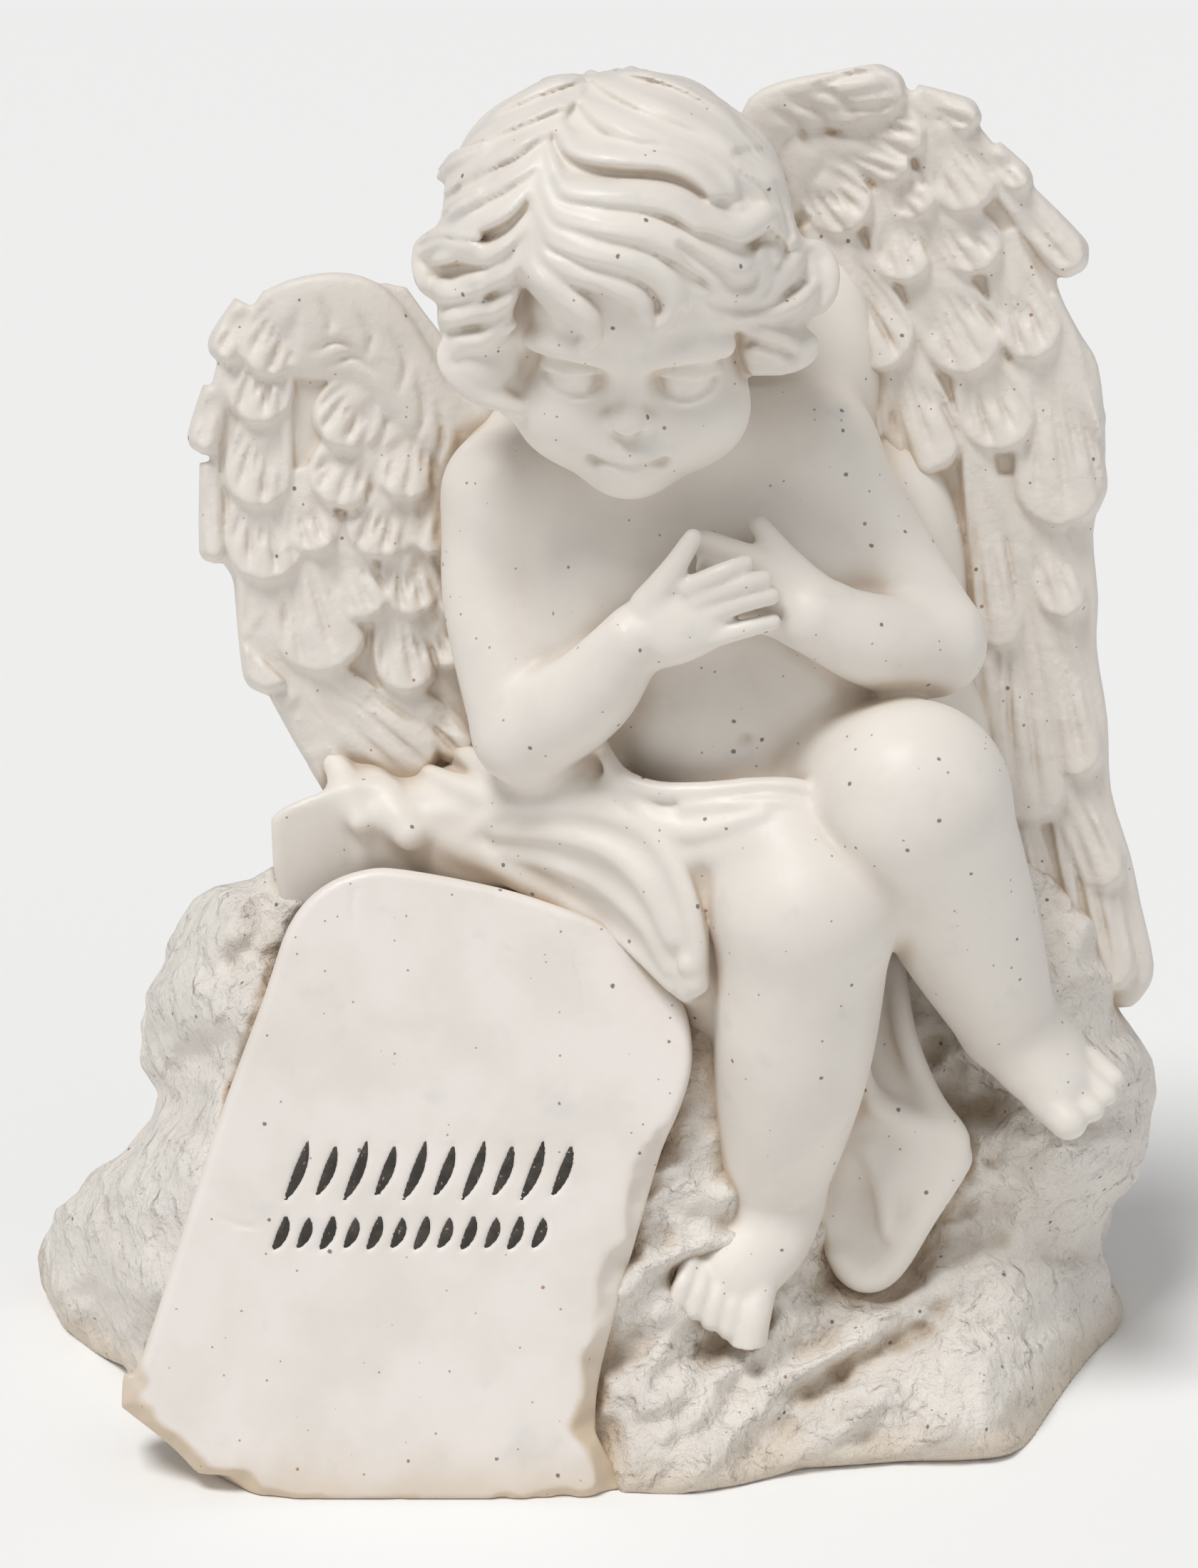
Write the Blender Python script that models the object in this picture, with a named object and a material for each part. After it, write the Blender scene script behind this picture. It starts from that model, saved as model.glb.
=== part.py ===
"""Memorial angel figurine, cast in one piece.

A winged child sits on a rock with both hands on the chest, and a tablet leans on the rock
in front. The form is built as a distance field, as a modeller adds and cuts clay, and the
field's surface becomes the mesh.

The front was squared up: an (across, up) pair is read on a grid of equal squares laid over
the front view, from the middle of the picture and from the foot, and `back` says how many
squares a point lies behind the front edge of the foot. Radii are in squares too.
"""

import math

import bmesh
import bpy
import numpy as np
from mathutils import Matrix, Vector

# Driving dimensions, in metres
FIGURINE_HEIGHT = 0.150
TABLET_THICKNESS = 0.0080
FOOT_CUT_DEPTH = 0.0016

# The grid of squares that the rest is laid out on
SQUARES_TALL = 190.65
SQUARE = FIGURINE_HEIGHT / SQUARES_TALL

# How the front is looked at: from a little above, at arm's length
EYE_ELEVATION = math.radians(18)
EYE_DISTANCE = 611.0
PICTURE_MIDDLE = Vector((0, 45, 88.8))
PICTURE_MIDDLE_UP = 100.85
SIGHT_RIGHT = Vector((1, 0, 0))
SIGHT_UP = Vector((0, math.sin(EYE_ELEVATION), math.cos(EYE_ELEVATION)))
SIGHT_AHEAD = Vector((0, math.cos(EYE_ELEVATION), -math.sin(EYE_ELEVATION)))
EYE = PICTURE_MIDDLE - SIGHT_AHEAD * EYE_DISTANCE

# The clay block and its resolution
CLAY_LOW = (-86, -6, -4)
CLAY_HIGH = (86, 102, 200)
CELL = 1.3
FAR = 40.0
MOST_TRIANGLES = 9600
CRAG_LAYERS = 2
RIDGE_DEPTH = 0.0
GROOVE_DEPTH = 0.0
GROOVE_WIDTH = 0.55
STRAND_DEPTH = 0.0


# Places


def seen(across, up, back):
    """The point seen at (across, up) in the front view, `back` squares behind the front edge."""
    target = PICTURE_MIDDLE + SIGHT_RIGHT * across + SIGHT_UP * (up - PICTURE_MIDDLE_UP)
    ray = target - EYE
    return EYE + ray * ((back - EYE.y) / ray.y)


def unit(vector):
    return Vector(vector).normalized()


def smooth_path(points, steps):
    """Points on a Catmull-Rom curve through rows of numbers, `steps` to each span."""
    rows = np.array([tuple(p) for p in points], float)
    if len(rows) < 3:
        count = steps * (len(rows) - 1) + 1
        share = np.linspace(0, 1, count)[:, None]
        return rows[0] * (1 - share) + rows[-1] * share
    ends = np.vstack([2 * rows[0] - rows[1], rows, 2 * rows[-1] - rows[-2]])
    made = []
    for i in range(1, len(ends) - 2):
        before, start, end, after = ends[i - 1 : i + 3]
        for t in np.arange(steps) / steps:
            made.append(
                0.5
                * (
                    2 * start
                    + (end - before) * t
                    + (2 * before - 5 * start + 4 * end - after) * t**2
                    + (3 * start - before - 3 * end + after) * t**3
                )
            )
    made.append(rows[-1])
    return np.array(made)


# Clay


def smooth_min(a, b, blend):
    if blend <= 0:
        return np.minimum(a, b)
    share = np.clip(0.5 + 0.5 * (b - a) / blend, 0, 1)
    return b + (a - b) * share - blend * share * (1 - share)


class Clay:
    """Space on a cubic grid. Each value is the distance to the surface, below zero inside."""

    def __init__(self, low, high, cell):
        self.low, self.cell = np.array(low, float), cell
        counts = np.ceil((np.array(high) - self.low) / cell).astype(int) + 1
        self.field = np.full(tuple(counts), FAR, np.float32)

    def window(self, low, high):
        """The grid's slices over a box, and the x, y and z of their samples."""
        first = np.floor((np.array(low) - self.low) / self.cell).astype(int)
        last = np.ceil((np.array(high) - self.low) / self.cell).astype(int) + 1
        first = np.clip(first, 0, self.field.shape)
        last = np.clip(last, first, self.field.shape)
        axes = [self.low[i] + self.cell * np.arange(first[i], last[i]) for i in range(3)]
        x, y, z = (a.astype(np.float32) for a in axes)
        slices = tuple(slice(int(a), int(b)) for a, b in zip(first, last))
        return slices, (x[:, None, None], y[None, :, None], z[None, None, :])

    def close_sides(self):
        """Keeps the surface off the block's own sides."""
        for side in (0, -1):
            self.field[side] = FAR
            self.field[:, side] = FAR
            self.field[:, :, side] = FAR

    def soften(self, amount):
        """Averages neighbours, so that hair cracks and slivers under a cell wide close up."""
        field = np.clip(self.field, -3 * self.cell, 3 * self.cell)
        for axis in range(3):
            mid = [slice(None)] * 3
            before, after = list(mid), list(mid)
            mid[axis], before[axis], after[axis] = slice(1, -1), slice(0, -2), slice(2, None)
            sides = (field[tuple(before)] + field[tuple(after)]) * (amount / 2)
            field[tuple(mid)] = field[tuple(mid)] * (1 - amount) + sides
        self.field = field

    def nearest(self, form, reach):
        """The slices around a form's pieces, and the distance to the nearest piece there."""
        low = np.min([piece[0] for piece in form], axis=0) - reach
        high = np.max([piece[1] for piece in form], axis=0) + reach
        slices, _ = self.window(low, high)
        near = np.full(self.field[slices].shape, FAR, np.float32)
        for piece_low, piece_high, distance in form:
            inner, places = self.window(piece_low - reach, piece_high + reach)
            inner = tuple(
                slice(a.start - b.start, a.stop - b.start) for a, b in zip(inner, slices)
            )
            if near[inner].size:
                near[inner] = np.minimum(near[inner], distance(*places))
        return slices, near

    def add(self, form, blend=0.0):
        slices, near = self.nearest(form, blend + 3 * self.cell)
        self.field[slices] = smooth_min(self.field[slices], near, blend)

    def cut(self, form, blend=0.0):
        slices, near = self.nearest(form, blend + 3 * self.cell)
        self.field[slices] = -smooth_min(-self.field[slices], near, blend)


# Forms: each is a list of (low corner, high corner, distance function)


def ball(centre, radii, axes=None):
    """An ellipsoid. `axes` are its own three axes, where they aren't the world's."""
    centre, radii = np.array(centre, float), np.array(radii, float)
    turn = np.eye(3) if axes is None else np.array([tuple(a) for a in axes], float)
    half = np.sqrt(((turn * radii[:, None]) ** 2).sum(axis=0))

    def distance(x, y, z):
        x, y, z = x - centre[0], y - centre[1], z - centre[2]
        shares = [(x * a[0] + y * a[1] + z * a[2]) / r for a, r in zip(turn, radii)]
        out = np.sqrt(sum(s * s for s in shares))
        slope = np.sqrt(sum((s / r) ** 2 for s, r in zip(shares, radii)))
        return out * (out - 1) / np.maximum(slope, 1e-6)

    return [(centre - half, centre + half, distance)]


def segment(start, end, start_radius, end_radius, flat, facing, ridges=None):
    """A tapering rod with round ends, pressed to `flat` of its thickness along `facing`.

    `ridges` is how many run along it, and how deep the grooves between them are.
    """
    along = end - start
    length_squared = max(float(along @ along), 1e-9)
    most = max(start_radius, end_radius)
    aside = np.cross(along, facing)
    aside = aside / max(float(np.sqrt(aside @ aside)), 1e-9)
    widening = end_radius - start_radius
    widening = min(max(widening, -0.9 * math.sqrt(length_squared)), 0.9 * math.sqrt(length_squared))
    slant = widening / math.sqrt(length_squared * max(length_squared - widening**2, 1e-9))

    def distance(x, y, z):
        x, y, z = x - start[0], y - start[1], z - start[2]
        share = (x * along[0] + y * along[1] + z * along[2]) / length_squared
        # on a cone the nearest place of the axis lies further towards the thick end
        gap = np.maximum(x * x + y * y + z * z - share * share * length_squared, 0)
        share = np.clip(share + slant * np.sqrt(gap), 0, 1)
        x, y, z = x - share * along[0], y - share * along[1], z - share * along[2]
        radius = start_radius + (end_radius - start_radius) * share
        groove = 0.0
        if ridges and ridges[1]:
            place = (x * aside[0] + y * aside[1] + z * aside[2]) / radius
            place = np.clip(place, -1, 1)
            wave = np.abs(np.cos(place * (math.pi / 2 * ridges[0]) + (ridges[0] - 1) * math.pi / 2))
            groove = ridges[1] * (1 - wave) ** 1.5 * (1 - place**4)
        if flat != 1.0:
            lift = (x * facing[0] + y * facing[1] + z * facing[2]) * (1 / flat - 1)
            x, y, z = x + lift * facing[0], y + lift * facing[1], z + lift * facing[2]
        return (np.sqrt(x * x + y * y + z * z) - radius) * (flat + 1) / 2 + groove

    return np.minimum(start, end) - most, np.maximum(start, end) + most, distance


def rod(points, radii, flat=1.0, facing=(0, -1, 0), steps=7, ridges=None):
    """A rod along a smooth curve. `facing` is a direction, or a function from a place to one."""
    path = smooth_path(points, steps)
    curve = smooth_path([(r,) for r in radii], 8)[:, 0]
    sizes = np.interp(np.linspace(0, 1, len(path)), np.linspace(0, 1, len(curve)), curve)
    sizes = np.maximum(sizes, 0.05)
    form = []
    for i in range(len(path) - 1):
        way = facing((path[i] + path[i + 1]) / 2) if callable(facing) else facing
        way = np.array(unit(way))
        form.append(segment(path[i], path[i + 1], sizes[i], sizes[i + 1], flat, way, ridges))
    return form


def front_view(x, y, z):
    """(across, up) in the front view of each place."""
    y, z = y - EYE.y, z - EYE.z
    reach = EYE_DISTANCE / (y * SIGHT_AHEAD.y + z * SIGHT_AHEAD.z)
    return x * reach, PICTURE_MIDDLE_UP + (y * SIGHT_UP.y + z * SIGHT_UP.z) * reach


TABLE_STEP = 0.5
FINE_STEP = 0.25
TABLE_LOW = (-100.0, -12.0)
TABLE_REACH = (200.0, 232.0)


def read_table(table, across, up, step=TABLE_STEP):
    """A table of the front view read between its samples."""
    across = np.clip((across - TABLE_LOW[0]) / step, 0, table.shape[0] - 1.001)
    up = np.clip((up - TABLE_LOW[1]) / step, 0, table.shape[1] - 1.001)
    i, j = across.astype(np.int32), up.astype(np.int32)
    s, t = across - i, up - j
    low = table[i, j] * (1 - s) + table[i + 1, j] * s
    high = table[i, j + 1] * (1 - s) + table[i + 1, j + 1] * s
    return low * (1 - t) + high * t


def table_places(step=TABLE_STEP):
    across, up = (
        low + step * np.arange(int(reach / step) + 1) for low, reach in zip(TABLE_LOW, TABLE_REACH)
    )
    return np.meshgrid(across, up, indexing="ij")


class Outline:
    """A closed outline in the front view: the distance to it, below zero inside."""

    def __init__(self, corners, smooth=0):
        if smooth:
            ring = smooth_path(list(corners) + [corners[0]], smooth)[:-1]
            corners = ring
        self.corners = np.array([tuple(c) for c in corners], float)
        across, up = table_places()
        nearest = np.full(across.shape, 1e9)
        inside = np.zeros(across.shape, bool)
        for (ax, ay), (bx, by) in zip(self.corners, np.roll(self.corners, -1, axis=0)):
            ex, ey = bx - ax, by - ay
            share = np.clip(((across - ax) * ex + (up - ay) * ey) / (ex * ex + ey * ey), 0, 1)
            gap = (across - ax - share * ex) ** 2 + (up - ay - share * ey) ** 2
            nearest = np.minimum(nearest, gap)
            if ay != by:
                crosses = (up >= min(ay, by)) & (up < max(ay, by))
                inside ^= crosses & (across < ax + (up - ay) * ex / ey)
        self.table = (np.where(inside, -1, 1) * np.sqrt(nearest)).astype(np.float32)

    def __call__(self, across, up):
        return read_table(self.table, across, up)


def plate(outline, front, thickness, rounding):
    """A plate with that outline in the front view. `front` gives its depth at (across, up)."""
    rim = outline.corners
    depths = front(rim[:, 0], rim[:, 1])
    places = [seen(a, u, b) for (a, u), b in zip(rim, depths)]
    places += [seen(a, u, b + thickness) for (a, u), b in zip(rim, depths)]
    places = np.array([tuple(p) for p in places])

    def distance(x, y, z):
        across, up = front_view(x, y, z)
        side = outline(across, up) + rounding
        half = thickness / 2
        depth = np.abs(y - front(across, up) - half) - half + rounding
        outer = np.sqrt(np.maximum(side, 0) ** 2 + np.maximum(depth, 0) ** 2)
        return outer + np.minimum(np.maximum(side, depth), 0) - rounding

    return [(places.min(axis=0) - 2, places.max(axis=0) + 2, distance)]


class Relief:
    """A front seen as depths at a few places: smooth between them, and read at (across, up)."""

    def __init__(self, places, stiffness=0.0):
        knots = np.array(places, float)
        self.knots, count = knots[:, :2], len(knots)
        bending = self.bending(self.knots[:, 0], self.knots[:, 1])
        plane = np.column_stack([np.ones(count), self.knots])
        system = np.zeros((count + 3, count + 3))
        system[:count, :count] = bending + stiffness * np.eye(count)
        system[:count, count:] = plane
        system[count:, :count] = plane.T
        self.weights = np.linalg.solve(system, np.append(knots[:, 2], [0, 0, 0]))
        across, up = table_places()
        parts = self.bending(across.ravel(), up.ravel()) @ self.weights[:count]
        flat = self.weights[count] + across * self.weights[-2] + up * self.weights[-1]
        self.table = (parts.reshape(across.shape) + flat).astype(np.float32)

    def bending(self, across, up):
        gap = (across[:, None] - self.knots[:, 0]) ** 2 + (up[:, None] - self.knots[:, 1]) ** 2
        return gap * np.log(gap + 1e-9)

    def __call__(self, across, up):
        return read_table(self.table, across, up)


class Crags:
    """Broken stone in the front view: each layer is ridges that run along its own grain."""

    def __init__(self, seed, layers):
        across, up = table_places()
        self.table = np.zeros(across.shape, np.float32)
        random = np.random.RandomState(seed)
        for along_length, aside_length, grain, height, sharp in layers:
            turn = math.radians(grain)
            bend = 3.0 * np.sin(across / 17 + seed) + 2.5 * np.sin(up / 13 + 2 * seed)
            u = (across * math.cos(turn) + up * math.sin(turn) + bend) / along_length
            v = (up * math.cos(turn) - across * math.sin(turn) + bend) / aside_length
            heights = random.uniform(-1, 1, (97, 89))
            i, j = np.floor(u).astype(int), np.floor(v).astype(int)
            s, t = u - i, v - j
            s, t = s * s * (3 - 2 * s), t * t * (3 - 2 * t)
            corners = [[heights[(i + a) % 97, (j + b) % 89] for b in (0, 1)] for a in (0, 1)]
            low = corners[0][0] * (1 - s) + corners[1][0] * s
            high = corners[0][1] * (1 - s) + corners[1][1] * s
            value = low * (1 - t) + high * t
            if sharp:
                value = 1 - 2.6 * np.abs(value)
            self.table += (height * value).astype(np.float32)

    def __call__(self, across, up):
        return read_table(self.table, across, up)


# The rock

FOOT_BEVEL = 2.6
FOOT_FRONT = [
    # the foot's front edge as seen, right to left
    (75, 30), (74, 20), (70.5, 14), (66, 9.8), (62, 6.4), (56, 5), (45, 4.4), (29, 3.8), (21, 1.3),
    (12, -0.3), (-20, -0.4), (-46, -0.4), (-50, 0.6), (-55, 3.2), (-60, 8), (-66, 13.5), (-71.5, 19.5),
    (-76.5, 23.5), (-78.8, 30),
]
FOOT_BACK = [(-78, 84), (-66, 94), (0, 97), (62, 94), (73, 84)]


def on_ground(across, up):
    """Where the line of sight at (across, up) meets the ground."""
    ray = seen(across, up, 0) - EYE
    return EYE + ray * (-EYE.z / ray.z)


ROCK_OUTLINE = [
    (-50, 0.3), (-55, 3), (-60, 8), (-66, 13.5), (-67, 18.5), (-71.5, 20), (-76.5, 23.5), (-78.5, 29),
    (-79.2, 34), (-77, 41.5), (-73, 44), (-71, 46.5), (-66.5, 49), (-63, 54), (-62, 57.5), (-64, 61.5),
    (-65, 67.5), (-64, 71), (-61.5, 75), (-59, 81), (-57, 85), (-54, 87), (-49, 88), (-45, 90.5),
    (-30, 100), (0, 104), (30, 106), (55, 100), (68, 88), (74, 78), (74, 69.5), (76.5, 65),
    (78.5, 57.5),
    (77, 51), (76, 45.5), (72, 41), (70.5, 36), (71.5, 32.5), (75, 27.5), (73.5, 20), (70, 14.5),
    (66, 10.5), (63, 7), (58, 5.2), (45, 4.5), (29, 3.8), (21, 1.3), (12, -0.4), (-20, -0.8),
    (-46, -0.6),
]
ROCK_FRONT = Relief(
    [
        (-50, 0, 1), (-62, 10, 18), (-69, 20, 42), (-76, 26, 56), (-79, 35, 62), (-70, 36, 42),
        (-62, 30, 18),
        (-76, 43, 60), (-66, 50, 46), (-58, 45, 22), (-54, 55, 24), (-62, 57, 50), (-64, 68, 52),
        (-56, 70, 34),
        (-50, 64, 27), (-59, 81, 52), (-50, 82, 38), (-46, 90, 48), (-30, 0, 4), (0, 0, 1.5),
        (0, 20, 11),
        (3, 30, 13), (9, 42, 18), (13, 58, 24), (13, 48, 20), (13, 10, 6), (18, 18, 16),
        (12, 30, 19), (30, 3.5, 6),
        (30, 12, 12), (30, 24, 22), (45, 4.5, 10), (45, 14, 14), (45, 24, 24), (40, 34, 34),
        (60, 6, 14),
        (60, 16, 22), (60, 26, 32), (66, 11, 34), (72, 20, 52), (74, 27, 56), (66, 33, 46),
        (70, 38, 55),
        (58, 40, 38), (66, 46, 32), (60, 50, 36), (72, 44, 48), (76, 50, 52), (78, 58, 54),
        (70, 62, 40),
        (74, 68, 54), (66, 72, 46), (50, 60, 42), (40, 75, 46), (40, 55, 38), (0, 60, 34),
        (-20, 60, 34),
        (-30, 30, 20), (-25, 90, 44), (10, 92, 44), (50, 90, 48), (60, 90, 52), (-45, 30, 20),
        (-45, 45, 26),
        (-15, 40, 26), (-35, 75, 38), (-10, 78, 40), (-56, 30, 18), (-52, 58, 30), (-44, 78, 41),
        (-38, 87, 47),
    ],
    stiffness=30,
)
ROCK_BACK = 94.0



# Layers of broken stone: length along the grain and aside, the grain's slope, height, and sharp ridges
LEFT_CRAGS = [
    (17, 9, 70, 1.5, True), (9, 5, 35, 0.9, True), (5, 3.2, 100, 0.75, True),
    (2.6, 1.9, 60, 0.40, True),
    (1.4, 1.2, 20, 0.25, False),
]
RIGHT_CRAGS = [
    (24, 8.5, 33, 1.3, True), (11, 5, 15, 0.8, True), (5.5, 3, 45, 0.75, True),
    (2.8, 2.0, 20, 0.38, True),
    (1.4, 1.2, 70, 0.25, False),
]
SIDE_CRAGS = [
    (16, 10, 60, 1.6, True), (8, 5, 20, 0.8, True), (4, 3, 80, 0.45, True), (2.2, 1.8, 30, 0.25, False),
]
CRAG_HEIGHT = 1.5


def build_rock(clay):
    """One mass sawn to the front outline, with its front carved to the relief."""
    outline = Outline(ROCK_OUTLINE)
    foot = Outline([on_ground(*place)[:2] for place in FOOT_FRONT] + FOOT_BACK)
    left, right = Crags(3, LEFT_CRAGS[:CRAG_LAYERS]), Crags(8, RIGHT_CRAGS[:CRAG_LAYERS])
    sides = Crags(5, SIDE_CRAGS[: CRAG_LAYERS - 1])

    def distance(x, y, z):
        across, up = front_view(x, y, z)
        calm = np.clip(z / 6, 0, 1) * CRAG_HEIGHT
        share = np.clip((across + 30) / 20, 0, 1)
        crags = (left(across, up) * (1 - share) + right(across, up) * share) * calm
        edges = sides(y, z) * calm
        side = outline(across, up) - edges * 0.5
        front = ROCK_FRONT(across, up) - y - crags
        back = y - (ROCK_BACK - 0.16 * z - 0.003 * x * x) - sides(x, z) * calm * 1.5
        depth = -smooth_min(-front * 0.85, -back, 10)
        rock = -smooth_min(-(side + 1.0), -depth, 4.0)
        bevel = foot(x, y) + 0.75 * np.clip(FOOT_BEVEL - z, 0, FOOT_BEVEL)
        return np.maximum(rock, np.where(z < 14, bevel, bevel - (z - 14)))

    clay.add([(np.array((-86, -4, -4)), np.array((86, 100, 112)), distance)])


def build_ridge(clay):
    """The ridge that stands between the tablet's edge and the shin."""
    ridge = [seen(14.6, 74, 33), seen(15.6, 66, 31), seen(15.2, 56, 29), seen(13.0, 46, 27),
        seen(10, 38, 25)]
    clay.add(rod(ridge, [5, 5.5, 5.5, 5, 4]), 3)


def bevel_foot(clay):
    """The foot's rim ground off all round, under the tablet too."""
    slices, (x, y, z) = clay.window(CLAY_LOW, (90, 110, FOOT_BEVEL + 4))
    foot = Outline([on_ground(*place)[:2] for place in FOOT_FRONT] + FOOT_BACK)
    rim = foot(x, y) + 0.75 * (FOOT_BEVEL - z)
    clay.field[slices] = np.where(z < FOOT_BEVEL, np.maximum(clay.field[slices], rim),
        clay.field[slices])


# The tablet

TABLET_OUTLINE = [
    (-67, 13.5), (-66.5, 18.5), (-64, 20.8), (-54, 51.8), (-47, 71.0), (-43.5, 81.0), (-39, 86.3),
    (-33, 88.8),
    (-27, 88.8), (-14, 86.3), (-5, 83.5), (1.5, 81), (7, 76), (11.5, 70.8), (13, 65), (12.8, 60),
    (11, 54.5), (8.8, 49.5), (6, 40), (2.5, 27.5), (0, 17.5), (-0.5, 10), (0.5, -1), (-46, -1.5),
    (-50, 0.3),
    (-55, 3), (-60, 8),
]
TABLET_LEAN = 0.322


def tablet_front(across, up):
    return TABLET_LEAN * up + 0.4


def build_tablet(clay):
    clay.add(plate(Outline(TABLET_OUTLINE, 4), tablet_front, TABLET_THICKNESS / SQUARE, 1.3), 0.8)


# The body


def build_torso(clay):
    clay.add(ball(seen(9, 131, 44), (21, 14, 17)), 6)
    clay.add(ball(seen(17, 110, 43), (17, 15, 17)), 6)
    clay.add(ball(seen(14, 98, 52), (22, 18, 15)), 6)
    clay.add(rod([seen(-13, 141, 44), seen(6, 146, 46), seen(30, 148, 46)], [8, 9, 8.5]), 5)
    clay.add(ball(seen(8, 150, 40), (9, 9, 9)), 5)
    clay.add(ball(seen(-3, 119, 44), (10, 13, 15)), 5)
    clay.add(ball(seen(26, 130, 43), (12, 11, 13)), 6)
    clay.add(ball(seen(31, 117, 42), (10, 11, 11)), 6)
    clay.add(ball(seen(-2, 105, 42), (9, 9, 8)), 4)
    clay.add(ball(seen(-1.2, 103.2, 34.8), (4.2, 4.6, 4.2)), 2)
    # the back, and what fills the angles between it and the wings
    clay.add(ball(seen(14, 132, 54), (20, 12, 18)), 6)
    clay.add(ball(seen(12, 112, 60), (30, 18, 20)), 6)
    clay.add(ball(seen(2, 150, 54), (22, 9, 10)), 5)
    clay.add(ball(seen(-14, 126, 57), (9, 9, 26)), 4)
    clay.add(ball(seen(40, 126, 57), (12, 10, 26)), 4)
    clay.add(ball(seen(30, 158, 57), (10, 8, 20)), 4)
    clay.add(ball((-9, 57, 122), (11, 9, 16)), 4)
    clay.add(ball((44, 61, 90), (14, 13, 18)), 4)
    clay.cut(ball(seen(20.8, 106.6, 27), (1.6, 2.5, 1.0)), 0.8)


def build_arms(clay):
    left_arm = [seen(-13.5, 142, 44), seen(-15, 127, 42), seen(-11, 108.4, 34)]
    clay.add(rod(left_arm, [8, 6.8, 6.7]), 3)
    left_forearm = [seen(-9.8, 107.8, 33), seen(-1.4, 113.5, 27), seen(4.6, 121, 23)]
    clay.add(rod(left_forearm, [6.7, 6.2, 4.4]), 2.5)
    right_arm = [seen(29.5, 147, 46), seen(38, 134.5, 45), seen(46.8, 122, 38.5)]
    clay.add(rod(right_arm, [8.8, 7.9, 6.7]), 3)
    right_forearm = [seen(47.2, 120, 37.5), seen(39, 120.8, 31), seen(29.5, 124.5, 26.5)]
    clay.add(rod(right_forearm, [6.8, 6.4, 4.9]), 2.2)


def build_hands(clay):
    # the hand beneath
    palm = [seen(31, 124.6, 28), seen(26, 126.5, 27), seen(20, 127.5, 26.6)]
    clay.add(rod(palm, [4.8, 5.2, 4.8], flat=0.7), 1.5)
    clay.add(rod([seen(26, 129.6, 27.4), seen(19.6, 132.2, 26.6), seen(14.6, 134.6, 27)], [3.0, 2.6,
        1.9]), 1.0)
    clay.add(rod([seen(26, 127.5, 26.4), seen(20, 129.6, 25.6), seen(15.4, 131.2, 26)], [2.6, 2.2,
        1.8]), 0.7)
    clay.add(rod([seen(28.6, 128.6, 28), seen(25.6, 133, 28.4), seen(22.4, 137, 29.6)], [2.8, 1.9,
        1.5]), 1.6)
    # the hand on top
    palm = [seen(6.6, 121.8, 24.4), seen(10.6, 123.6, 22.6), seen(14.4, 124.6, 22.4)]
    clay.add(rod(palm, [4.9, 5.7, 4.9], flat=0.6, facing=(0, -1, 0.3)), 1.2)
    for finger, radius in (
        ([(12.4, 128.4), (17.4, 130.6), (20.6, 131.8)], 1.3),
        ([(13.6, 126.6), (19.4, 128.6), (23.2, 129.6)], 1.35),
        ([(14.0, 124.2), (20.0, 126.2), (24.2, 127.2)], 1.35),
        ([(14.0, 120.8), (20.4, 122.6), (24.4, 123.6)], 1.3),
    ):
        places = [seen(*place, back) for place, back in zip(finger, (21.0, 20.4, 21.6))]
        clay.add(rod(places, [radius * 1.1, radius, radius * 0.92]), 0.2)
    clay.add(rod([seen(7, 126, 22.8), seen(10.4, 131, 21.4), seen(13.2, 135.4, 21.8)], [2.5, 1.7,
        1.3]), 0.8)
    clay.cut(rod([seen(3.6, 125.4, 20.6), seen(5.6, 121, 18.6), seen(8.8, 117.2, 20.6)], [0.3, 0.45,
        0.3]), 0.9)


def build_legs(clay):
    clay.add(rod([seen(14, 98, 50), seen(22, 92, 36), seen(29, 84, 22)], [15, 14, 12]), 4)
    clay.add(rod([seen(29, 83, 21), seen(27, 62, 24.5), seen(23.8, 42, 28)], [12, 10.8, 6.9]), 3)
    clay.add(rod([seen(24, 98, 50), seen(36, 99.6, 36), seen(43.6, 99.4, 24)], [14, 13.2, 12.8]), 2)
    clay.add(rod([seen(44.5, 98, 24), seen(51, 82, 30), seen(57, 68, 35)], [12.5, 10.4, 7.0]), 3)


def build_feet(clay):
    foot = [seen(24.2, 43, 28), seen(22.4, 38.0, 25), seen(19.6, 34.0, 22.4)]
    clay.add(rod(foot, [7.3, 7.5, 6.9], flat=0.7, facing=(0, -0.6, 0.8)), 2)
    clay.cut(rod([seen(17.5, 41.5, 21), seen(24, 39.8, 19), seen(30.5, 42, 22)], [0.35, 0.5, 0.35]),
        1.0)
    for root, tip, radius in (
        ((22.6, 31.0), (20.9, 22.6), 2.65),
        ((19.4, 31.5), (18.2, 24.6), 1.75),
        ((17.0, 32), (15.8, 25.8), 1.7),
        ((14.8, 33), (13.3, 27.2), 1.6),
        ((12.8, 34), (10.9, 28.6), 1.55),
    ):
        middle = (seen(*root, 18.5) + seen(*tip, 16.5)) / 2 - Vector((0, 0.8, 0))
        toe = [seen(*root, 19.5), middle, seen(*tip, 16.2)]
        clay.add(rod(toe, [radius * 0.95, radius * 0.9, radius]), 0.35)
    foot = [seen(58, 67, 36), seen(62, 62.3, 31.5), seen(64, 59.5, 29)]
    clay.add(rod(foot, [7.2, 6.9, 5.6], flat=0.75, facing=(0.2, -0.6, 0.8)), 2)
    clay.add(rod([seen(62.3, 57, 27), seen(65.8, 53.6, 24.2)], [2.8, 2.7]), 0.6)
    clay.add(rod([seen(65.5, 58.6, 27.6), seen(69.0, 55.3, 25.4)], [1.9, 1.9]), 0.4)
    clay.add(rod([seen(67.6, 60.4, 29), seen(71, 57.3, 27.2)], [1.7, 1.7]), 0.4)
    clay.add(rod([seen(69, 62.6, 31), seen(72.2, 59.6, 29.2)], [1.5, 1.5]), 0.4)


# The cloth


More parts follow.
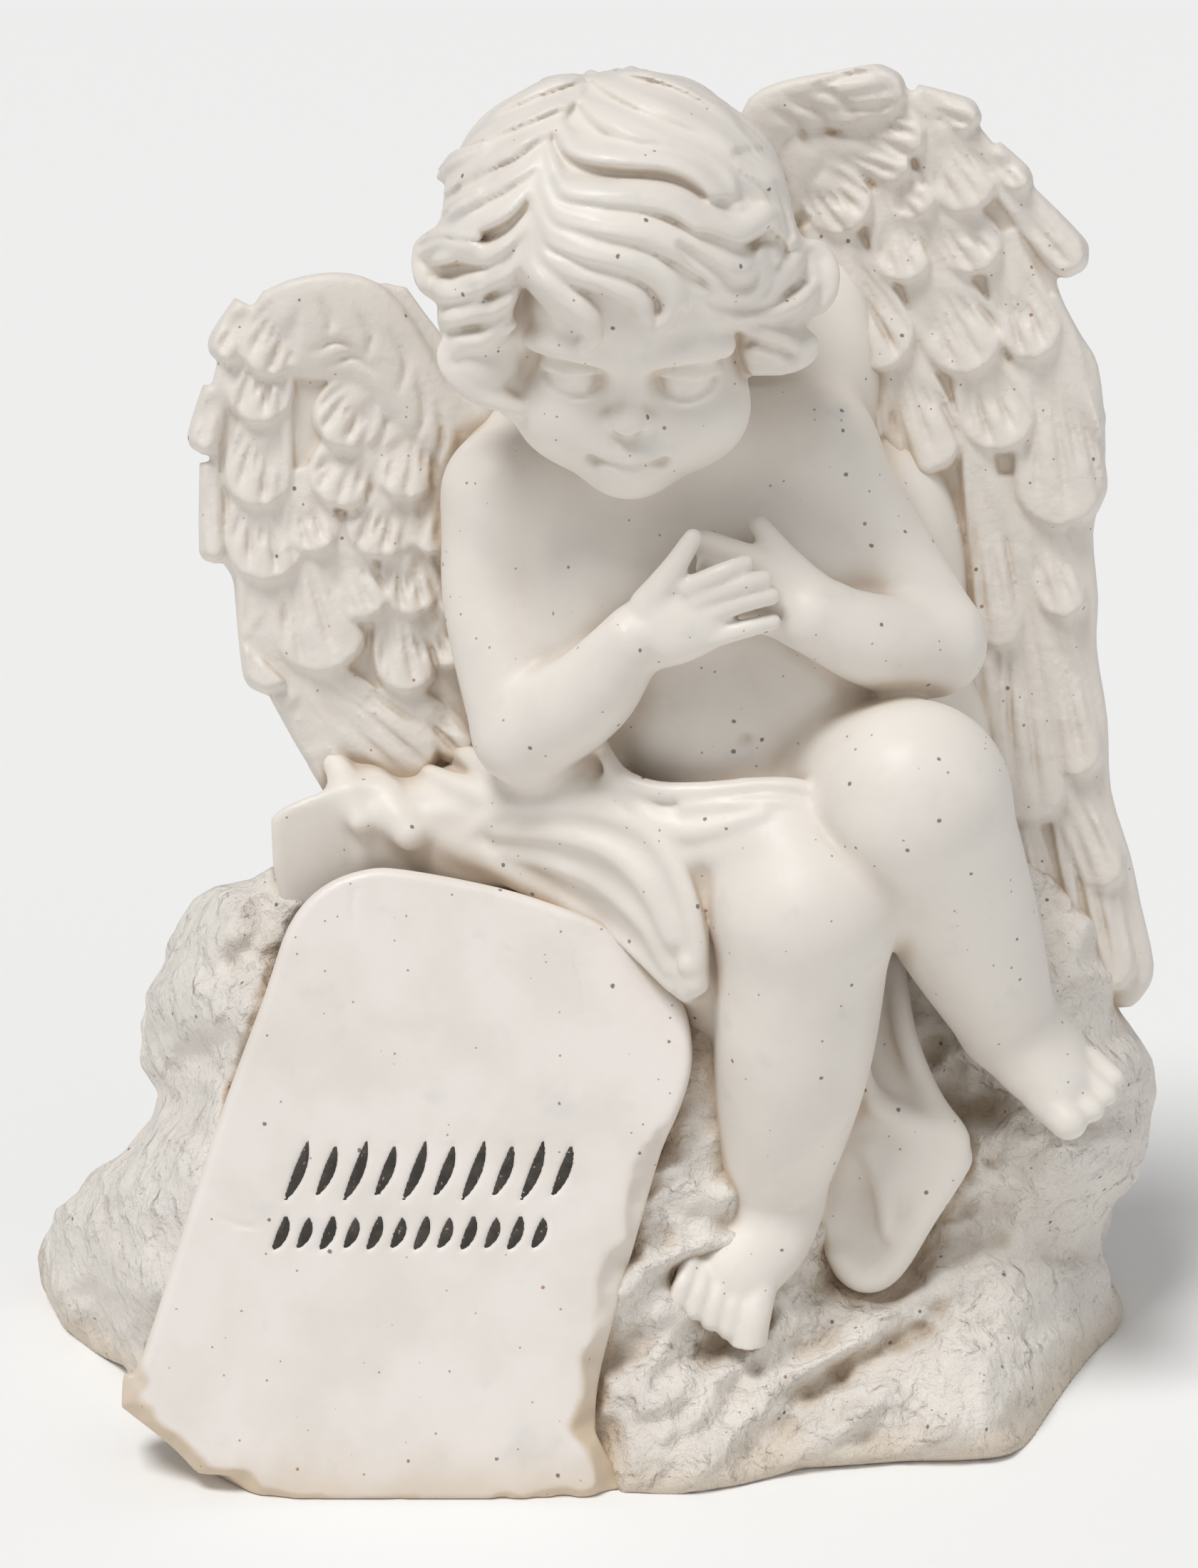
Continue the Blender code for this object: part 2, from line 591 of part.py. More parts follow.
HIP_CLOTH = [
    (-19.5, 94.5), (-17, 91.6), (-11, 87), (-5, 83.3), (1, 79.6), (6, 75.6), (10, 71.6), (12.5, 70.2),
    (14.4, 72.5), (14.2, 78), (12.6, 86), (9, 92.4), (4, 96.2), (-3, 98.4), (-11, 99), (-16, 97),
]
HIP_CLOTH_FRONT = Relief(
    [
        (-18, 94, 38), (-11, 98, 33.4), (-3, 97.4, 29), (4, 95.4, 25), (8.4, 92.6, 22.2),
        (11.6, 86.4, 19.6),
        (13.6, 78, 18.4), (12.8, 71.6, 19.0), (-12, 94.4, 34.0), (-4, 93.8, 28.6), (3, 91.4, 24.2),
        (8, 86.6, 20.6), (11, 80, 18.8), (-11, 91.0, 34.0), (-3, 89.6, 28.4), (3.6, 85.6, 24.2),
        (8, 79.4, 20.8),
        (-10, 87.6, 34.2), (-2, 84.6, 29.4), (5, 79, 24.4), (9.6, 73.8, 20.4),
    ],
    stiffness=3,
)
WEB_CLOTH = [(-34, 102), (-24, 104), (-14, 102), (-6, 100), (-2, 92), (-8, 84), (-20, 85), (-34, 86)]
SHIN_CLOTH = [
    (36, 88), (41, 78), (42.5, 70), (44, 62), (48, 55.5), (51.5, 50.5), (51, 46.5), (46, 39),
    (41, 31.5),
    (37, 29.8), (33.5, 31.5), (31.5, 36), (29, 44), (27, 60), (30, 80),
]
SHIN_CLOTH_FRONT = Relief(
    [
        (36, 88, 38), (42, 75, 40), (44, 62, 36), (48, 55.5, 31), (51.5, 50, 29), (46, 39, 28.5),
        (40, 31, 28),
        (34, 31, 28), (31, 38, 28.5), (29, 46, 30), (33, 56, 30), (30, 70, 34), (38, 58, 31),
        (42, 47, 28),
        (37, 44, 30.5),
    ],
    stiffness=4,
)


def flap_front(across, up):
    return 41.5 + 0.10 * (across + 38) + 0.004 * (across + 38) ** 2


def web_cloth_front(across, up):
    away = smooth_step((-12 - across) / 6) * np.maximum(up - 96, 0) ** 2
    return 41 - 0.34 * (across + 28) * (across > -28) + 0.02 * (up - 94) ** 2 + 0.17 * away


def fold(clay, places, radii, blend=1.5):
    clay.add(rod([seen(*place) for place in places], radii), blend)


def build_cloth(clay):
    # over the lap: a broad band, its creases, and the rolled edge against the belly
    fold(clay, [(4, 97.5, 28), (12, 95.6, 24.8), (20, 96, 23.0), (28, 96, 21.8), (34, 93, 21)],
         [1.8, 3.0, 3.2, 2.8, 1.0], 3)
    fold(clay, [(11, 91, 23.5), (18, 91.8, 21.5), (26, 92.6, 19.5), (33, 91.5, 18.8)], [1.6, 2.2,
        2.4, 1.0], 3)
    hem = [(0.5, 106, 31), (3, 102, 27.4), (8, 99.9, 25), (15, 99.8, 23.6), (22, 100.4, 23),
        (28, 100.3, 22.6),
           (32, 98, 22.4), (34.6, 95, 21.6)]
    fold(clay, hem, [1.0, 1.3, 1.4, 1.4, 1.4, 1.3, 1.2, 0.7], 0.8)
    fold(clay, [(1.6, 101.6, 29), (6.5, 97.0, 24.8), (11.5, 94.2, 22.2), (17, 94.8, 20.4),
        (23, 96.6, 19.8)],
         [1.0, 1.2, 1.2, 1.1, 0.7], 1.2)
    fold(clay, [(12, 97.6, 22.6), (19, 98.0, 21.4), (26, 98.2, 20.8), (31, 96, 20.6)], [0.5, 0.8,
        0.8, 0.4], 1.2)
    # the web between the wing's tip and the hip
    clay.add(plate(Outline(WEB_CLOTH, 4), web_cloth_front, 14, 2.5), 2)
    fold(clay, [(-26, 103.4, 51), (-20, 100.6, 42), (-14, 98.6, 37), (-9, 98.6, 33)], [1.2, 1.6, 1.4,
        0.8], 2)
    fold(clay, [(-19.5, 105, 50), (-12, 102.0, 37.6), (-5, 100.2, 32), (1, 98.4, 28)], [1.6, 2.2,
        2.2, 1.6], 3)
    # the sweep over the hip, and its hanging corner
    clay.add(plate(Outline(HIP_CLOTH, 4), HIP_CLOTH_FRONT, 14, 2.0), 1.2)
    edge = [(-17.5, 94.2, 38), (-11.5, 97.8, 33.4), (-3, 97.4, 28.8), (4, 95.6, 24.9),
        (8.6, 92.4, 22.0),
            (12.2, 86, 19.3), (13.8, 79, 18.0), (13.2, 73.2, 18.6)]
    fold(clay, edge, [0.5, 0.7, 0.8, 0.8, 1.0, 1.0, 1.2, 1.9], 2.4)
    fold(clay, [(-14, 94, 35.4), (-6, 93.6, 29.8), (1, 91.4, 25.2), (6.4, 86.6, 21.8), (10, 79, 19.2)],
         [0.4, 0.8, 0.9, 0.9, 0.5], 2.6)
    fold(clay, [(-13, 91, 35.4), (-5.6, 89.2, 30.4), (0.8, 86.2, 26.6), (6.4, 80.6, 22.4),
        (9.6, 75, 20.4)],
         [0.4, 0.7, 0.8, 0.7, 0.5], 2.2)
    hem = [(-16.6, 92, 37), (-10.4, 87.6, 34.4), (-4.6, 84, 31), (1, 80.6, 27.4), (6, 76.4, 24),
        (10.4, 72.6, 20.8)]
    fold(clay, hem, [0.6, 0.7, 0.7, 0.7, 0.8, 1.1], 1.2)
    for place, radius in (((12.4, 75.4, 17.6), 1.3), ((13.8, 73, 18.4), 1.3), ((12.2, 71.6, 18.8),
        1.2)):
        clay.add(ball(seen(*place), [radius] * 3), 1.0)
    # the layer beneath it, between the tablet's top and the sheet
    fold(clay, [(-20, 93, 40), (-13, 89, 36.6), (-7, 85.6, 33.6), (-1, 82.6, 30)], [1.6, 2.0, 1.8,
        1.0], 2.4)
    fold(clay, [(9, 93, 27), (12.5, 88, 24.5), (15, 80, 25), (15.6, 70, 28)], [2.5, 3, 3.5, 4], 2.5)
    # the flap over the rock's shoulder, and the wing's last feathers over its edge
    flap = [(-46, 96), (-44, 97.7), (-38, 100), (-32, 101), (-26, 98), (-26, 86), (-36, 84),
        (-44.5, 84)]
    clay.add(plate(Outline(flap, 2), flap_front, 14, 1.0), 1.0)
    fold(clay, [(-39.5, 110, 60), (-37.2, 104.6, 50.5), (-35, 99.6, 43.8), (-33.6, 95.4, 40.4)],
         [1.5, 2.0, 1.7, 1.2], 2.6)
    fold(clay, [(-35, 106, 57), (-31.6, 101.4, 48), (-29, 97.4, 42.4), (-26.6, 93.8, 39.4)],
         [1.4, 2.2, 2.6, 2.2], 2.6)
    # the end that hangs between the shins
    clay.add(plate(Outline(SHIN_CLOTH, 4), SHIN_CLOTH_FRONT, 12, 2.0), 2)
    fold(clay, [(36, 66, 32), (37.5, 58, 30), (42, 54.5, 29.5), (49, 52, 30)], [1.2, 1.6, 1.8, 1.6], 2)
    fold(clay, [(41.5, 76, 40), (43, 66, 36), (46, 58, 33), (50, 51, 30)], [1.4, 1.6, 1.6, 1.8], 2)
    fold(clay, [(50.5, 48, 30), (46, 41, 29), (41, 33, 28.5), (37, 31.3, 28.5), (33.5, 35, 29)],
         [1.6, 1.8, 1.8, 1.6, 1.2], 2)
    fold(clay, [(38, 50, 30), (40, 44, 28.6), (40.5, 38, 28)], [0.8, 1.3, 0.8], 2.5)


# Carving over a form


def smooth_step(value):
    value = np.clip(value, 0, 1)
    return value * value * (3 - 2 * value)


class Carving:
    """A shallow carving in the front view: its heights, and the distance to its outline."""

    def __init__(self, outline):
        self.across, self.up = table_places(FINE_STEP)
        self.height = np.zeros(self.across.shape, np.float32)
        self.lines = np.zeros(self.across.shape, np.float32)
        self.outline = outline(self.across, self.up)

    def window(self, places, reach):
        """The table's slices around places, and the across and up there."""
        places = np.array([tuple(p[:2]) for p in places], float)
        first = np.floor((places.min(axis=0) - reach - TABLE_LOW) / FINE_STEP).astype(int)
        last = np.ceil((places.max(axis=0) + reach - TABLE_LOW) / FINE_STEP).astype(int)
        slices = tuple(slice(max(a, 0), b) for a, b in zip(first, last))
        return slices, self.across[slices], self.up[slices]

    def paint(self, slices, height, lines, inside, edge):
        """Lays a height and its fine lines over what is there, inside their own edge."""
        cover = smooth_step(inside / edge)
        self.height[slices] = self.height[slices] * (1 - cover) + height * cover
        self.lines[slices] = self.lines[slices] * (1 - cover) + lines * cover

    def add_feather(self, root, tip, half_width, turn):
        """A shingle: low at its root, domed, round at its tip, with grooves that fan out from the root."""
        way = Vector(tip) - Vector(root)
        root = Vector(root) - way * 0.35
        way = Vector(tip) - root
        slices, across, up = self.window((root, tip), half_width * 1.6)
        length = way.length
        x, y = across - root[0], up - root[1]
        along = (x * way.x + y * way.y) / length
        aside = (y * way.x - x * way.y) / length
        centre = length - half_width * 0.95
        width = half_width * (0.72 + 0.28 * smooth_step(along / max(centre, 1)))
        beyond = np.maximum(along - centre, 0)
        share = np.clip(along / length, 0, 1)
        count = 4 if half_width < 3.6 else 6
        grooves = np.zeros(across.shape)
        notches = np.zeros(across.shape)
        for k in range(count):
            wave = math.sin(7.3 * k + 3.1 * turn)
            line = -0.80 + 1.60 * k / (count - 1) + 0.09 * wave
            bow = 1 + 0.16 * np.sin(math.pi * share)
            gap = aside - line * width * (0.30 + 0.66 * share) * bow
            start, end = 0.30 + 0.10 * wave, (0.78, 0.99)[k % 2] + 0.06 * math.sin(5.1 * k + turn)
            present = smooth_step((share - start) / 0.25) * smooth_step((end - share) / 0.25)
            sharp = 1 / (1 + (gap / GROOVE_WIDTH) ** 4)
            grooves = np.maximum(grooves, present * sharp * (0.75 + 0.25 * wave))
            notches = np.maximum(notches, sharp * (0.16 if k % 2 else 0.0))
        inside = width - np.sqrt(aside**2 + beyond**2) - notches * (beyond > 0) * min(GROOVE_DEPTH, 1)
        inside = np.minimum(inside, along + 1)
        dome = 1 - 0.34 * np.clip(np.abs(aside) / width, 0, 1) ** 2.2
        lift = 0.30 + 0.70 * share**1.4
        self.paint(slices, FEATHER_LIFT * lift * dome, grooves, inside, FEATHER_EDGE)
        shown = np.minimum(inside, along - 0.26 * length)
        self.outline[slices] = np.minimum(self.outline[slices], -shown)

    def add_swell(self, path, radius, height):
        """A rounded ridge along a path."""
        path = smooth_path(path, 6)
        slices, across, up = self.window(path, radius)
        nearest = self.along_path(path, across, up)[0]
        swell = height * np.sqrt(np.clip(1 - (nearest / radius) ** 2, 0, 1))
        self.height[slices] = np.maximum(self.height[slices], swell)

    def along_path(self, path, across, up):
        """The distance to a path, the side it lies on, how far along it is, and how level the path runs."""
        nearest = np.full(across.shape, 1e9)
        side, share_along, level = (np.zeros(across.shape) for _ in range(3))
        count = len(path) - 1
        for i, ((ax, ay), (bx, by)) in enumerate(zip(path[:-1], path[1:])):
            ex, ey = bx - ax, by - ay
            share = np.clip(((across - ax) * ex + (up - ay) * ey) / (ex * ex + ey * ey), 0, 1)
            x, y = across - ax - share * ex, up - ay - share * ey
            gap = np.sqrt(x * x + y * y)
            closer = gap < nearest
            side = np.where(closer, (y * ex - x * ey) / math.hypot(ex, ey), side)
            share_along = np.where(closer, (i + share) / count, share_along)
            level = np.where(closer, ex / math.hypot(ex, ey), level)
            nearest = np.minimum(nearest, gap)
        return nearest, side, share_along, level

    def add_lock(self, path, half_width, height, turn):
        """A lock of hair: crest toward its lower edge, tapering at both ends, with fine lines along it."""
        path = smooth_path(path, 6)
        slices, across, up = self.window(path, half_width * 1.2)
        nearest, side, share, level = self.along_path(path, across, up)
        width = half_width * np.sqrt(np.clip(0.18 + 3.2 * share * (1.16 - share), 0, 1))
        inside = width - nearest
        down = np.clip(-side * level / np.maximum(width, 0.1), -1, 1)
        middle = np.clip(nearest / np.maximum(width, 0.1), 0, 1)
        crest = 1 - 0.50 * middle**2 + 0.26 * down
        fade = 0.40 + 0.60 * smooth_step(share / 0.35)
        form = height * crest * fade
        lines = np.zeros(across.shape)
        for k in range(3):
            place = (-0.62, -0.12, 0.40)[k] + 0.10 * math.sin(4.7 * k + turn)
            gap = side - place * width
            start, end = 0.05 + 0.12 * ((k + turn) % 3), 0.70 + 0.12 * ((k * 2 + turn) % 3)
            present = smooth_step((share - start) / 0.2) * smooth_step((end - share) / 0.2)
            lines = np.maximum(lines, present * (0.9, 0.6, 0.75)[k] / (1 + (gap / GROOVE_WIDTH) ** 4))
        self.paint(slices, form, lines, inside, 1.1)

    def score(self, path, width, depth):
        """A groove cut along a path, tapering at both ends."""
        path = smooth_path(path, 5)
        slices, across, up = self.window(path, width * 3)
        nearest, _, share, _ = self.along_path(path, across, up)
        strength = np.sin(math.pi * np.clip(share, 0.05, 0.95)) ** 0.6
        cut = depth * strength * np.exp(-((nearest / width) ** 2))
        self.height[slices] -= cut.astype(np.float32)


# The head

HEAD_PITCH = math.radians(20)
HEAD_TURN = math.radians(3.5)
HEAD_MIDDLE = seen(5.2, 174.7, 31)
HEAD_UP = Vector((0, -math.sin(HEAD_PITCH), math.cos(HEAD_PITCH)))
HEAD_FORWARD = Matrix.Rotation(-HEAD_TURN, 3,
    HEAD_UP) @ HEAD_UP.cross(Vector((1, 0, 0))).normalized() * -1
HEAD_RIGHT = HEAD_FORWARD.cross(HEAD_UP)
HEAD_AXES = (HEAD_RIGHT, HEAD_UP, HEAD_FORWARD)
HAIR_RADII = np.array((22.8, 19.2, 22.6))
HAIR_MIDDLE = HEAD_MIDDLE + HEAD_UP * 4.3 - HEAD_FORWARD * 1.8 - Vector((2.8, 0, 0))


def on_head(right, up, forward):
    return HEAD_MIDDLE + HEAD_RIGHT * right + HEAD_UP * up + HEAD_FORWARD * forward


def head_ball(right, up, forward, radii):
    return ball(on_head(right, up, forward), radii, HEAD_AXES)


def build_face(clay):
    clay.add(head_ball(-0.6, 0, -4, (18.0, 15.5, 18)), 0)
    clay.add(head_ball(0, -8, 4.5, (15.2, 15.5, 13.4)), 4)
    clay.add(head_ball(0, 1.0, 8.8, (14.4, 9.0, 11.4)), 4)
    clay.add(head_ball(0, -19.5, 8.8, (13.2, 8.8, 9.0)), 4)
    clay.add(head_ball(0, -24.2, 13.6, (5.4, 3.6, 5.0)), 3)
    clay.add(head_ball(0, -18.4, 14.4, (6.8, 4.4, 4.8)), 3.5)
    for side in (-1, 1):
        clay.add(head_ball(side * 8.6, -15.8, 11.0, (7.2, 7.4, 7.4)), 3)
        brow = [(side * 2.4, -4.8, 17.2), (side * 7.0, -2.8, 18.0), (side * 12.2, -4.2, 14.4)]
        clay.add(rod([on_head(*place) for place in brow], [1.5, 2.0, 1.5]), 2.2)
        clay.cut(head_ball(side * 7.1, -8.4, 20.0, (5.4, 3.5, 5.0)), 1.2)
        build_eye(clay, side)
    build_nose(clay)
    build_mouth(clay)


def head_rod(places, radii, flat=1.0):
    return rod([on_head(*place) for place in places], radii, flat=flat, facing=HEAD_FORWARD)


EYE_BALL = 3.8
EYE_LID = 1.05


def lid_form(side, edge, upwards):
    """A lid: a shell over the eyeball on one side of a plane through its middle."""
    middle = on_head(*eye_place(side))
    lean = math.radians(edge)
    plane = (HEAD_UP * math.cos(lean) - HEAD_FORWARD * math.sin(lean)) * (-1 if upwards else 1)
    plane = np.array(plane)
    (low, high, shell), = ball(middle, [EYE_BALL + EYE_LID] * 3, HEAD_AXES)

    def distance(x, y, z):
        side_gap = (x - middle.x) * plane[0] + (y - middle.y) * plane[1] + (z - middle.z) * plane[2]
        return np.maximum(shell(x, y, z), side_gap)

    return [(low, high, distance)]


def eye_place(side):
    return (side * 7.1, -8.6, 13.7)


def build_eye(clay, side):
    clay.add(ball(on_head(*eye_place(side)), [EYE_BALL] * 3, HEAD_AXES), 0.1)
    clay.add(lid_form(side, 17, True), 0.3)
    clay.add(lid_form(side, -30, False), 0.5)
    clay.cut(head_ball(side * 7.1, -9.3, 17.8, (0.75, 0.75, 0.75)), 0.3)


def build_nose(clay):
    clay.add(head_rod([(0, -6.0, 15.6), (0, -9.4, 16.6), (0, -12.2, 18.6)], [1.8, 1.4, 1.5]), 2.2)
    clay.add(head_ball(0, -13.1, 19.2, (2.2, 1.9, 2.0)), 1.2)
    for side in (-1, 1):
        clay.add(head_ball(side * 2.3, -13.8, 17.9, (1.35, 1.3, 1.6)), 0.7)
        clay.cut(head_ball(side * 1.15, -14.9, 19.3, (0.6, 0.45, 0.7)), 0.5)


def build_mouth(clay):
    upper = [
        (-3.8, -19.2, 17.4), (-2.2, -18.3, 18.7), (-0.9, -17.8, 19.3), (0, -18.1, 19.4),
        (0.9, -17.8, 19.3),
        (2.2, -18.3, 18.7), (3.8, -19.2, 17.4),
    ]
    clay.add(head_rod(upper, [0.5, 1.0, 1.3, 1.15, 1.3, 1.0, 0.5]), 0.7)
    lower = [(-3.0, -20.1, 17.5), (-1.3, -20.7, 18.5), (0, -20.8, 18.8), (1.3, -20.7, 18.5),
        (3.0, -20.1, 17.5)]
    clay.add(head_rod(lower, [0.6, 1.35, 1.45, 1.35, 0.6]), 0.7)
    line = [(-4.3, -20.2, 17.9), (-1.7, -19.4, 19.8), (0, -19.5, 20.3), (1.7, -19.4, 19.8),
        (4.3, -20.2, 17.9)]
    clay.cut(head_rod(line, [0.45, 0.42, 0.42, 0.42, 0.45]), 0.4)
    for side in (-1, 1):
        clay.cut(head_ball(side * 4.8, -20.1, 18.3, (0.7, 0.9, 1.0)), 1.0)


HAIR_STROKES = [
    # path as seen, half width, height; each lies over those before it
    ([(-0.5, 200.8), (5.5, 200), (10.7, 198.7), (15.2, 196), (18.6, 192.4)], 3.0, 2.4),
    ([(-0.5, 200), (6, 197.5), (12, 194.8), (18, 191), (23, 187.6), (26.5, 185)], 3.2, 2.2),
    ([(19.6, 189), (24, 187.4), (27, 185), (27.6, 181), (27.8, 176.5)], 3.0, 2.4),
    ([(-2.6, 197), (2, 194), (8, 191.6), (13.7, 189.6), (17, 186), (17.4, 182)], 3.0, 2.2),
    ([(-5.6, 193.9), (-3.4, 190.2), (3.3, 189), (9.2, 188.6), (13.7, 186.8), (17, 183.8),
    (16.2, 181)], 2.6, 2.6),
    ([(16, 182.4), (20, 181.4), (24, 180.6), (26, 178)], 1.9, 2.0),
    ([(-7.5, 190.9), (-5.6, 185), (0.3, 183.4), (5.5, 183.3), (10.7, 182.4), (15.2, 179.8),
    (19.6, 178.8), (23.5, 180.6)], 2.9, 2.8),
    ([(14, 178), (18, 175.6), (22, 174.4), (24.4, 175.6)], 2.0, 2.2),
    ([(-8.4, 188), (-6.4, 181.4), (-0.5, 179.6), (6, 178.6), (11.6, 176.2), (16.4, 173.8),
    (21.5, 173.2), (23.8, 174.8)], 3.0, 2.9),
    ([(10.6, 173.4), (14, 169.6), (18.4, 167), (22, 168), (24.6, 171), (28, 174.6)], 2.4, 2.4),
    ([(15.6, 168.6), (19, 166.4), (23.6, 166.6), (28, 168.6), (31.5, 171.5)], 2.1, 2.6),
    ([(19.6, 164.6), (23, 164.4), (27, 162.8), (29.4, 161.4)], 1.9, 2.4),
    ([(20.2, 161.8), (23, 161.4), (26.4, 160)], 1.6, 2.0),
    ([(11.4, 176.4), (15.2, 172.8), (18.4, 169.8), (21.4, 169.8), (23.2, 172.6), (23, 175.4)], 2.0,
    2.6),
    ([(-9.2, 184), (-7.4, 178.6), (-2.6, 176.2), (3, 174.8), (7.8, 172.6), (10.4, 169.4),
    (10.4, 166.4), (8, 164.6)], 2.7, 2.8),
    ([(-9.6, 180.6), (-8.2, 175), (-3.4, 172.6), (1.8, 171), (5.6, 168.8), (6.6, 166)], 2.3, 2.4),
    ([(-10, 178.4), (-9.2, 173.4), (-6, 169.8), (-2.6, 167), (-0.6, 163.8), (-2.2, 161.6)], 2.6, 2.8),
    ([(-1, 201), (-4.5, 200.4), (-9, 198.8), (-13.4, 195.2), (-17, 191.4)], 2.6, 2.2),
    ([(-2.4, 198.6), (-6.5, 195.8), (-12, 193.6), (-17, 190.8), (-21.6, 187.6)], 2.6, 2.4),
    ([(-5, 195), (-9.4, 191.6), (-14.6, 189.4), (-19.8, 185.6), (-21.4, 182)], 2.6, 2.5),
    ([(-7.4, 191), (-11.6, 186.4), (-16.8, 184), (-20.5, 181.4), (-21.2, 178.6)], 2.5, 2.4),
    ([(-8.8, 186.2), (-13, 182), (-17.6, 179.8), (-21.4, 178.4), (-24.2, 176.6)], 2.5, 2.6),
    ([(-9.8, 180.6), (-12.4, 176.6), (-16, 175.2), (-19.8, 175.8), (-23.4, 174.6)], 2.3, 2.5),
    ([(-10.2, 177.4), (-13, 173), (-16.8, 171.2), (-20.6, 170), (-23, 170.6)], 2.4, 2.4),
    ([(-11.6, 170.8), (-13.8, 167.8), (-18.4, 167), (-21.2, 166.2)], 2.3, 2.3),
    ([(-12.4, 167), (-15.4, 163.4), (-19.6, 162.6), (-21.4, 161)], 2.2, 2.3),
]
CURLS = [
    # places (across, up, height over the hair's mass) along a free lock, thickest radius
    ([(17, 166.6, 0), (21.4, 165.8, 1), (26, 167.4, 1.6), (31, 168.4, 2), (32.4, 172, 2),
    (30.8, 175.2, 1.6),
      (27.6, 175.4, 1.4), (26.6, 172.4, 1.8), (28.8, 171.2, 2)], 1.7),
    ([(20, 164, -1), (23.4, 164.6, 0.4), (27.6, 163, 1), (29, 161.6, 0.6), (26.4, 160, 0),
    (22, 159.4, -1)], 2.0),
    ([(-17.4, 177, 0.6), (-21.6, 177.4, 1), (-24.4, 175.4, 1.2), (-24.2, 171.6, 1), (-21, 170, 1),
    (-16.6, 171, 0.6)], 1.9),
    ([(-12.8, 165.6, 0), (-17.6, 163.4, 0.8), (-20.8, 161.4, 1), (-20.4, 158.6, 1),
    (-16.6, 155.4, 0), (-11.2, 153.6, -0.6)], 1.9),
    ([(-12.2, 161.4, -0.5), (-15.2, 160, 0.6), (-16, 157.6, 0.6), (-13.2, 155, 0)], 1.4),
    ([(-16, 189.8, 0.6), (-19.6, 188.2, 1), (-21.9, 186.4, 0.4)], 1.6),
    ([(-17, 183.4, 0.8), (-19.8, 181.6, 1), (-21.3, 179.4, 0.4)], 1.6),
    ([(-16.4, 168.6, 0.6), (-19.4, 167.2, 1), (-21.2, 165.4, 0.4)], 1.5),
]
FACE_OPENING = [
    # the edge between hair and face as seen, with the tips of the fringe, closed below the chin
    (-10.5, 153.0), (-11.2, 158.1), (-12.4, 161.5), (-12.2, 167), (-10.6, 170.8), (-8.2, 168.2),
    (-6.0, 164.4),
    (-3.8, 161.2), (-1.2, 161.0), (0.5, 163), (0.6, 166.0), (2.4, 164.8), (3.6, 166.6), (6.0, 165.6),
    (8.0, 163.8), (10.4, 164.6), (11.6, 167.4), (13.7, 167.0), (16.7, 165.4), (19.6, 164.6),
    (19.8, 161),
    (20.2, 158.0), (20.0, 140), (-10, 140),
]
OPENING_DEPTH = 1.5


def on_hair(across, up, height=0.0):
    """Where the line of sight at (across, up) meets the hair's round mass, or passes nearest."""
    ray = unit(seen(across, up, 40) - EYE)
    radii = HAIR_RADII + height
    turn = np.array([tuple(a) for a in HEAD_AXES])
    start = turn @ np.array(EYE - HAIR_MIDDLE) / radii
    way = turn @ np.array(ray) / radii
    a, b, c = way @ way, start @ way, start @ start - 1
    inside = b * b - a * c
    share = (-b - math.sqrt(inside)) / a if inside > 0 else -b / a
    return EYE + ray * share


def away_from_head(place):
    return Vector(place) - HAIR_MIDDLE


def hair_form():
    """The hair's round mass with its locks carved over it, open at the face."""
    carving = Carving(Outline(FACE_OPENING, 1))
    for turn, (path, half_width, height) in enumerate(HAIR_STROKES):
        carving.add_lock(path, half_width, height, turn)
    heights, lines, opening = carving.height, carving.lines, carving.outline.astype(np.float32)
    (low, high, crown), = ball(HAIR_MIDDLE, HAIR_RADII - 1.2, HEAD_AXES)
    (low_left, high_left, left), = ball(seen(-13.5, 167.5, 30), (8.6, 12.0, 10), HEAD_AXES)
    (low_right, high_right, right), = ball(seen(20.6, 168.4, 30), (8.8, 9.6, 10), HEAD_AXES)
    low, high = np.minimum(np.minimum(low, low_left), low_right), np.maximum(np.maximum(high,
        high_left), high_right)
    middle, ahead, forward = (np.array(v) for v in (HAIR_MIDDLE, SIGHT_AHEAD, HEAD_FORWARD))

    def distance(x, y, z):
        across, up = front_view(x, y, z)
        gap = (x - middle[0], y - middle[1], z - middle[2])
        nearer = -sum(g * a for g, a in zip(gap, ahead))
        reach = sum(g * a for g, a in zip(gap, forward))
        raised = read_table(heights, across, up, FINE_STEP) * smooth_step((nearer + 4) / 7)
        raised = raised * (0.55 + 0.45 * smooth_step(nearer / 8))
        facing = smooth_step((nearer - 2) / 8)
        raised = raised - STRAND_DEPTH * read_table(lines, across, up, FINE_STEP) * facing
        form = smooth_min(smooth_min(crown(x, y, z), left(x, y, z), 4), right(x, y, z), 4) - raised
        cutter = np.maximum(read_table(opening, across, up, FINE_STEP), OPENING_DEPTH - reach)
        return -smooth_min(-form, cutter, 1.2)

    return [(low - 4, high + 4, distance)]


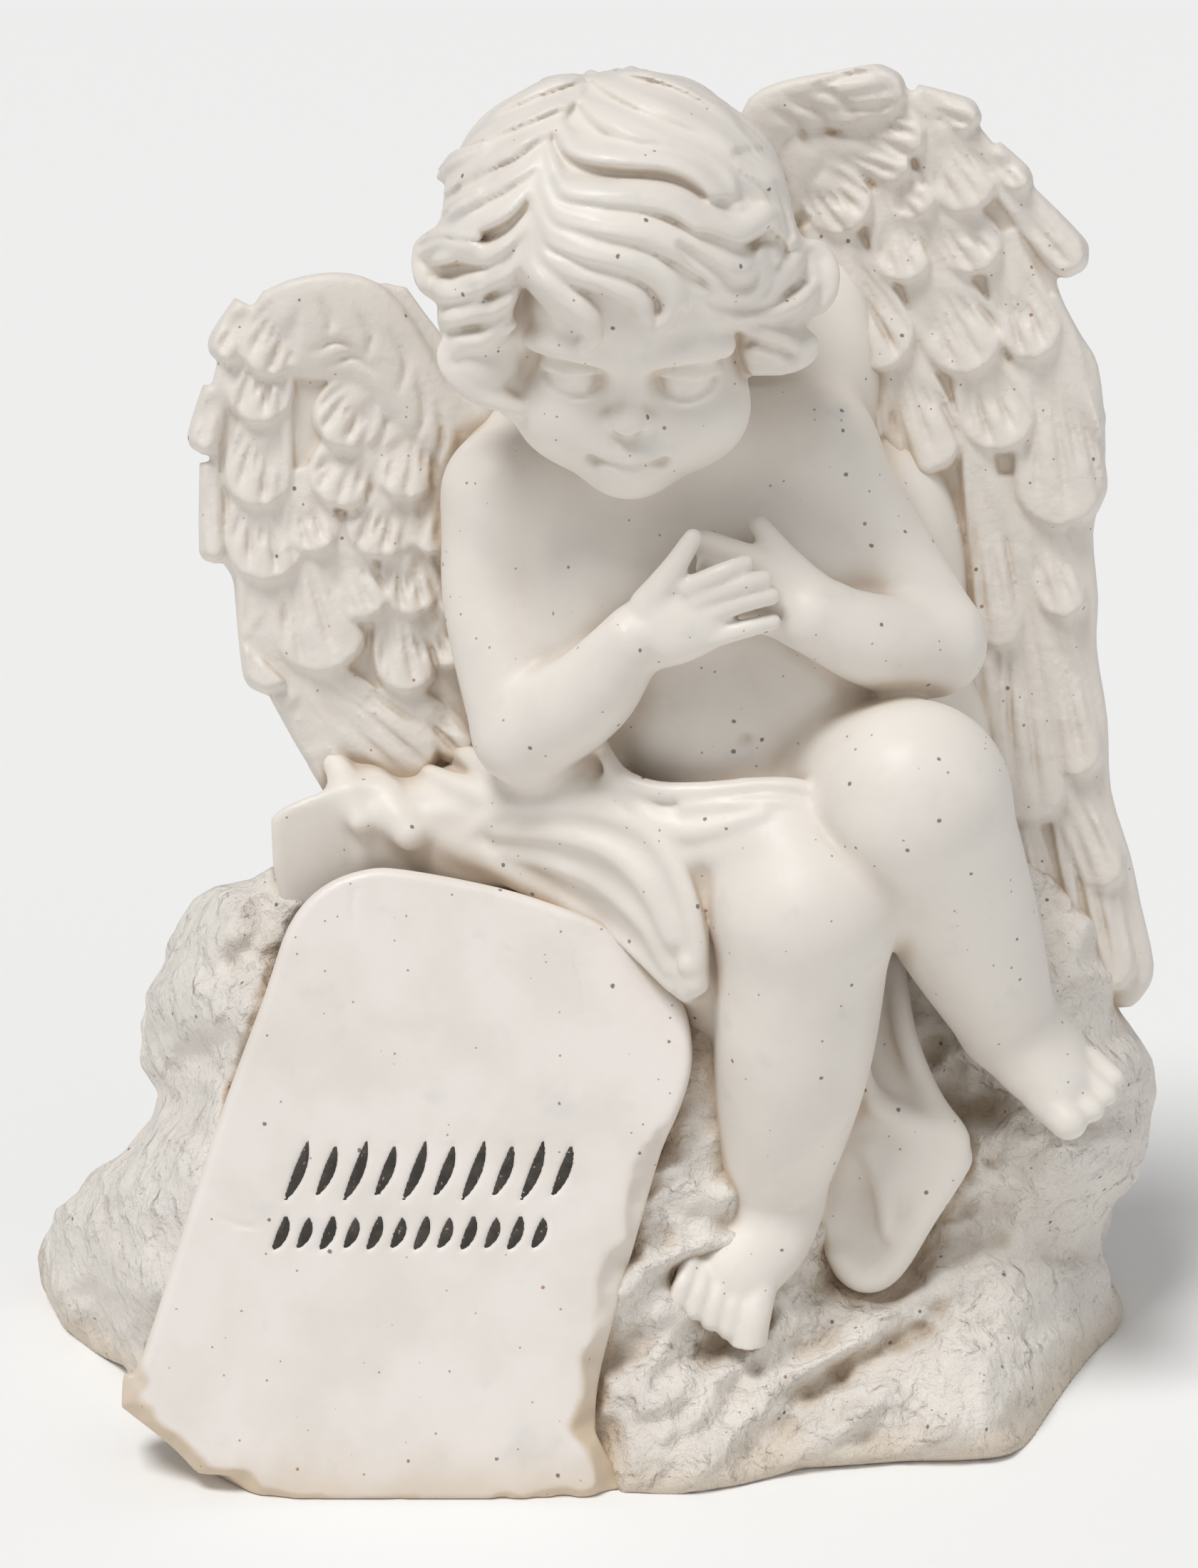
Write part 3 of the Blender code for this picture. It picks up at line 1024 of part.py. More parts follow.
def build_hair(clay):
    clay.add(hair_form(), 0.6)
    # plain locks down the back of the head
    for i in range(13):
        turn = math.radians(-108 + 18 * i)
        path = []
        for tilt in (80, 52, 24, -4, -30, -46):
            lean, swing = math.radians(tilt), turn + 0.10 * math.sin(tilt / 11 + i * 2)
            around = HEAD_RIGHT * math.sin(swing) - HEAD_FORWARD * math.cos(swing)
            way = around * math.cos(lean) + HEAD_UP * math.sin(lean)
            spread = [way.dot(axis) * r for axis, r in zip(HEAD_AXES, HAIR_RADII - 2.4)]
            path.append(HAIR_MIDDLE + sum((a * d for a, d in zip(HEAD_AXES, spread)), Vector()))
        sizes = [(3.6, 3.1)[i % 2] * s for s in (0.4, 0.95, 1.05, 1.0, 0.85, 0.45)]
        clay.add(rod(path, sizes, flat=0.8, facing=away_from_head, ridges=(3, RIDGE_DEPTH)), 0.9)
    clay.add(ball(on_hair(28.6, 171.4, -1), (3.0, 3.4, 2.6), HEAD_AXES), 1.5)
    clay.add(ball(on_hair(-20.6, 173.6, -1), (3.0, 3.4, 3.0), HEAD_AXES), 1.5)
    clay.add(ball(on_hair(-16.2, 159.6, 0), (4.2, 4.4, 4.0), HEAD_AXES), 2)
    clay.add(ball(seen(-11.6, 163.5, 26.5), (3.4, 7.5, 4.5), HEAD_AXES), 2)
    clay.add(ball(seen(-11.2, 165.8, 24.2), (2.8, 5.2, 4.2), HEAD_AXES), 1.5)
    clay.add(ball(seen(-11.9, 156.2, 26.4), (3.0, 3.8, 4), HEAD_AXES), 1.5)
    clay.add(ball(seen(-13.6, 179.8, 22.2), (3.4, 3.0, 3.6), HEAD_AXES), 1.5)
    for places, radius in CURLS:
        path = [on_hair(*place) for place in places]
        sizes = [radius * (0.55 + 0.5 * math.sin(math.pi * (0.12 + 0.76 * i / (len(path) - 1)))) for i in range(len(path))]
        clay.add(rod(path, sizes, flat=0.85, facing=away_from_head, ridges=(2, RIDGE_DEPTH)), 1.0)


# The wings


def left_wing_depth(across, up):
    return 50 + 0.010 * (up - 140) + 0.012 * (across + 38) ** 2 * 0.3


def right_wing_depth(across, up):
    return 55 + 0.0012 * (across - 50) ** 2 - 0.02 * (up - 140)


LEFT_WING_OUTLINE = [
    (-12, 150), (-20, 156), (-22, 159), (-25, 164), (-28.5, 169), (-33, 172), (-39, 172.5),
    (-46, 170.5),
    (-50, 166), (-53, 161.5), (-55, 153), (-54.5, 147), (-54.5, 135), (-51.5, 130), (-50, 123),
    (-48, 116),
    (-43, 113), (-39, 107.5), (-36.3, 101), (-34, 94), (-28, 91), (-24, 98), (-14, 104), (-12, 120),
]
RIGHT_WING_OUTLINE = [
    (19, 190), (21, 197), (28, 200), (39, 201), (43, 198.5), (48, 196), (53, 193.5), (59, 185),
    (62.5, 178.5), (64.5, 170), (67.5, 164), (70, 159.5), (71, 150), (70.7, 143), (69.3, 136),
    (70, 127),
    (69.8, 120), (71.3, 110), (71.8, 100), (74.5, 91), (76, 84), (77.8, 75.5), (76.5, 71.5), (73, 69.5),
    (64, 74), (54, 86), (46, 104), (40, 130), (22, 150), (18, 170),
]

LEFT_FEATHERS = [
    # root and tip as seen, half width; from the lowest row up, since each row lies on the next
    ((-44.0, 114.5), (-36.0, 102.5), 3.2),
    ((-39.0, 104.5), (-30.5, 92.5), 2.6),
    ((-36.5, 108.0), (-21.5, 95.0), 3.4),
    ((-48.5, 130.5), (-45.9, 113.6), 3.4),
    ((-26.0, 112.5), (-18.0, 104.5), 3.2),
    ((-41.5, 117.5), (-23.6, 102.4), 4.7),
    ((-23.0, 124.5), (-20.2, 116.8), 2.8),
    ((-28.3, 124.8), (-26.0, 113.4), 4.7),
    ((-21.0, 133.0), (-19.8, 123.8), 2.8),
    ((-41.5, 132.0), (-37.4, 116.5), 7.0),
    ((-27.3, 134.0), (-25.4, 124.2), 4.5),
    ((-36.4, 134.0), (-31.6, 123.8), 4.0),
    ((-47.2, 141.5), (-46.4, 129.0), 5.7),
    ((-54.4, 146.0), (-53.9, 131.8), 2.0),
    ((-41.5, 141.5), (-38.9, 133.0), 3.9),
    ((-22.2, 143.5), (-23.2, 132.6), 4.2),
    ((-29.4, 142.0), (-31.7, 132.3), 5.2),
    ((-26.0, 151.0), (-27.6, 140.4), 4.9),
    ((-46.7, 152.0), (-48.5, 139.4), 4.9),
    ((-34.2, 148.5), (-37.4, 139.5), 5.2),
    ((-33.0, 156.5), (-37.4, 148.0), 5.2),
    ((-53.6, 156.5), (-55.7, 147.2), 2.4),
    ((-46.3, 162.0), (-48.6, 151.2), 4.9),
    ((-49.0, 168.0), (-53.2, 160.0), 2.8),
    ((-43.4, 168.6), (-47.8, 158.1), 4.6),
]
RIGHT_FEATHERS = [
    ((64.5, 108.0), (72.0, 71.4), 4.2),
    ((56.0, 104.0), (64.0, 72.0), 4.2),
    ((50.0, 126.0), (54.5, 96.0), 3.6),
    ((64.0, 106.0), (71.8, 86.0), 3.6),
    ((54.5, 122.0), (57.5, 100.0), 3.4),
    ((62.6, 127.0), (67.6, 101.5), 4.0),
    ((57.6, 131.0), (61.0, 94.8), 5.2),
    ((61.6, 138.0), (66.2, 123.8), 3.8),
    ((46.0, 136.0), (50.0, 116.0), 3.4),
    ((53.0, 147.4), (56.6, 119.4), 3.5),
    ((43.0, 145.5), (48.5, 133.0), 3.8),
    ((37.0, 159.0), (37.8, 148.4), 3.8),
    ((65.4, 163.0), (68.9, 149.0), 2.8),
    ((62.6, 160.5), (65.4, 136.7), 6.3),
    ((53.0, 160.0), (58.0, 147.5), 5.3),
    ((42.0, 160.0), (47.2, 144.2), 5.4),
    ((57.4, 173.0), (62.0, 160.2), 4.6),
    ((47.0, 171.0), (53.6, 158.6), 5.8),
    ((33.6, 174.3), (41.4, 159.0), 5.6),
    ((40.6, 180.7), (44.0, 171.0), 4.4),
    ((48.2, 181.3), (55.2, 173.0), 4.6),
    ((41.0, 186.0), (46.6, 180.8), 3.6),
    ((29.8, 186.4), (37.0, 178.9), 4.9),
    ((57.5, 184.3), (67.6, 172.8), 3.2),
    ((54.8, 189.8), (60.2, 184.0), 2.2),
    ((46.7, 192.2), (53.6, 181.2), 4.8),
    ((33.5, 190.0), (43.8, 186.6), 2.9),
    ((44.0, 197.0), (53.4, 193.6), 2.6),
    ((35.4, 194.6), (45.6, 190.2), 3.9),
    ((26.0, 195.8), (43.0, 198.2), 4.0),
]
FEATHER_LIFT = 3.3
BACK_FEATHER_LIFT = 1.6
FEATHER_EDGE = 0.9
WING_THICKNESS = 9.0


def wing_form(carving, depth):
    """The wing between its carved front and a plainer back."""
    heights = (carving.height - GROOVE_DEPTH * carving.lines).astype(np.float32)
    rim = carving.outline.astype(np.float32)
    inner = rim < 1.5
    low_across, high_across = carving.across[inner].min(), carving.across[inner].max()
    low_up, high_up = carving.up[inner].min(), carving.up[inner].max()
    corners = [(a, u) for a in (low_across, high_across) for u in (low_up, high_up)]
    places = [seen(a, u, depth(a, u) + d) for a, u in corners for d in (-8, WING_THICKNESS + 6)]
    places = np.array([tuple(p) for p in places])

    def distance(x, y, z):
        across, up = front_view(x, y, z)
        side = read_table(rim, across, up, FINE_STEP) + 1.0
        raised = read_table(heights, across, up, FINE_STEP)
        front = depth(across, up) - raised - y
        back = y - depth(across, up) - WING_THICKNESS - raised * (BACK_FEATHER_LIFT / FEATHER_LIFT)
        deep = np.maximum(front, back) * 0.8 + 1.0
        outer = np.sqrt(np.maximum(side, 0) ** 2 + np.maximum(deep, 0) ** 2)
        return outer + np.minimum(np.maximum(side, deep), 0) - 1.0

    return [(places.min(axis=0) - 1, places.max(axis=0) + 1, distance)]


def build_wing(clay, outline, depth, feathers, swells, scores):
    carving = Carving(Outline(outline, 3))
    for turn, (root, tip, half_width) in enumerate(feathers):
        carving.add_feather(root, tip, half_width * 1.06, turn)
    for swell in swells:
        carving.add_swell(*swell)
    for path, width, deep in scores:
        carving.score(path, width, deep)
    clay.add(wing_form(carving, depth), 1.5)


LEFT_SWELLS = [
    # path, radius, height: the wing's arm and what grows on it
    ([(-12, 143), (-19, 152), (-26, 160), (-33, 165), (-41, 166)], 8.5, 3.0),
]
LEFT_SCORES = [
    # path, width, depth
    ([(-40, 161.6), (-36.5, 163), (-33.3, 161)], 0.5, 1.0),
    ([(-38, 159.6), (-34.5, 160.8), (-31.5, 158.6)], 0.5, 1.0),
    ([(-33.8, 167), (-32, 163.6), (-32.6, 160.6)], 0.5, 0.8),
    ([(-39, 168.5), (-37.6, 166), (-38, 163.8)], 0.5, 0.8),
    ([(-29, 164), (-27, 160), (-28, 156)], 0.5, 0.8),
    ([(-25.5, 158), (-24.5, 153), (-26, 149)], 0.55, 1.0),
    ([(-22.5, 154), (-22, 149), (-23.5, 145.5)], 0.55, 1.0),
    ([(-19.5, 150), (-19.5, 146), (-21, 143)], 0.55, 0.9),
]
RIGHT_SWELLS = [
    ([(20, 189), (23, 194.5), (29, 197.6), (36, 197.8)], 5.4, 4.0),
    ([(19.5, 150), (20, 165), (22, 180), (27.5, 189)], 5.0, 2.4),
]
RIGHT_SCORES = [
    ([(24.5, 195), (27.5, 193.4), (29.5, 190)], 0.6, 1.0),
    ([(26.5, 197), (30, 195.4), (32.6, 192)], 0.6, 1.0),
    ([(30, 198.6), (33.5, 197), (36, 194.4)], 0.55, 0.9),
    ([(28, 200), (33, 200.6), (38, 200.2)], 0.5, 0.7),
    ([(23, 190), (26, 185), (26.5, 180)], 0.6, 1.1),
    ([(27, 182), (28.5, 176), (28, 170)], 0.6, 1.1),
    ([(30, 171), (32, 164), (33, 157)], 0.6, 1.0),
    ([(27, 168), (29.5, 160), (33, 152)], 0.6, 1.0),
]


WEB_OUTLINE = [
    # the unfinished stone left between the wing and the shoulder
    (-30, 171), (-27, 170.5), (-24.5, 167), (-21, 162.5), (-17.5, 158.5), (-13, 153), (-8, 148),
    (-8, 136),
    (-24, 136), (-33, 150),
]


def web_front(across, up):
    return 50 - 0.12 * (across + 20)


def build_stone(clay):
    build_rock(clay)
    build_ridge(clay)
    build_tablet(clay)
    bevel_foot(clay)


def build_wings(clay):
    clay.add(plate(Outline(WEB_OUTLINE), web_front, 10, 0.8), 1)
    build_wing(clay, LEFT_WING_OUTLINE, left_wing_depth, LEFT_FEATHERS, LEFT_SWELLS, LEFT_SCORES)
    build_wing(clay, RIGHT_WING_OUTLINE, right_wing_depth, RIGHT_FEATHERS, RIGHT_SWELLS, RIGHT_SCORES)


def build_body(clay):
    build_torso(clay)
    build_legs(clay)
    build_cloth(clay)
    build_arms(clay)
    build_hands(clay)
    build_feet(clay)


def build_head(clay):
    build_face(clay)
    build_hair(clay)


def build_figurine(cell):
    clay = Clay(CLAY_LOW, CLAY_HIGH, cell)
    build_stone(clay)
    build_wings(clay)
    build_body(clay)
    build_head(clay)
    return clay


# The surface


def surface(clay):
    """Vertices and faces of the surface: one vertex to each cell that it passes through."""
    field = clay.field
    inside = field < 0
    count = inside.shape
    corner_sum = np.zeros(tuple(n - 1 for n in count), np.int8)
    for dx in (0, 1):
        for dy in (0, 1):
            for dz in (0, 1):
                corner_sum += inside[dx : count[0] - 1 + dx, dy : count[1] - 1 + dy,
                    dz : count[2] - 1 + dz]
    cells = np.argwhere((corner_sum > 0) & (corner_sum < 8))
    number = np.full(corner_sum.shape, -1, np.int64)
    number[tuple(cells.T)] = np.arange(len(cells))
    total = np.zeros((len(cells), 3))
    crossings = np.zeros(len(cells))
    for axis in range(3):
        others = [a for a in range(3) if a != axis]
        for i in (0, 1):
            for j in (0, 1):
                start = cells.copy()
                start[:, others[0]] += i
                start[:, others[1]] += j
                end = start.copy()
                end[:, axis] += 1
                a, b = field[tuple(start.T)], field[tuple(end.T)]
                crossed = (a < 0) != (b < 0)
                share = np.where(crossed, a / np.where(crossed, a - b, 1), 0)
                place = start.astype(float)
                place[:, axis] += share
                total += place * crossed[:, None]
                crossings += crossed
    vertices = clay.low + clay.cell * total / crossings[:, None]
    faces = []
    for axis in range(3):
        first, second = (axis + 1) % 3, (axis + 2) % 3
        lower = [slice(None)] * 3
        upper = [slice(None)] * 3
        lower[axis], upper[axis] = slice(0, -1), slice(1, None)
        leaving = inside[tuple(lower)] & ~inside[tuple(upper)]
        entering = ~inside[tuple(lower)] & inside[tuple(upper)]
        for crossed, turned in ((leaving, False), (entering, True)):
            edges = np.argwhere(crossed)
            edges = edges[(edges[:, first] > 0) & (edges[:, second] > 0)]
            ring = []
            for i, j in ((1, 1), (0, 1), (0, 0), (1, 0)):
                around = edges.copy()
                around[:, first] -= i
                around[:, second] -= j
                ring.append(number[tuple(around.T)])
            ring = np.stack(ring if not turned else ring[::-1], axis=1)
            faces.append(ring)
    return vertices, np.concatenate(faces)


def mesh_from(name, vertices, faces):
    mesh = bpy.data.meshes.new(name)
    mesh.vertices.add(len(vertices))
    mesh.vertices.foreach_set("co", vertices.astype(np.float32).ravel())
    mesh.loops.add(faces.size)
    mesh.loops.foreach_set("vertex_index", faces.astype(np.int32).ravel())
    mesh.polygons.add(len(faces))
    mesh.polygons.foreach_set("loop_start", np.arange(0, faces.size, faces.shape[1], dtype=np.int32))
    mesh.update(calc_edges=True)
    mesh.validate()
    return mesh


def largest_piece(mesh):
    """The mesh's largest connected piece, with specks and sealed hollows left out."""
    form = bmesh.new()
    form.from_mesh(mesh)
    left = set(form.verts)
    pieces = []
    while left:
        seed = left.pop()
        piece = [seed]
        waiting = [seed]
        while waiting:
            for edge in waiting.pop().link_edges:
                for vertex in edge.verts:
                    if vertex in left:
                        left.discard(vertex)
                        piece.append(vertex)
                        waiting.append(vertex)
        pieces.append(piece)
    pieces.sort(key=len)
    spare = [vertex for piece in pieces[:-1] for vertex in piece]
    bmesh.ops.delete(form, geom=spare, context="VERTS")
    form.to_mesh(mesh)
    form.free()


def evaluated(obj):
    graph = bpy.context.evaluated_depsgraph_get()
    return bpy.data.meshes.new_from_object(obj.evaluated_get(graph))


FINE_TRIANGLES = 26000
FINE_PLACES = [
    # middle and reach of what is carved finest: the face, the hands, the toes
    (on_head(0, -12, 18), 14),
    (seen(16, 127, 21), 11),
    (seen(15, 25, 16), 6.5),
]


def coarser(obj, triangles, group=""):
    """The object's mesh with about that many triangles, taken from the vertices in the group."""
    obj.data.calc_loop_triangles()
    facets = obj.modifiers.new("facets", "DECIMATE")
    facets.ratio = triangles / len(obj.data.loop_triangles)
    facets.vertex_group = group
    mesh = evaluated(obj)
    obj.modifiers.clear()
    return mesh


def cut_flat_foot(mesh):
    """The mesh cut off level at z = 0 and closed there."""
    form = bmesh.new()
    form.from_mesh(mesh)
    everything = form.verts[:] + form.edges[:] + form.faces[:]
    bmesh.ops.bisect_plane(
        form, geom=everything, plane_co=(0, 0, 0), plane_no=(0, 0, -1), clear_outer=True
    )
    rim = [edge for edge in form.edges if edge.is_boundary]
    for edge in rim:
        for vertex in edge.verts:
            vertex.co.z = 0
    bmesh.ops.triangle_fill(form, edges=rim, use_beauty=True, normal=(0, 0, -1))
    bmesh.ops.recalc_face_normals(form, faces=form.faces[:])
    bmesh.ops.triangulate(form, faces=form.faces[:])
    form.to_mesh(mesh)
    form.free()


def centre_on_foot(mesh):
    """The box around the mesh moved to stand on the origin."""
    places = np.empty(len(mesh.vertices) * 3, np.float32)
    mesh.vertices.foreach_get("co", places)
    places = places.reshape(-1, 3)
    middle = (places.min(axis=0) + places.max(axis=0)) / 2
    mesh.transform(Matrix.Translation((-middle[0], -middle[1], 0)))
    return (-middle[0], -middle[1], 0)


def cast_resin():
    material = bpy.data.materials.new("cast_resin")
    material.use_nodes = True
    shader = material.node_tree.nodes["Principled BSDF"]
    shader.inputs["Base Color"].default_value = (0.80, 0.76, 0.71, 1)
    shader.inputs["Roughness"].default_value = 0.6
    return material


def main():
    for obj in list(bpy.data.objects):
        bpy.data.objects.remove(obj)
    clay = build_figurine(CELL)
    heights = clay.window(CLAY_LOW, CLAY_HIGH)[1][2]
    clay.field = np.maximum(clay.field, -(heights + FOOT_CUT_DEPTH / SQUARE))
    clay.close_sides()
    vertices, faces = surface(clay)
    mesh = mesh_from("angel_figurine", vertices * SQUARE, faces)
    largest_piece(mesh)
    figurine = bpy.data.objects.new("angel_figurine", mesh)
    bpy.context.collection.objects.link(figurine)
    skin = figurine.modifiers.new("skin", "REMESH")
    skin.mode = "VOXEL"
    skin.voxel_size = CELL * SQUARE * 0.8
    skin.use_smooth_shade = False
    mesh = evaluated(figurine)
    figurine.modifiers.clear()
    figurine.data = mesh
    mesh = coarser(figurine, FINE_TRIANGLES)
    figurine.data = mesh
    rest = figurine.vertex_groups.new(name="rest")
    places = np.empty(len(mesh.vertices) * 3, np.float32)
    mesh.vertices.foreach_get("co", places)
    places = places.reshape(-1, 3) / SQUARE
    near = np.zeros(len(places), bool)
    for middle, reach in FINE_PLACES:
        near |= np.linalg.norm(places - np.array(middle), axis=1) < reach
    rest.add([int(i) for i in np.flatnonzero(~near)], 1.0, "REPLACE")
    mesh = coarser(figurine, MOST_TRIANGLES, "rest")
    figurine.vertex_groups.clear()
    largest_piece(mesh)
    cut_flat_foot(mesh)
    centre_on_foot(mesh)
    mesh.name = "angel_figurine"
    figurine.data = mesh
    mesh.materials.clear()
    mesh.materials.append(cast_resin())
    figurine.name = "angel_figurine"


main()
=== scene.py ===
"""The looks of the memorial angel figurine: fine carving, cast resin, light and camera.

The forms are the solid's own, built again as a distance field on finer grids. The carving
goes deeper here: ridges along the feathers and the locks of hair, and the rock's small
crags. Each region has its own grid and its own mesh, and together they stand for the one
cast piece.

The front was squared up: an (across, up) pair is read on a grid of equal squares laid over
the front view, from the middle of the picture and from the foot, and `back` says how many
squares a point lies behind the front edge of the foot. Radii are in squares too.
"""

import math

import bpy
import numpy as np
from mathutils import Matrix, Vector


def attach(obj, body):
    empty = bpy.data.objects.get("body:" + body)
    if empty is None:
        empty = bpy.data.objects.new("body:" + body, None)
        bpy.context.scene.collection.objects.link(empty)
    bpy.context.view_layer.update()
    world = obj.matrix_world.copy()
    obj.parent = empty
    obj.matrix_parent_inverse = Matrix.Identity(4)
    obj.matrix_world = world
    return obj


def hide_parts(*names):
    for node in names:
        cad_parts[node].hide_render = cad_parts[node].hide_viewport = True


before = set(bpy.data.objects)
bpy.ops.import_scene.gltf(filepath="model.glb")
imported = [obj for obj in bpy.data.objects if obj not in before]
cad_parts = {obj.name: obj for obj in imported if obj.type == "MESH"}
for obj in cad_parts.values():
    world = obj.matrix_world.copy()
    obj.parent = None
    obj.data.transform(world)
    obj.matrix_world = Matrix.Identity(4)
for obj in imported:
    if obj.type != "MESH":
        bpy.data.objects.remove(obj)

FIGURINE_HEIGHT = 0.150
TABLET_THICKNESS = 0.0080
SQUARES_TALL = 190.65
SQUARE = FIGURINE_HEIGHT / SQUARES_TALL
# where the middle of the solid's box lies, in squares
BOX_MIDDLE = Vector((-1.290, 48.105, 0))

# Colours of the resin, as linear red, green, blue and alpha
SKIN_TINT = (0.84, 0.79, 0.725, 1)
WING_TINT = (0.82, 0.765, 0.70, 1)
ROCK_TINT = (0.86, 0.81, 0.745, 1)
TABLET_TINT = (0.86, 0.80, 0.755, 1)
CLOUD_COLOUR = (0.79, 0.74, 0.68, 1)
BLUE_CLOUD_COLOUR = (0.63, 0.63, 0.635, 1)
# brown laid into the hollows: partly grime, partly painted shade
GRIME_AND_SHADE_COLOUR = (0.47, 0.345, 0.22, 1)
FOOT_COLOUR = (0.62, 0.48, 0.32, 1)
FOOT_GRIME = 0.50
INK_COLOUR = (0.030, 0.026, 0.021, 1)
FADED_INK_COLOUR = (0.060, 0.050, 0.040, 1)
DUST_COLOUR = (0.42, 0.38, 0.34, 1)
FLOOR_COLOUR = (0.93, 0.93, 0.925, 1)
FLOOR_REACH = 3.0
SPECKS = [
    # spacing of their cells, radius as a share of it, share of cells left empty, colour
    (0.0031, 0.088, 0.62, (0.13, 0.12, 0.115, 1)), (0.0015, 0.1, 0.72, (0.33, 0.28, 0.23, 1)),
    (0.0044, 0.05, 0.45, (0.36, 0.17, 0.1, 1)),
]

# The strokes cut in the tablet, row by row: lower and upper end, first and last place, count
STROKE_ROWS = [(42.4, 51.0, -43.2, -6.0, 10), (35.4, 40.4, -45.6, -9.4, 12)]
STROKE_RADIUS = 0.80
STROKE_SLOPE = 0.38
INLAY_DEPTH = 0.12
CRACKS = [
    [(-7.6, 84.6), (-6.8, 82.4), (-5.3, 79.9), (-3.6, 77.2), (-3, 75.3), (-2.1, 71.6), (-2.1, 68.4)],
    [(-34.2, 86.4), (-34.6, 83.6), (-34.1, 80.2)], [(-53.6, 40.2), (-50.4, 39), (-47.2, 38.6)],
]

# Studio light: direction towards each lamp, strength, and how wide it spreads
KEY = ((-0.42, -0.50, 1.30), 1.95, 20)
FILL = ((0.85, -0.75, 0.60), 0.22, 60)
WORLD_STRENGTH = 0.34

# How the front is looked at: from a little above, at arm's length
EYE_ELEVATION = math.radians(18)
EYE_DISTANCE = 611.0
PICTURE_MIDDLE = Vector((0, 45, 88.8))
PICTURE_MIDDLE_UP = 100.85
PICTURE_HEIGHT = 219.9
SENSOR_HEIGHT = 36
SIGHT_RIGHT = Vector((1, 0, 0))
SIGHT_UP = Vector((0, math.sin(EYE_ELEVATION), math.cos(EYE_ELEVATION)))
SIGHT_AHEAD = Vector((0, math.cos(EYE_ELEVATION), -math.sin(EYE_ELEVATION)))
EYE = PICTURE_MIDDLE - SIGHT_AHEAD * EYE_DISTANCE

# The space that holds all the clay, and the distance that stands for far away
CLAY_LOW = (-86, -6, -4)
CLAY_HIGH = (86, 102, 200)
FAR = 40.0
SOFTENING = 0.22
WING_SOFTENING = 0.10
# How deep the fine carving goes
RIDGE_DEPTH = 0.85
GROOVE_DEPTH = 1.3
GROOVE_WIDTH = 0.55
STRAND_DEPTH = 0.5


# Places


def seen(across, up, back):
    """The point seen at (across, up) in the front view, `back` squares behind the front edge."""
    target = PICTURE_MIDDLE + SIGHT_RIGHT * across + SIGHT_UP * (up - PICTURE_MIDDLE_UP)
    ray = target - EYE
    return EYE + ray * ((back - EYE.y) / ray.y)


def unit(vector):
    return Vector(vector).normalized()


def smooth_path(points, steps):
    """Points on a Catmull-Rom curve through rows of numbers, `steps` to each span."""
    rows = np.array([tuple(p) for p in points], float)
    if len(rows) < 3:
        count = steps * (len(rows) - 1) + 1
        share = np.linspace(0, 1, count)[:, None]
        return rows[0] * (1 - share) + rows[-1] * share
    ends = np.vstack([2 * rows[0] - rows[1], rows, 2 * rows[-1] - rows[-2]])
    made = []
    for i in range(1, len(ends) - 2):
        before, start, end, after = ends[i - 1 : i + 3]
        for t in np.arange(steps) / steps:
            made.append(
                0.5
                * (
                    2 * start
                    + (end - before) * t
                    + (2 * before - 5 * start + 4 * end - after) * t**2
                    + (3 * start - before - 3 * end + after) * t**3
                )
            )
    made.append(rows[-1])
    return np.array(made)


# Clay


def smooth_min(a, b, blend):
    """The nearer of two surfaces, with the angle between them filled over `blend`."""
    if blend <= 0:
        return np.minimum(a, b)
    share = np.clip(0.5 + 0.5 * (b - a) / blend, 0, 1)
    return b + (a - b) * share - blend * share * (1 - share)


def smooth_step(value):
    value = np.clip(value, 0, 1)
    return value * value * (3 - 2 * value)


def blur(field, share):
    """Moves each sample by `share` towards its neighbours, along each axis in turn."""
    for axis in range(3):
        mid, before, after = ([slice(None)] * 3 for _ in range(3))
        mid[axis], before[axis], after[axis] = slice(1, -1), slice(0, -2), slice(2, None)
        sides = (field[tuple(before)] + field[tuple(after)]) * (share / 2)
        field[tuple(mid)] = field[tuple(mid)] * (1 - share) + sides


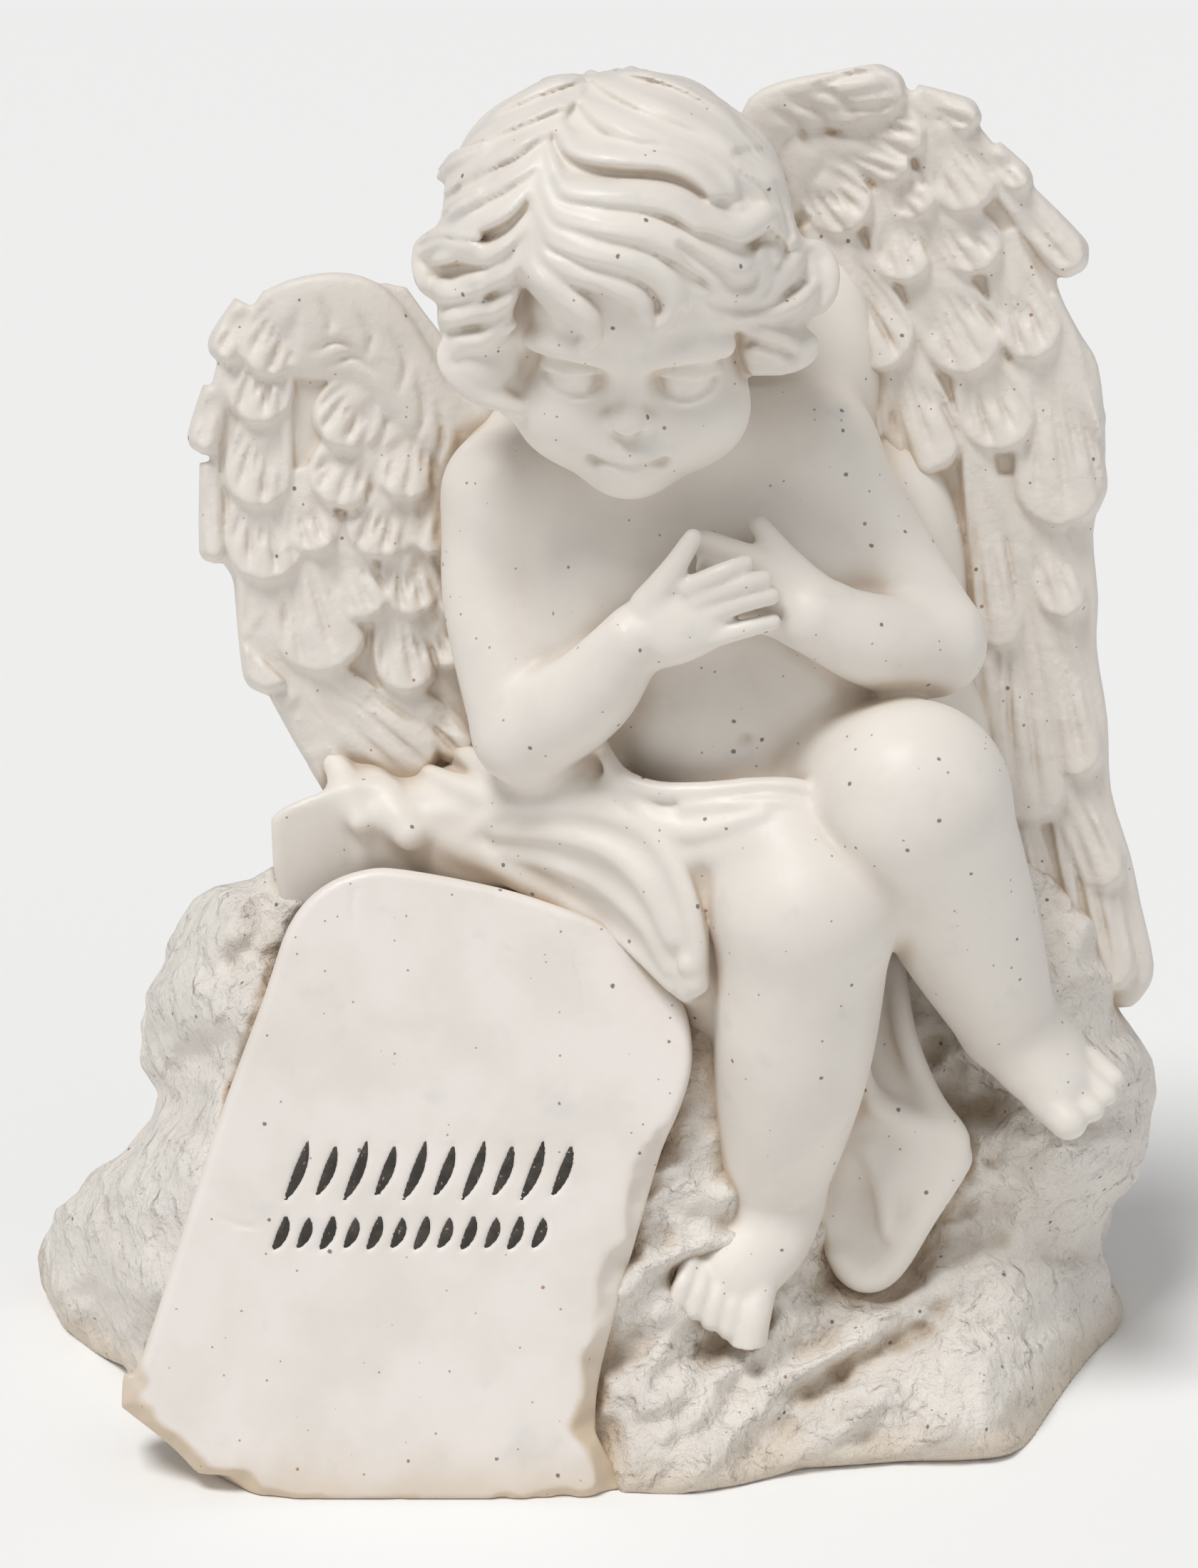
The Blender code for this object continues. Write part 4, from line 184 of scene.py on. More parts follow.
class Clay:
    """Space on a cubic grid. Each value is the distance to the surface, below zero inside."""

    def __init__(self, low, high, cell):
        self.low, self.cell = np.array(low, float), cell
        counts = np.ceil((np.array(high) - self.low) / cell).astype(int) + 1
        self.field = np.full(tuple(counts), FAR, np.float32)

    def window(self, low, high):
        """The grid's slices over a box, and the x, y and z of their samples."""
        first = np.floor((np.array(low) - self.low) / self.cell).astype(int)
        last = np.ceil((np.array(high) - self.low) / self.cell).astype(int) + 1
        first = np.clip(first, 0, self.field.shape)
        last = np.clip(last, first, self.field.shape)
        axes = [self.low[i] + self.cell * np.arange(first[i], last[i]) for i in range(3)]
        x, y, z = (a.astype(np.float32) for a in axes)
        slices = tuple(slice(int(a), int(b)) for a, b in zip(first, last))
        return slices, (x[:, None, None], y[None, :, None], z[None, None, :])

    def close_sides(self):
        """Keeps the surface off the block's own sides."""
        for side in (0, -1):
            self.field[side] = FAR
            self.field[:, side] = FAR
            self.field[:, :, side] = FAR

    def soften(self, amount):
        """Averages neighbours, so that hair cracks and slivers under a cell wide close up."""
        self.field = np.clip(self.field, -3 * self.cell, 3 * self.cell)
        blur(self.field, amount)

    def nearest(self, form, reach):
        """The slices around a form's pieces, and the distance to the nearest piece there."""
        low = np.min([piece[0] for piece in form], axis=0) - reach
        high = np.max([piece[1] for piece in form], axis=0) + reach
        slices, _ = self.window(low, high)
        near = np.full(self.field[slices].shape, FAR, np.float32)
        for piece_low, piece_high, distance in form:
            inner, places = self.window(piece_low - reach, piece_high + reach)
            inner = tuple(
                slice(a.start - b.start, a.stop - b.start) for a, b in zip(inner, slices)
            )
            if near[inner].size:
                near[inner] = np.minimum(near[inner], distance(*places))
        return slices, near

    def at(self, places):
        """The field at rows of places, read between its samples."""
        most = np.array(self.field.shape) - 1.001
        grid = (places - self.low) / self.cell
        outside = ((grid < 0) | (grid > most)).any(axis=1)
        grid = np.clip(grid, 0, most)
        cell = grid.astype(np.int32)
        share = (grid - cell).astype(np.float32)
        found = np.zeros(len(places), np.float32)
        for corner in range(8):
            step = [corner >> axis & 1 for axis in range(3)]
            weight = np.ones(len(places), np.float32)
            for axis in range(3):
                weight *= share[:, axis] if step[axis] else 1 - share[:, axis]
            found += weight * self.field[tuple((cell + step).T)]
        found[outside] = FAR
        return found

    def add(self, form, blend=0.0):
        slices, near = self.nearest(form, blend + 3 * self.cell)
        self.field[slices] = smooth_min(self.field[slices], near, blend)

    def cut(self, form, blend=0.0):
        slices, near = self.nearest(form, blend + 3 * self.cell)
        self.field[slices] = -smooth_min(-self.field[slices], near, blend)


# Forms: each is a list of (low corner, high corner, distance function)


def ball(centre, radii, axes=None):
    """An ellipsoid. `axes` are its own three axes, where they aren't the world's."""
    centre, radii = np.array(centre, float), np.array(radii, float)
    turn = np.eye(3) if axes is None else np.array([tuple(a) for a in axes], float)
    half = np.sqrt(((turn * radii[:, None]) ** 2).sum(axis=0))

    def distance(x, y, z):
        x, y, z = x - centre[0], y - centre[1], z - centre[2]
        shares = [(x * a[0] + y * a[1] + z * a[2]) / r for a, r in zip(turn, radii)]
        out = np.sqrt(sum(s * s for s in shares))
        slope = np.sqrt(sum((s / r) ** 2 for s, r in zip(shares, radii)))
        return out * (out - 1) / np.maximum(slope, 1e-6)

    return [(centre - half, centre + half, distance)]


def segment(start, end, start_radius, end_radius, flat, facing, ridges=None):
    """A tapering rod with round ends, pressed to `flat` of its thickness along `facing`.

    `ridges` is how many run along it, and how deep the grooves between them are.
    """
    along = end - start
    length_squared = max(float(along @ along), 1e-9)
    most = max(start_radius, end_radius)
    aside = np.cross(along, facing)
    aside = aside / max(float(np.sqrt(aside @ aside)), 1e-9)
    widening = end_radius - start_radius
    widening = min(max(widening, -0.9 * math.sqrt(length_squared)), 0.9 * math.sqrt(length_squared))
    slant = widening / math.sqrt(length_squared * max(length_squared - widening**2, 1e-9))

    def distance(x, y, z):
        x, y, z = x - start[0], y - start[1], z - start[2]
        share = (x * along[0] + y * along[1] + z * along[2]) / length_squared
        # on a cone the nearest place of the axis lies further towards the thick end
        gap = np.maximum(x * x + y * y + z * z - share * share * length_squared, 0)
        share = np.clip(share + slant * np.sqrt(gap), 0, 1)
        x, y, z = x - share * along[0], y - share * along[1], z - share * along[2]
        radius = start_radius + (end_radius - start_radius) * share
        groove = 0.0
        if ridges and ridges[1]:
            place = (x * aside[0] + y * aside[1] + z * aside[2]) / radius
            place = np.clip(place, -1, 1)
            wave = np.abs(np.cos(place * (math.pi / 2 * ridges[0]) + (ridges[0] - 1) * math.pi / 2))
            groove = ridges[1] * (1 - wave) ** 1.5 * (1 - place**4)
        if flat != 1.0:
            lift = (x * facing[0] + y * facing[1] + z * facing[2]) * (1 / flat - 1)
            x, y, z = x + lift * facing[0], y + lift * facing[1], z + lift * facing[2]
        return (np.sqrt(x * x + y * y + z * z) - radius) * (flat + 1) / 2 + groove

    return np.minimum(start, end) - most, np.maximum(start, end) + most, distance


def rod(points, radii, flat=1.0, facing=(0, -1, 0), steps=7, ridges=None):
    """A rod along a smooth curve. `facing` is a direction, or a function from a place to one."""
    path = smooth_path(points, steps)
    curve = smooth_path([(r,) for r in radii], 8)[:, 0]
    sizes = np.interp(np.linspace(0, 1, len(path)), np.linspace(0, 1, len(curve)), curve)
    sizes = np.maximum(sizes, 0.05)
    form = []
    for i in range(len(path) - 1):
        way = facing((path[i] + path[i + 1]) / 2) if callable(facing) else facing
        way = np.array(unit(way))
        form.append(segment(path[i], path[i + 1], sizes[i], sizes[i + 1], flat, way, ridges))
    return form


def add_balls(clay, balls):
    """Balls given by their places as seen, radii and blend."""
    for place, radii, blend in balls:
        clay.add(ball(seen(*place), radii), blend)


def add_rod(clay, places, radii, blend, **shape):
    clay.add(rod([seen(*place) for place in places], radii, **shape), blend)


def add_rods(clay, rods):
    """Rods given by their places as seen, radii and blend."""
    for places, radii, blend in rods:
        add_rod(clay, places, radii, blend)


def cut_rod(clay, places, radii, blend):
    clay.cut(rod([seen(*place) for place in places], radii), blend)


def front_view(x, y, z):
    """(across, up) in the front view of each place."""
    y, z = y - EYE.y, z - EYE.z
    reach = EYE_DISTANCE / (y * SIGHT_AHEAD.y + z * SIGHT_AHEAD.z)
    return x * reach, PICTURE_MIDDLE_UP + (y * SIGHT_UP.y + z * SIGHT_UP.z) * reach


TABLE_STEP = 0.5
FINE_STEP = 0.25
TABLE_LOW = (-100.0, -12.0)
TABLE_REACH = (200.0, 232.0)


def read_table(table, across, up, step=TABLE_STEP):
    """A table of the front view read between its samples."""
    across = np.clip((across - TABLE_LOW[0]) / step, 0, table.shape[0] - 1.001)
    up = np.clip((up - TABLE_LOW[1]) / step, 0, table.shape[1] - 1.001)
    i, j = across.astype(np.int32), up.astype(np.int32)
    s, t = across - i, up - j
    low = table[i, j] * (1 - s) + table[i + 1, j] * s
    high = table[i, j + 1] * (1 - s) + table[i + 1, j + 1] * s
    return low * (1 - t) + high * t


def table_places(step=TABLE_STEP):
    across, up = (
        low + step * np.arange(int(reach / step) + 1) for low, reach in zip(TABLE_LOW, TABLE_REACH)
    )
    return np.meshgrid(across, up, indexing="ij")


class Outline:
    """A closed outline in the front view: the distance to it, below zero inside."""

    def __init__(self, corners, smooth=0):
        if smooth:
            ring = smooth_path(list(corners) + [corners[0]], smooth)[:-1]
            corners = ring
        self.corners = np.array([tuple(c) for c in corners], float)
        across, up = table_places()
        nearest = np.full(across.shape, 1e9)
        inside = np.zeros(across.shape, bool)
        for (ax, ay), (bx, by) in zip(self.corners, np.roll(self.corners, -1, axis=0)):
            ex, ey = bx - ax, by - ay
            share = np.clip(((across - ax) * ex + (up - ay) * ey) / (ex * ex + ey * ey), 0, 1)
            gap = (across - ax - share * ex) ** 2 + (up - ay - share * ey) ** 2
            nearest = np.minimum(nearest, gap)
            if ay != by:
                crosses = (up >= min(ay, by)) & (up < max(ay, by))
                inside ^= crosses & (across < ax + (up - ay) * ex / ey)
        self.table = (np.where(inside, -1, 1) * np.sqrt(nearest)).astype(np.float32)

    def __call__(self, across, up):
        return read_table(self.table, across, up)


def plate(outline, front, thickness, rounding):
    """A plate with that outline in the front view. `front` gives its depth at (across, up)."""
    rim = outline.corners
    depths = front(rim[:, 0], rim[:, 1])
    places = [seen(a, u, b) for (a, u), b in zip(rim, depths)]
    places += [seen(a, u, b + thickness) for (a, u), b in zip(rim, depths)]
    places = np.array([tuple(p) for p in places])

    def distance(x, y, z):
        across, up = front_view(x, y, z)
        side = outline(across, up) + rounding
        half = thickness / 2
        depth = np.abs(y - front(across, up) - half) - half + rounding
        outer = np.sqrt(np.maximum(side, 0) ** 2 + np.maximum(depth, 0) ** 2)
        return outer + np.minimum(np.maximum(side, depth), 0) - rounding

    return [(places.min(axis=0) - 2, places.max(axis=0) + 2, distance)]


class Relief:
    """A front seen as depths at a few places: smooth between them, and read at (across, up)."""

    def __init__(self, places, stiffness=0.0):
        knots = np.array(places, float)
        self.knots, count = knots[:, :2], len(knots)
        bending = self.bending(self.knots[:, 0], self.knots[:, 1])
        plane = np.column_stack([np.ones(count), self.knots])
        system = np.zeros((count + 3, count + 3))
        system[:count, :count] = bending + stiffness * np.eye(count)
        system[:count, count:] = plane
        system[count:, :count] = plane.T
        self.weights = np.linalg.solve(system, np.append(knots[:, 2], [0, 0, 0]))
        across, up = table_places()
        parts = self.bending(across.ravel(), up.ravel()) @ self.weights[:count]
        flat = self.weights[count] + across * self.weights[-2] + up * self.weights[-1]
        self.table = (parts.reshape(across.shape) + flat).astype(np.float32)

    def bending(self, across, up):
        gap = (across[:, None] - self.knots[:, 0]) ** 2 + (up[:, None] - self.knots[:, 1]) ** 2
        return gap * np.log(gap + 1e-9)

    def __call__(self, across, up):
        return read_table(self.table, across, up)


class Crags:
    """Broken stone in the front view: each layer is ridges that run along its own grain."""

    def __init__(self, seed, layers):
        across, up = table_places()
        self.table = np.zeros(across.shape, np.float32)
        random = np.random.RandomState(seed)
        for along_length, aside_length, grain, height, sharp in layers:
            turn = math.radians(grain)
            bend = 3.0 * np.sin(across / 17 + seed) + 2.5 * np.sin(up / 13 + 2 * seed)
            u = (across * math.cos(turn) + up * math.sin(turn) + bend) / along_length
            v = (up * math.cos(turn) - across * math.sin(turn) + bend) / aside_length
            heights = random.uniform(-1, 1, (97, 89))
            i, j = np.floor(u).astype(int), np.floor(v).astype(int)
            s, t = u - i, v - j
            s, t = s * s * (3 - 2 * s), t * t * (3 - 2 * t)
            corners = [[heights[(i + a) % 97, (j + b) % 89] for b in (0, 1)] for a in (0, 1)]
            low = corners[0][0] * (1 - s) + corners[1][0] * s
            high = corners[0][1] * (1 - s) + corners[1][1] * s
            value = low * (1 - t) + high * t
            if sharp:
                value = 1 - 2.6 * np.abs(value)
            self.table += (height * value).astype(np.float32)

    def __call__(self, across, up):
        return read_table(self.table, across, up)


# The rock

FOOT_BEVEL = 2.6
FOOT_FRONT = [
    # the foot's front edge as seen, right to left
    (75, 30), (74, 20), (70.5, 14), (66, 9.8), (62, 6.4), (56, 5), (45, 4.4), (29, 3.8), (21, 1.3),
    (12, -0.3), (-20, -0.4), (-46, -0.4), (-50, 0.6), (-55, 3.2), (-60, 8), (-66, 13.5), (-71.5, 19.5),
    (-76.5, 23.5), (-78.8, 30),
]
FOOT_BACK = [(-78, 84), (-66, 94), (0, 97), (62, 94), (73, 84)]


def on_ground(across, up):
    """Where the line of sight at (across, up) meets the ground."""
    ray = seen(across, up, 0) - EYE
    return EYE + ray * (-EYE.z / ray.z)


def foot_outline():
    return Outline([on_ground(*place)[:2] for place in FOOT_FRONT] + FOOT_BACK)


ROCK_OUTLINE = [
    (-50, 0.3), (-55, 3), (-60, 8), (-66, 13.5), (-67, 18.5), (-71.5, 20), (-76.5, 23.5), (-78.5, 29),
    (-79.2, 34), (-77, 41.5), (-73, 44), (-71, 46.5), (-66.5, 49), (-63, 54), (-62, 57.5), (-64, 61.5),
    (-65, 67.5), (-64, 71), (-61.5, 75), (-59, 81), (-57, 85), (-54, 87), (-49, 88), (-45, 90.5),
    (-30, 100), (0, 104), (30, 106), (55, 100), (68, 88), (74, 78), (74, 69.5), (76.5, 65),
    (78.5, 57.5),
    (77, 51), (76, 45.5), (72, 41), (70.5, 36), (71.5, 32.5), (75, 27.5), (73.5, 20), (70, 14.5),
    (66, 10.5), (63, 7), (58, 5.2), (45, 4.5), (29, 3.8), (21, 1.3), (12, -0.4), (-20, -0.8),
    (-46, -0.6),
]
ROCK_FRONT = Relief(
    [
        (-50, 0, 1), (-62, 10, 18), (-69, 20, 42), (-76, 26, 56), (-79, 35, 62), (-70, 36, 42),
        (-62, 30, 18), (-76, 43, 60), (-66, 50, 46), (-58, 45, 22), (-54, 55, 24), (-62, 57, 50),
        (-64, 68, 52), (-56, 70, 34), (-50, 64, 27), (-59, 81, 52), (-50, 82, 38), (-46, 90, 48),
        (-30, 0, 4), (0, 0, 1.5), (0, 20, 11), (3, 30, 13), (9, 42, 18), (13, 58, 24), (13, 48, 20),
        (13, 10, 6), (18, 18, 16), (12, 30, 19), (30, 3.5, 6), (30, 12, 12), (30, 24, 22),
        (45, 4.5, 10),
        (45, 14, 14), (45, 24, 24), (40, 34, 34), (60, 6, 14), (60, 16, 22), (60, 26, 32), (66, 11, 34),
        (72, 20, 52), (74, 27, 56), (66, 33, 46), (70, 38, 55), (58, 40, 38), (66, 46, 32),
        (60, 50, 36),
        (72, 44, 48), (76, 50, 52), (78, 58, 54), (70, 62, 40), (74, 68, 54), (66, 72, 46),
        (50, 60, 42),
        (40, 75, 46), (40, 55, 38), (0, 60, 34), (-20, 60, 34), (-30, 30, 20), (-25, 90, 44),
        (10, 92, 44),
        (50, 90, 48), (60, 90, 52), (-45, 30, 20), (-45, 45, 26), (-15, 40, 26), (-35, 75, 38),
        (-10, 78, 40), (-56, 30, 18), (-52, 58, 30), (-44, 78, 41), (-38, 87, 47),
    ],
    stiffness=30,
)
ROCK_BACK = 94.0

# Layers of broken stone: length along the grain and aside, its slope, height, sharp or soft
LEFT_CRAGS = [
    (17, 9, 70, 1.5, True), (9, 5, 35, 0.9, True), (4.8, 3.6, 100, 0.85, False),
    (2.5, 2.1, 60, 0.55, False), (1.3, 1.1, 20, 0.32, False),
]
RIGHT_CRAGS = [
    (24, 8.5, 33, 1.3, True), (11, 5, 15, 0.8, True), (5.2, 3.4, 45, 0.85, False),
    (2.6, 2.1, 20, 0.55, False), (1.3, 1.1, 70, 0.32, False),
]
SIDE_CRAGS = [
    (16, 10, 60, 1.6, True), (8, 5, 20, 0.45, False), (4, 3, 80, 0.35, False),
    (2.2, 1.8, 30, 0.22, False),
]
CRAG_HEIGHT = 1.5


def build_rock(clay):
    """One mass sawn to the front outline, with its front carved to the relief."""
    outline, foot = Outline(ROCK_OUTLINE), foot_outline()
    left, right, sides = Crags(3, LEFT_CRAGS), Crags(8, RIGHT_CRAGS), Crags(5, SIDE_CRAGS)

    def distance(x, y, z):
        across, up = front_view(x, y, z)
        calm = np.clip(z / 6, 0, 1) * CRAG_HEIGHT
        share = np.clip((across + 30) / 20, 0, 1)
        crags = (left(across, up) * (1 - share) + right(across, up) * share) * calm
        edges = sides(y, z) * calm
        side = outline(across, up) - edges * 0.5
        front = ROCK_FRONT(across, up) - y - crags
        back = y - (ROCK_BACK - 0.16 * z - 0.003 * x * x) - sides(x, z) * calm * 1.5
        depth = -smooth_min(-front * 0.85, -back, 10)
        rock = -smooth_min(-(side + 1.0), -depth, 4.0)
        bevel = foot(x, y) + 0.75 * np.clip(FOOT_BEVEL - z, 0, FOOT_BEVEL)
        return np.maximum(rock, np.where(z < 14, bevel, bevel - (z - 14)))

    clay.add([(np.array((-86, -4, -4)), np.array((86, 100, 112)), distance)])


def build_ridge(clay):
    """The ridge that stands between the tablet's edge and the shin."""
    ridge = [(14.6, 74, 33), (15.6, 66, 31), (15.2, 56, 29), (13.0, 46, 27), (10, 38, 25)]
    add_rod(clay, ridge, [5, 5.5, 5.5, 5, 4], 3)


def bevel_foot(clay):
    """The foot's rim ground off all round, under the tablet too."""
    slices, (x, y, z) = clay.window(CLAY_LOW, (90, 110, FOOT_BEVEL + 4))
    rim = foot_outline()(x, y) + 0.75 * (FOOT_BEVEL - z)
    clay.field[slices] = np.where(z < FOOT_BEVEL, np.maximum(clay.field[slices], rim),
        clay.field[slices])


# The tablet

TABLET_OUTLINE = [
    (-67, 13.5), (-66.5, 18.5), (-64, 20.8), (-54, 51.8), (-47, 71), (-43.5, 81), (-39, 86.3),
    (-33, 88.8),
    (-27, 88.8), (-14, 86.3), (-5, 83.5), (1.5, 81), (7, 76), (11.5, 70.8), (13, 65), (12.8, 60),
    (11, 54.5), (8.8, 49.5), (6, 40), (2.5, 27.5), (0, 17.5), (-0.5, 10), (0.5, -1), (-46, -1.5),
    (-50, 0.3), (-55, 3), (-60, 8),
]
TABLET_LEAN = 0.322


def tablet_front(across, up):
    return TABLET_LEAN * up + 0.4


def build_tablet(clay):
    clay.add(plate(Outline(TABLET_OUTLINE, 4), tablet_front, TABLET_THICKNESS / SQUARE, 1.3), 0.8)


# The body


def build_torso(clay):
    add_balls(clay, [
        ((9, 131, 44), (21, 14, 17), 6), ((17, 110, 43), (17, 15, 17), 6), ((14, 98, 52),
        (22, 18, 15), 6),
    ])
    add_rod(clay, [(-13, 141, 44), (6, 146, 46), (30, 148, 46)], [8, 9, 8.5], 5)
    add_balls(clay, [
        ((8, 150, 40), (9, 9, 9), 5), ((-3, 119, 44), (10, 13, 15), 5), ((26, 130, 43), (12, 11, 13),
        6),
        ((31, 117, 42), (10, 11, 11), 6), ((-2, 105, 42), (9, 9, 8), 4),
        ((-1.2, 103.2, 34.8), (4.2, 4.6, 4.2), 2),
        # the back, and what fills the angles between it and the wings
        ((14, 132, 54), (20, 12, 18), 6), ((12, 112, 60), (30, 18, 20), 6), ((2, 150, 54),
        (22, 9, 10), 5),
        ((-14, 126, 57), (9, 9, 26), 4), ((40, 126, 57), (12, 10, 26), 4), ((30, 158, 57),
        (10, 8, 20), 4),
    ])
    clay.add(ball((-9, 57, 122), (11, 9, 16)), 4)
    clay.add(ball((44, 61, 90), (14, 13, 18)), 4)
    clay.cut(ball(seen(20.8, 106.6, 27), (1.6, 2.5, 1)), 0.8)


def build_arms(clay):
    add_rods(clay, [
        ([(-13.5, 142, 44), (-15, 127, 42), (-11, 108.4, 34)], [8, 6.8, 6.7], 3),
        ([(-9.8, 107.8, 33), (-1.4, 113.5, 27), (4.6, 121, 23)], [6.7, 6.2, 4.4], 2.5),
        ([(29.5, 147, 46), (38, 134.5, 45), (46.8, 122, 38.5)], [8.8, 7.9, 6.7], 3),
        ([(47.2, 120, 37.5), (39, 120.8, 31), (29.5, 124.5, 26.5)], [6.8, 6.4, 4.9], 2.2),
    ])


def build_hands(clay):
    # the hand beneath
    add_rod(clay, [(31, 124.6, 28), (26, 126.5, 27), (20, 127.5, 26.6)], [4.8, 5.2, 4.8], 1.5, flat=0.7)
    add_rods(clay, [
        ([(26, 129.6, 27.4), (19.6, 132.2, 26.6), (14.6, 134.6, 27)], [3, 2.6, 1.9], 1),
        ([(26, 127.5, 26.4), (20, 129.6, 25.6), (15.4, 131.2, 26)], [2.6, 2.2, 1.8], 0.7),
        ([(28.6, 128.6, 28), (25.6, 133, 28.4), (22.4, 137, 29.6)], [2.8, 1.9, 1.5], 1.6),
    ])
    # the hand on top
    palm = [(6.6, 121.8, 24.4), (10.6, 123.6, 22.6), (14.4, 124.6, 22.4)]
    add_rod(clay, palm, [4.9, 5.7, 4.9], 1.2, flat=0.6, facing=(0, -1, 0.3))
    for finger, radius in (
        ([(12.4, 128.4), (17.4, 130.6), (20.6, 131.8)], 1.3),
        ([(13.6, 126.6), (19.4, 128.6), (23.2, 129.6)], 1.35),
        ([(14, 124.2), (20, 126.2), (24.2, 127.2)], 1.35),
        ([(14, 120.8), (20.4, 122.6), (24.4, 123.6)], 1.3),
    ):
        places = [(*place, back) for place, back in zip(finger, (21, 20.4, 21.6))]
        add_rod(clay, places, [radius * 1.1, radius, radius * 0.92], 0.2)
    add_rod(clay, [(7, 126, 22.8), (10.4, 131, 21.4), (13.2, 135.4, 21.8)], [2.5, 1.7, 1.3], 0.8)
    cut_rod(clay, [(3.6, 125.4, 20.6), (5.6, 121, 18.6), (8.8, 117.2, 20.6)], [0.3, 0.45, 0.3], 0.9)


def build_legs(clay):
    add_rods(clay, [
        ([(14, 98, 50), (22, 92, 36), (29, 84, 22)], [15, 14, 12], 4),
        ([(29, 83, 21), (27, 62, 24.5), (23.8, 42, 28)], [12, 10.8, 6.9], 3),
        ([(24, 98, 50), (36, 99.6, 36), (43.6, 99.4, 24)], [14, 13.2, 12.8], 2),
        ([(44.5, 98, 24), (51, 82, 30), (57, 68, 35)], [12.5, 10.4, 7], 3),
    ])


def build_feet(clay):
    sole = [(24.2, 43, 28), (22.4, 38, 25), (19.6, 34, 22.4)]
    add_rod(clay, sole, [7.3, 7.5, 6.9], 2, flat=0.7, facing=(0, -0.6, 0.8))
    cut_rod(clay, [(17.5, 41.5, 21), (24, 39.8, 19), (30.5, 42, 22)], [0.35, 0.5, 0.35], 1)
    for root, tip, radius in (
        ((22.6, 31), (20.9, 22.6), 2.65), ((19.4, 31.5), (18.2, 24.6), 1.75), ((17, 32),
        (15.8, 25.8), 1.7),
        ((14.8, 33), (13.3, 27.2), 1.6), ((12.8, 34), (10.9, 28.6), 1.55),
    ):
        middle = (seen(*root, 18.5) + seen(*tip, 16.5)) / 2 - Vector((0, 0.8, 0))
        toe = [seen(*root, 19.5), middle, seen(*tip, 16.2)]
        clay.add(rod(toe, [radius * 0.95, radius * 0.9, radius]), 0.35)
    sole = [(58, 67, 36), (62, 62.3, 31.5), (64, 59.5, 29)]
    add_rod(clay, sole, [7.2, 6.9, 5.6], 2, flat=0.75, facing=(0.2, -0.6, 0.8))
    add_rods(clay, [
        ([(62.3, 57, 27), (65.8, 53.6, 24.2)], [2.8, 2.7], 0.6),
        ([(65.5, 58.6, 27.6), (69, 55.3, 25.4)], [1.9, 1.9], 0.4),
        ([(67.6, 60.4, 29), (71, 57.3, 27.2)], [1.7, 1.7], 0.4),
        ([(69, 62.6, 31), (72.2, 59.6, 29.2)], [1.5, 1.5], 0.4),
    ])


# The cloth


HIP_CLOTH = [
    (-19.5, 94.5), (-17, 91.6), (-11, 87), (-5, 83.3), (1, 79.6), (6, 75.6), (10, 71.6), (12.5, 70.2),
    (14.4, 72.5), (14.2, 78), (12.6, 86), (9, 92.4), (4, 96.2), (-3, 98.4), (-11, 99), (-16, 97),
]
HIP_CLOTH_FRONT = Relief(
    [
        (-18, 94, 38), (-11, 98, 33.4), (-3, 97.4, 29), (4, 95.4, 25), (8.4, 92.6, 22.2),
        (11.6, 86.4, 19.6), (13.6, 78, 18.4), (12.8, 71.6, 19), (-12, 94.4, 34), (-4, 93.8, 28.6),
        (3, 91.4, 24.2), (8, 86.6, 20.6), (11, 80, 18.8), (-11, 91, 34), (-3, 89.6, 28.4),
        (3.6, 85.6, 24.2), (8, 79.4, 20.8), (-10, 87.6, 34.2), (-2, 84.6, 29.4), (5, 79, 24.4),
        (9.6, 73.8, 20.4),
    ],
    stiffness=3,
)
WEB_CLOTH = [(-34, 102), (-24, 104), (-14, 102), (-6, 100), (-2, 92), (-8, 84), (-20, 85), (-34, 86)]
SHIN_CLOTH = [
    (36, 88), (41, 78), (42.5, 70), (44, 62), (48, 55.5), (51.5, 50.5), (51, 46.5), (46, 39),
    (41, 31.5),
    (37, 29.8), (33.5, 31.5), (31.5, 36), (29, 44), (27, 60), (30, 80),
]
SHIN_CLOTH_FRONT = Relief(
    [
        (36, 88, 38), (42, 75, 40), (44, 62, 36), (48, 55.5, 31), (51.5, 50, 29), (46, 39, 28.5),
        (40, 31, 28), (34, 31, 28), (31, 38, 28.5), (29, 46, 30), (33, 56, 30), (30, 70, 34),
        (38, 58, 31),
        (42, 47, 28), (37, 44, 30.5),
    ],
    stiffness=4,
)


def flap_front(across, up):
    return 41.5 + 0.10 * (across + 38) + 0.004 * (across + 38) ** 2


def web_cloth_front(across, up):
    away = smooth_step((-12 - across) / 6) * np.maximum(up - 96, 0) ** 2
    return 41 - 0.34 * (across + 28) * (across > -28) + 0.02 * (up - 94) ** 2 + 0.17 * away


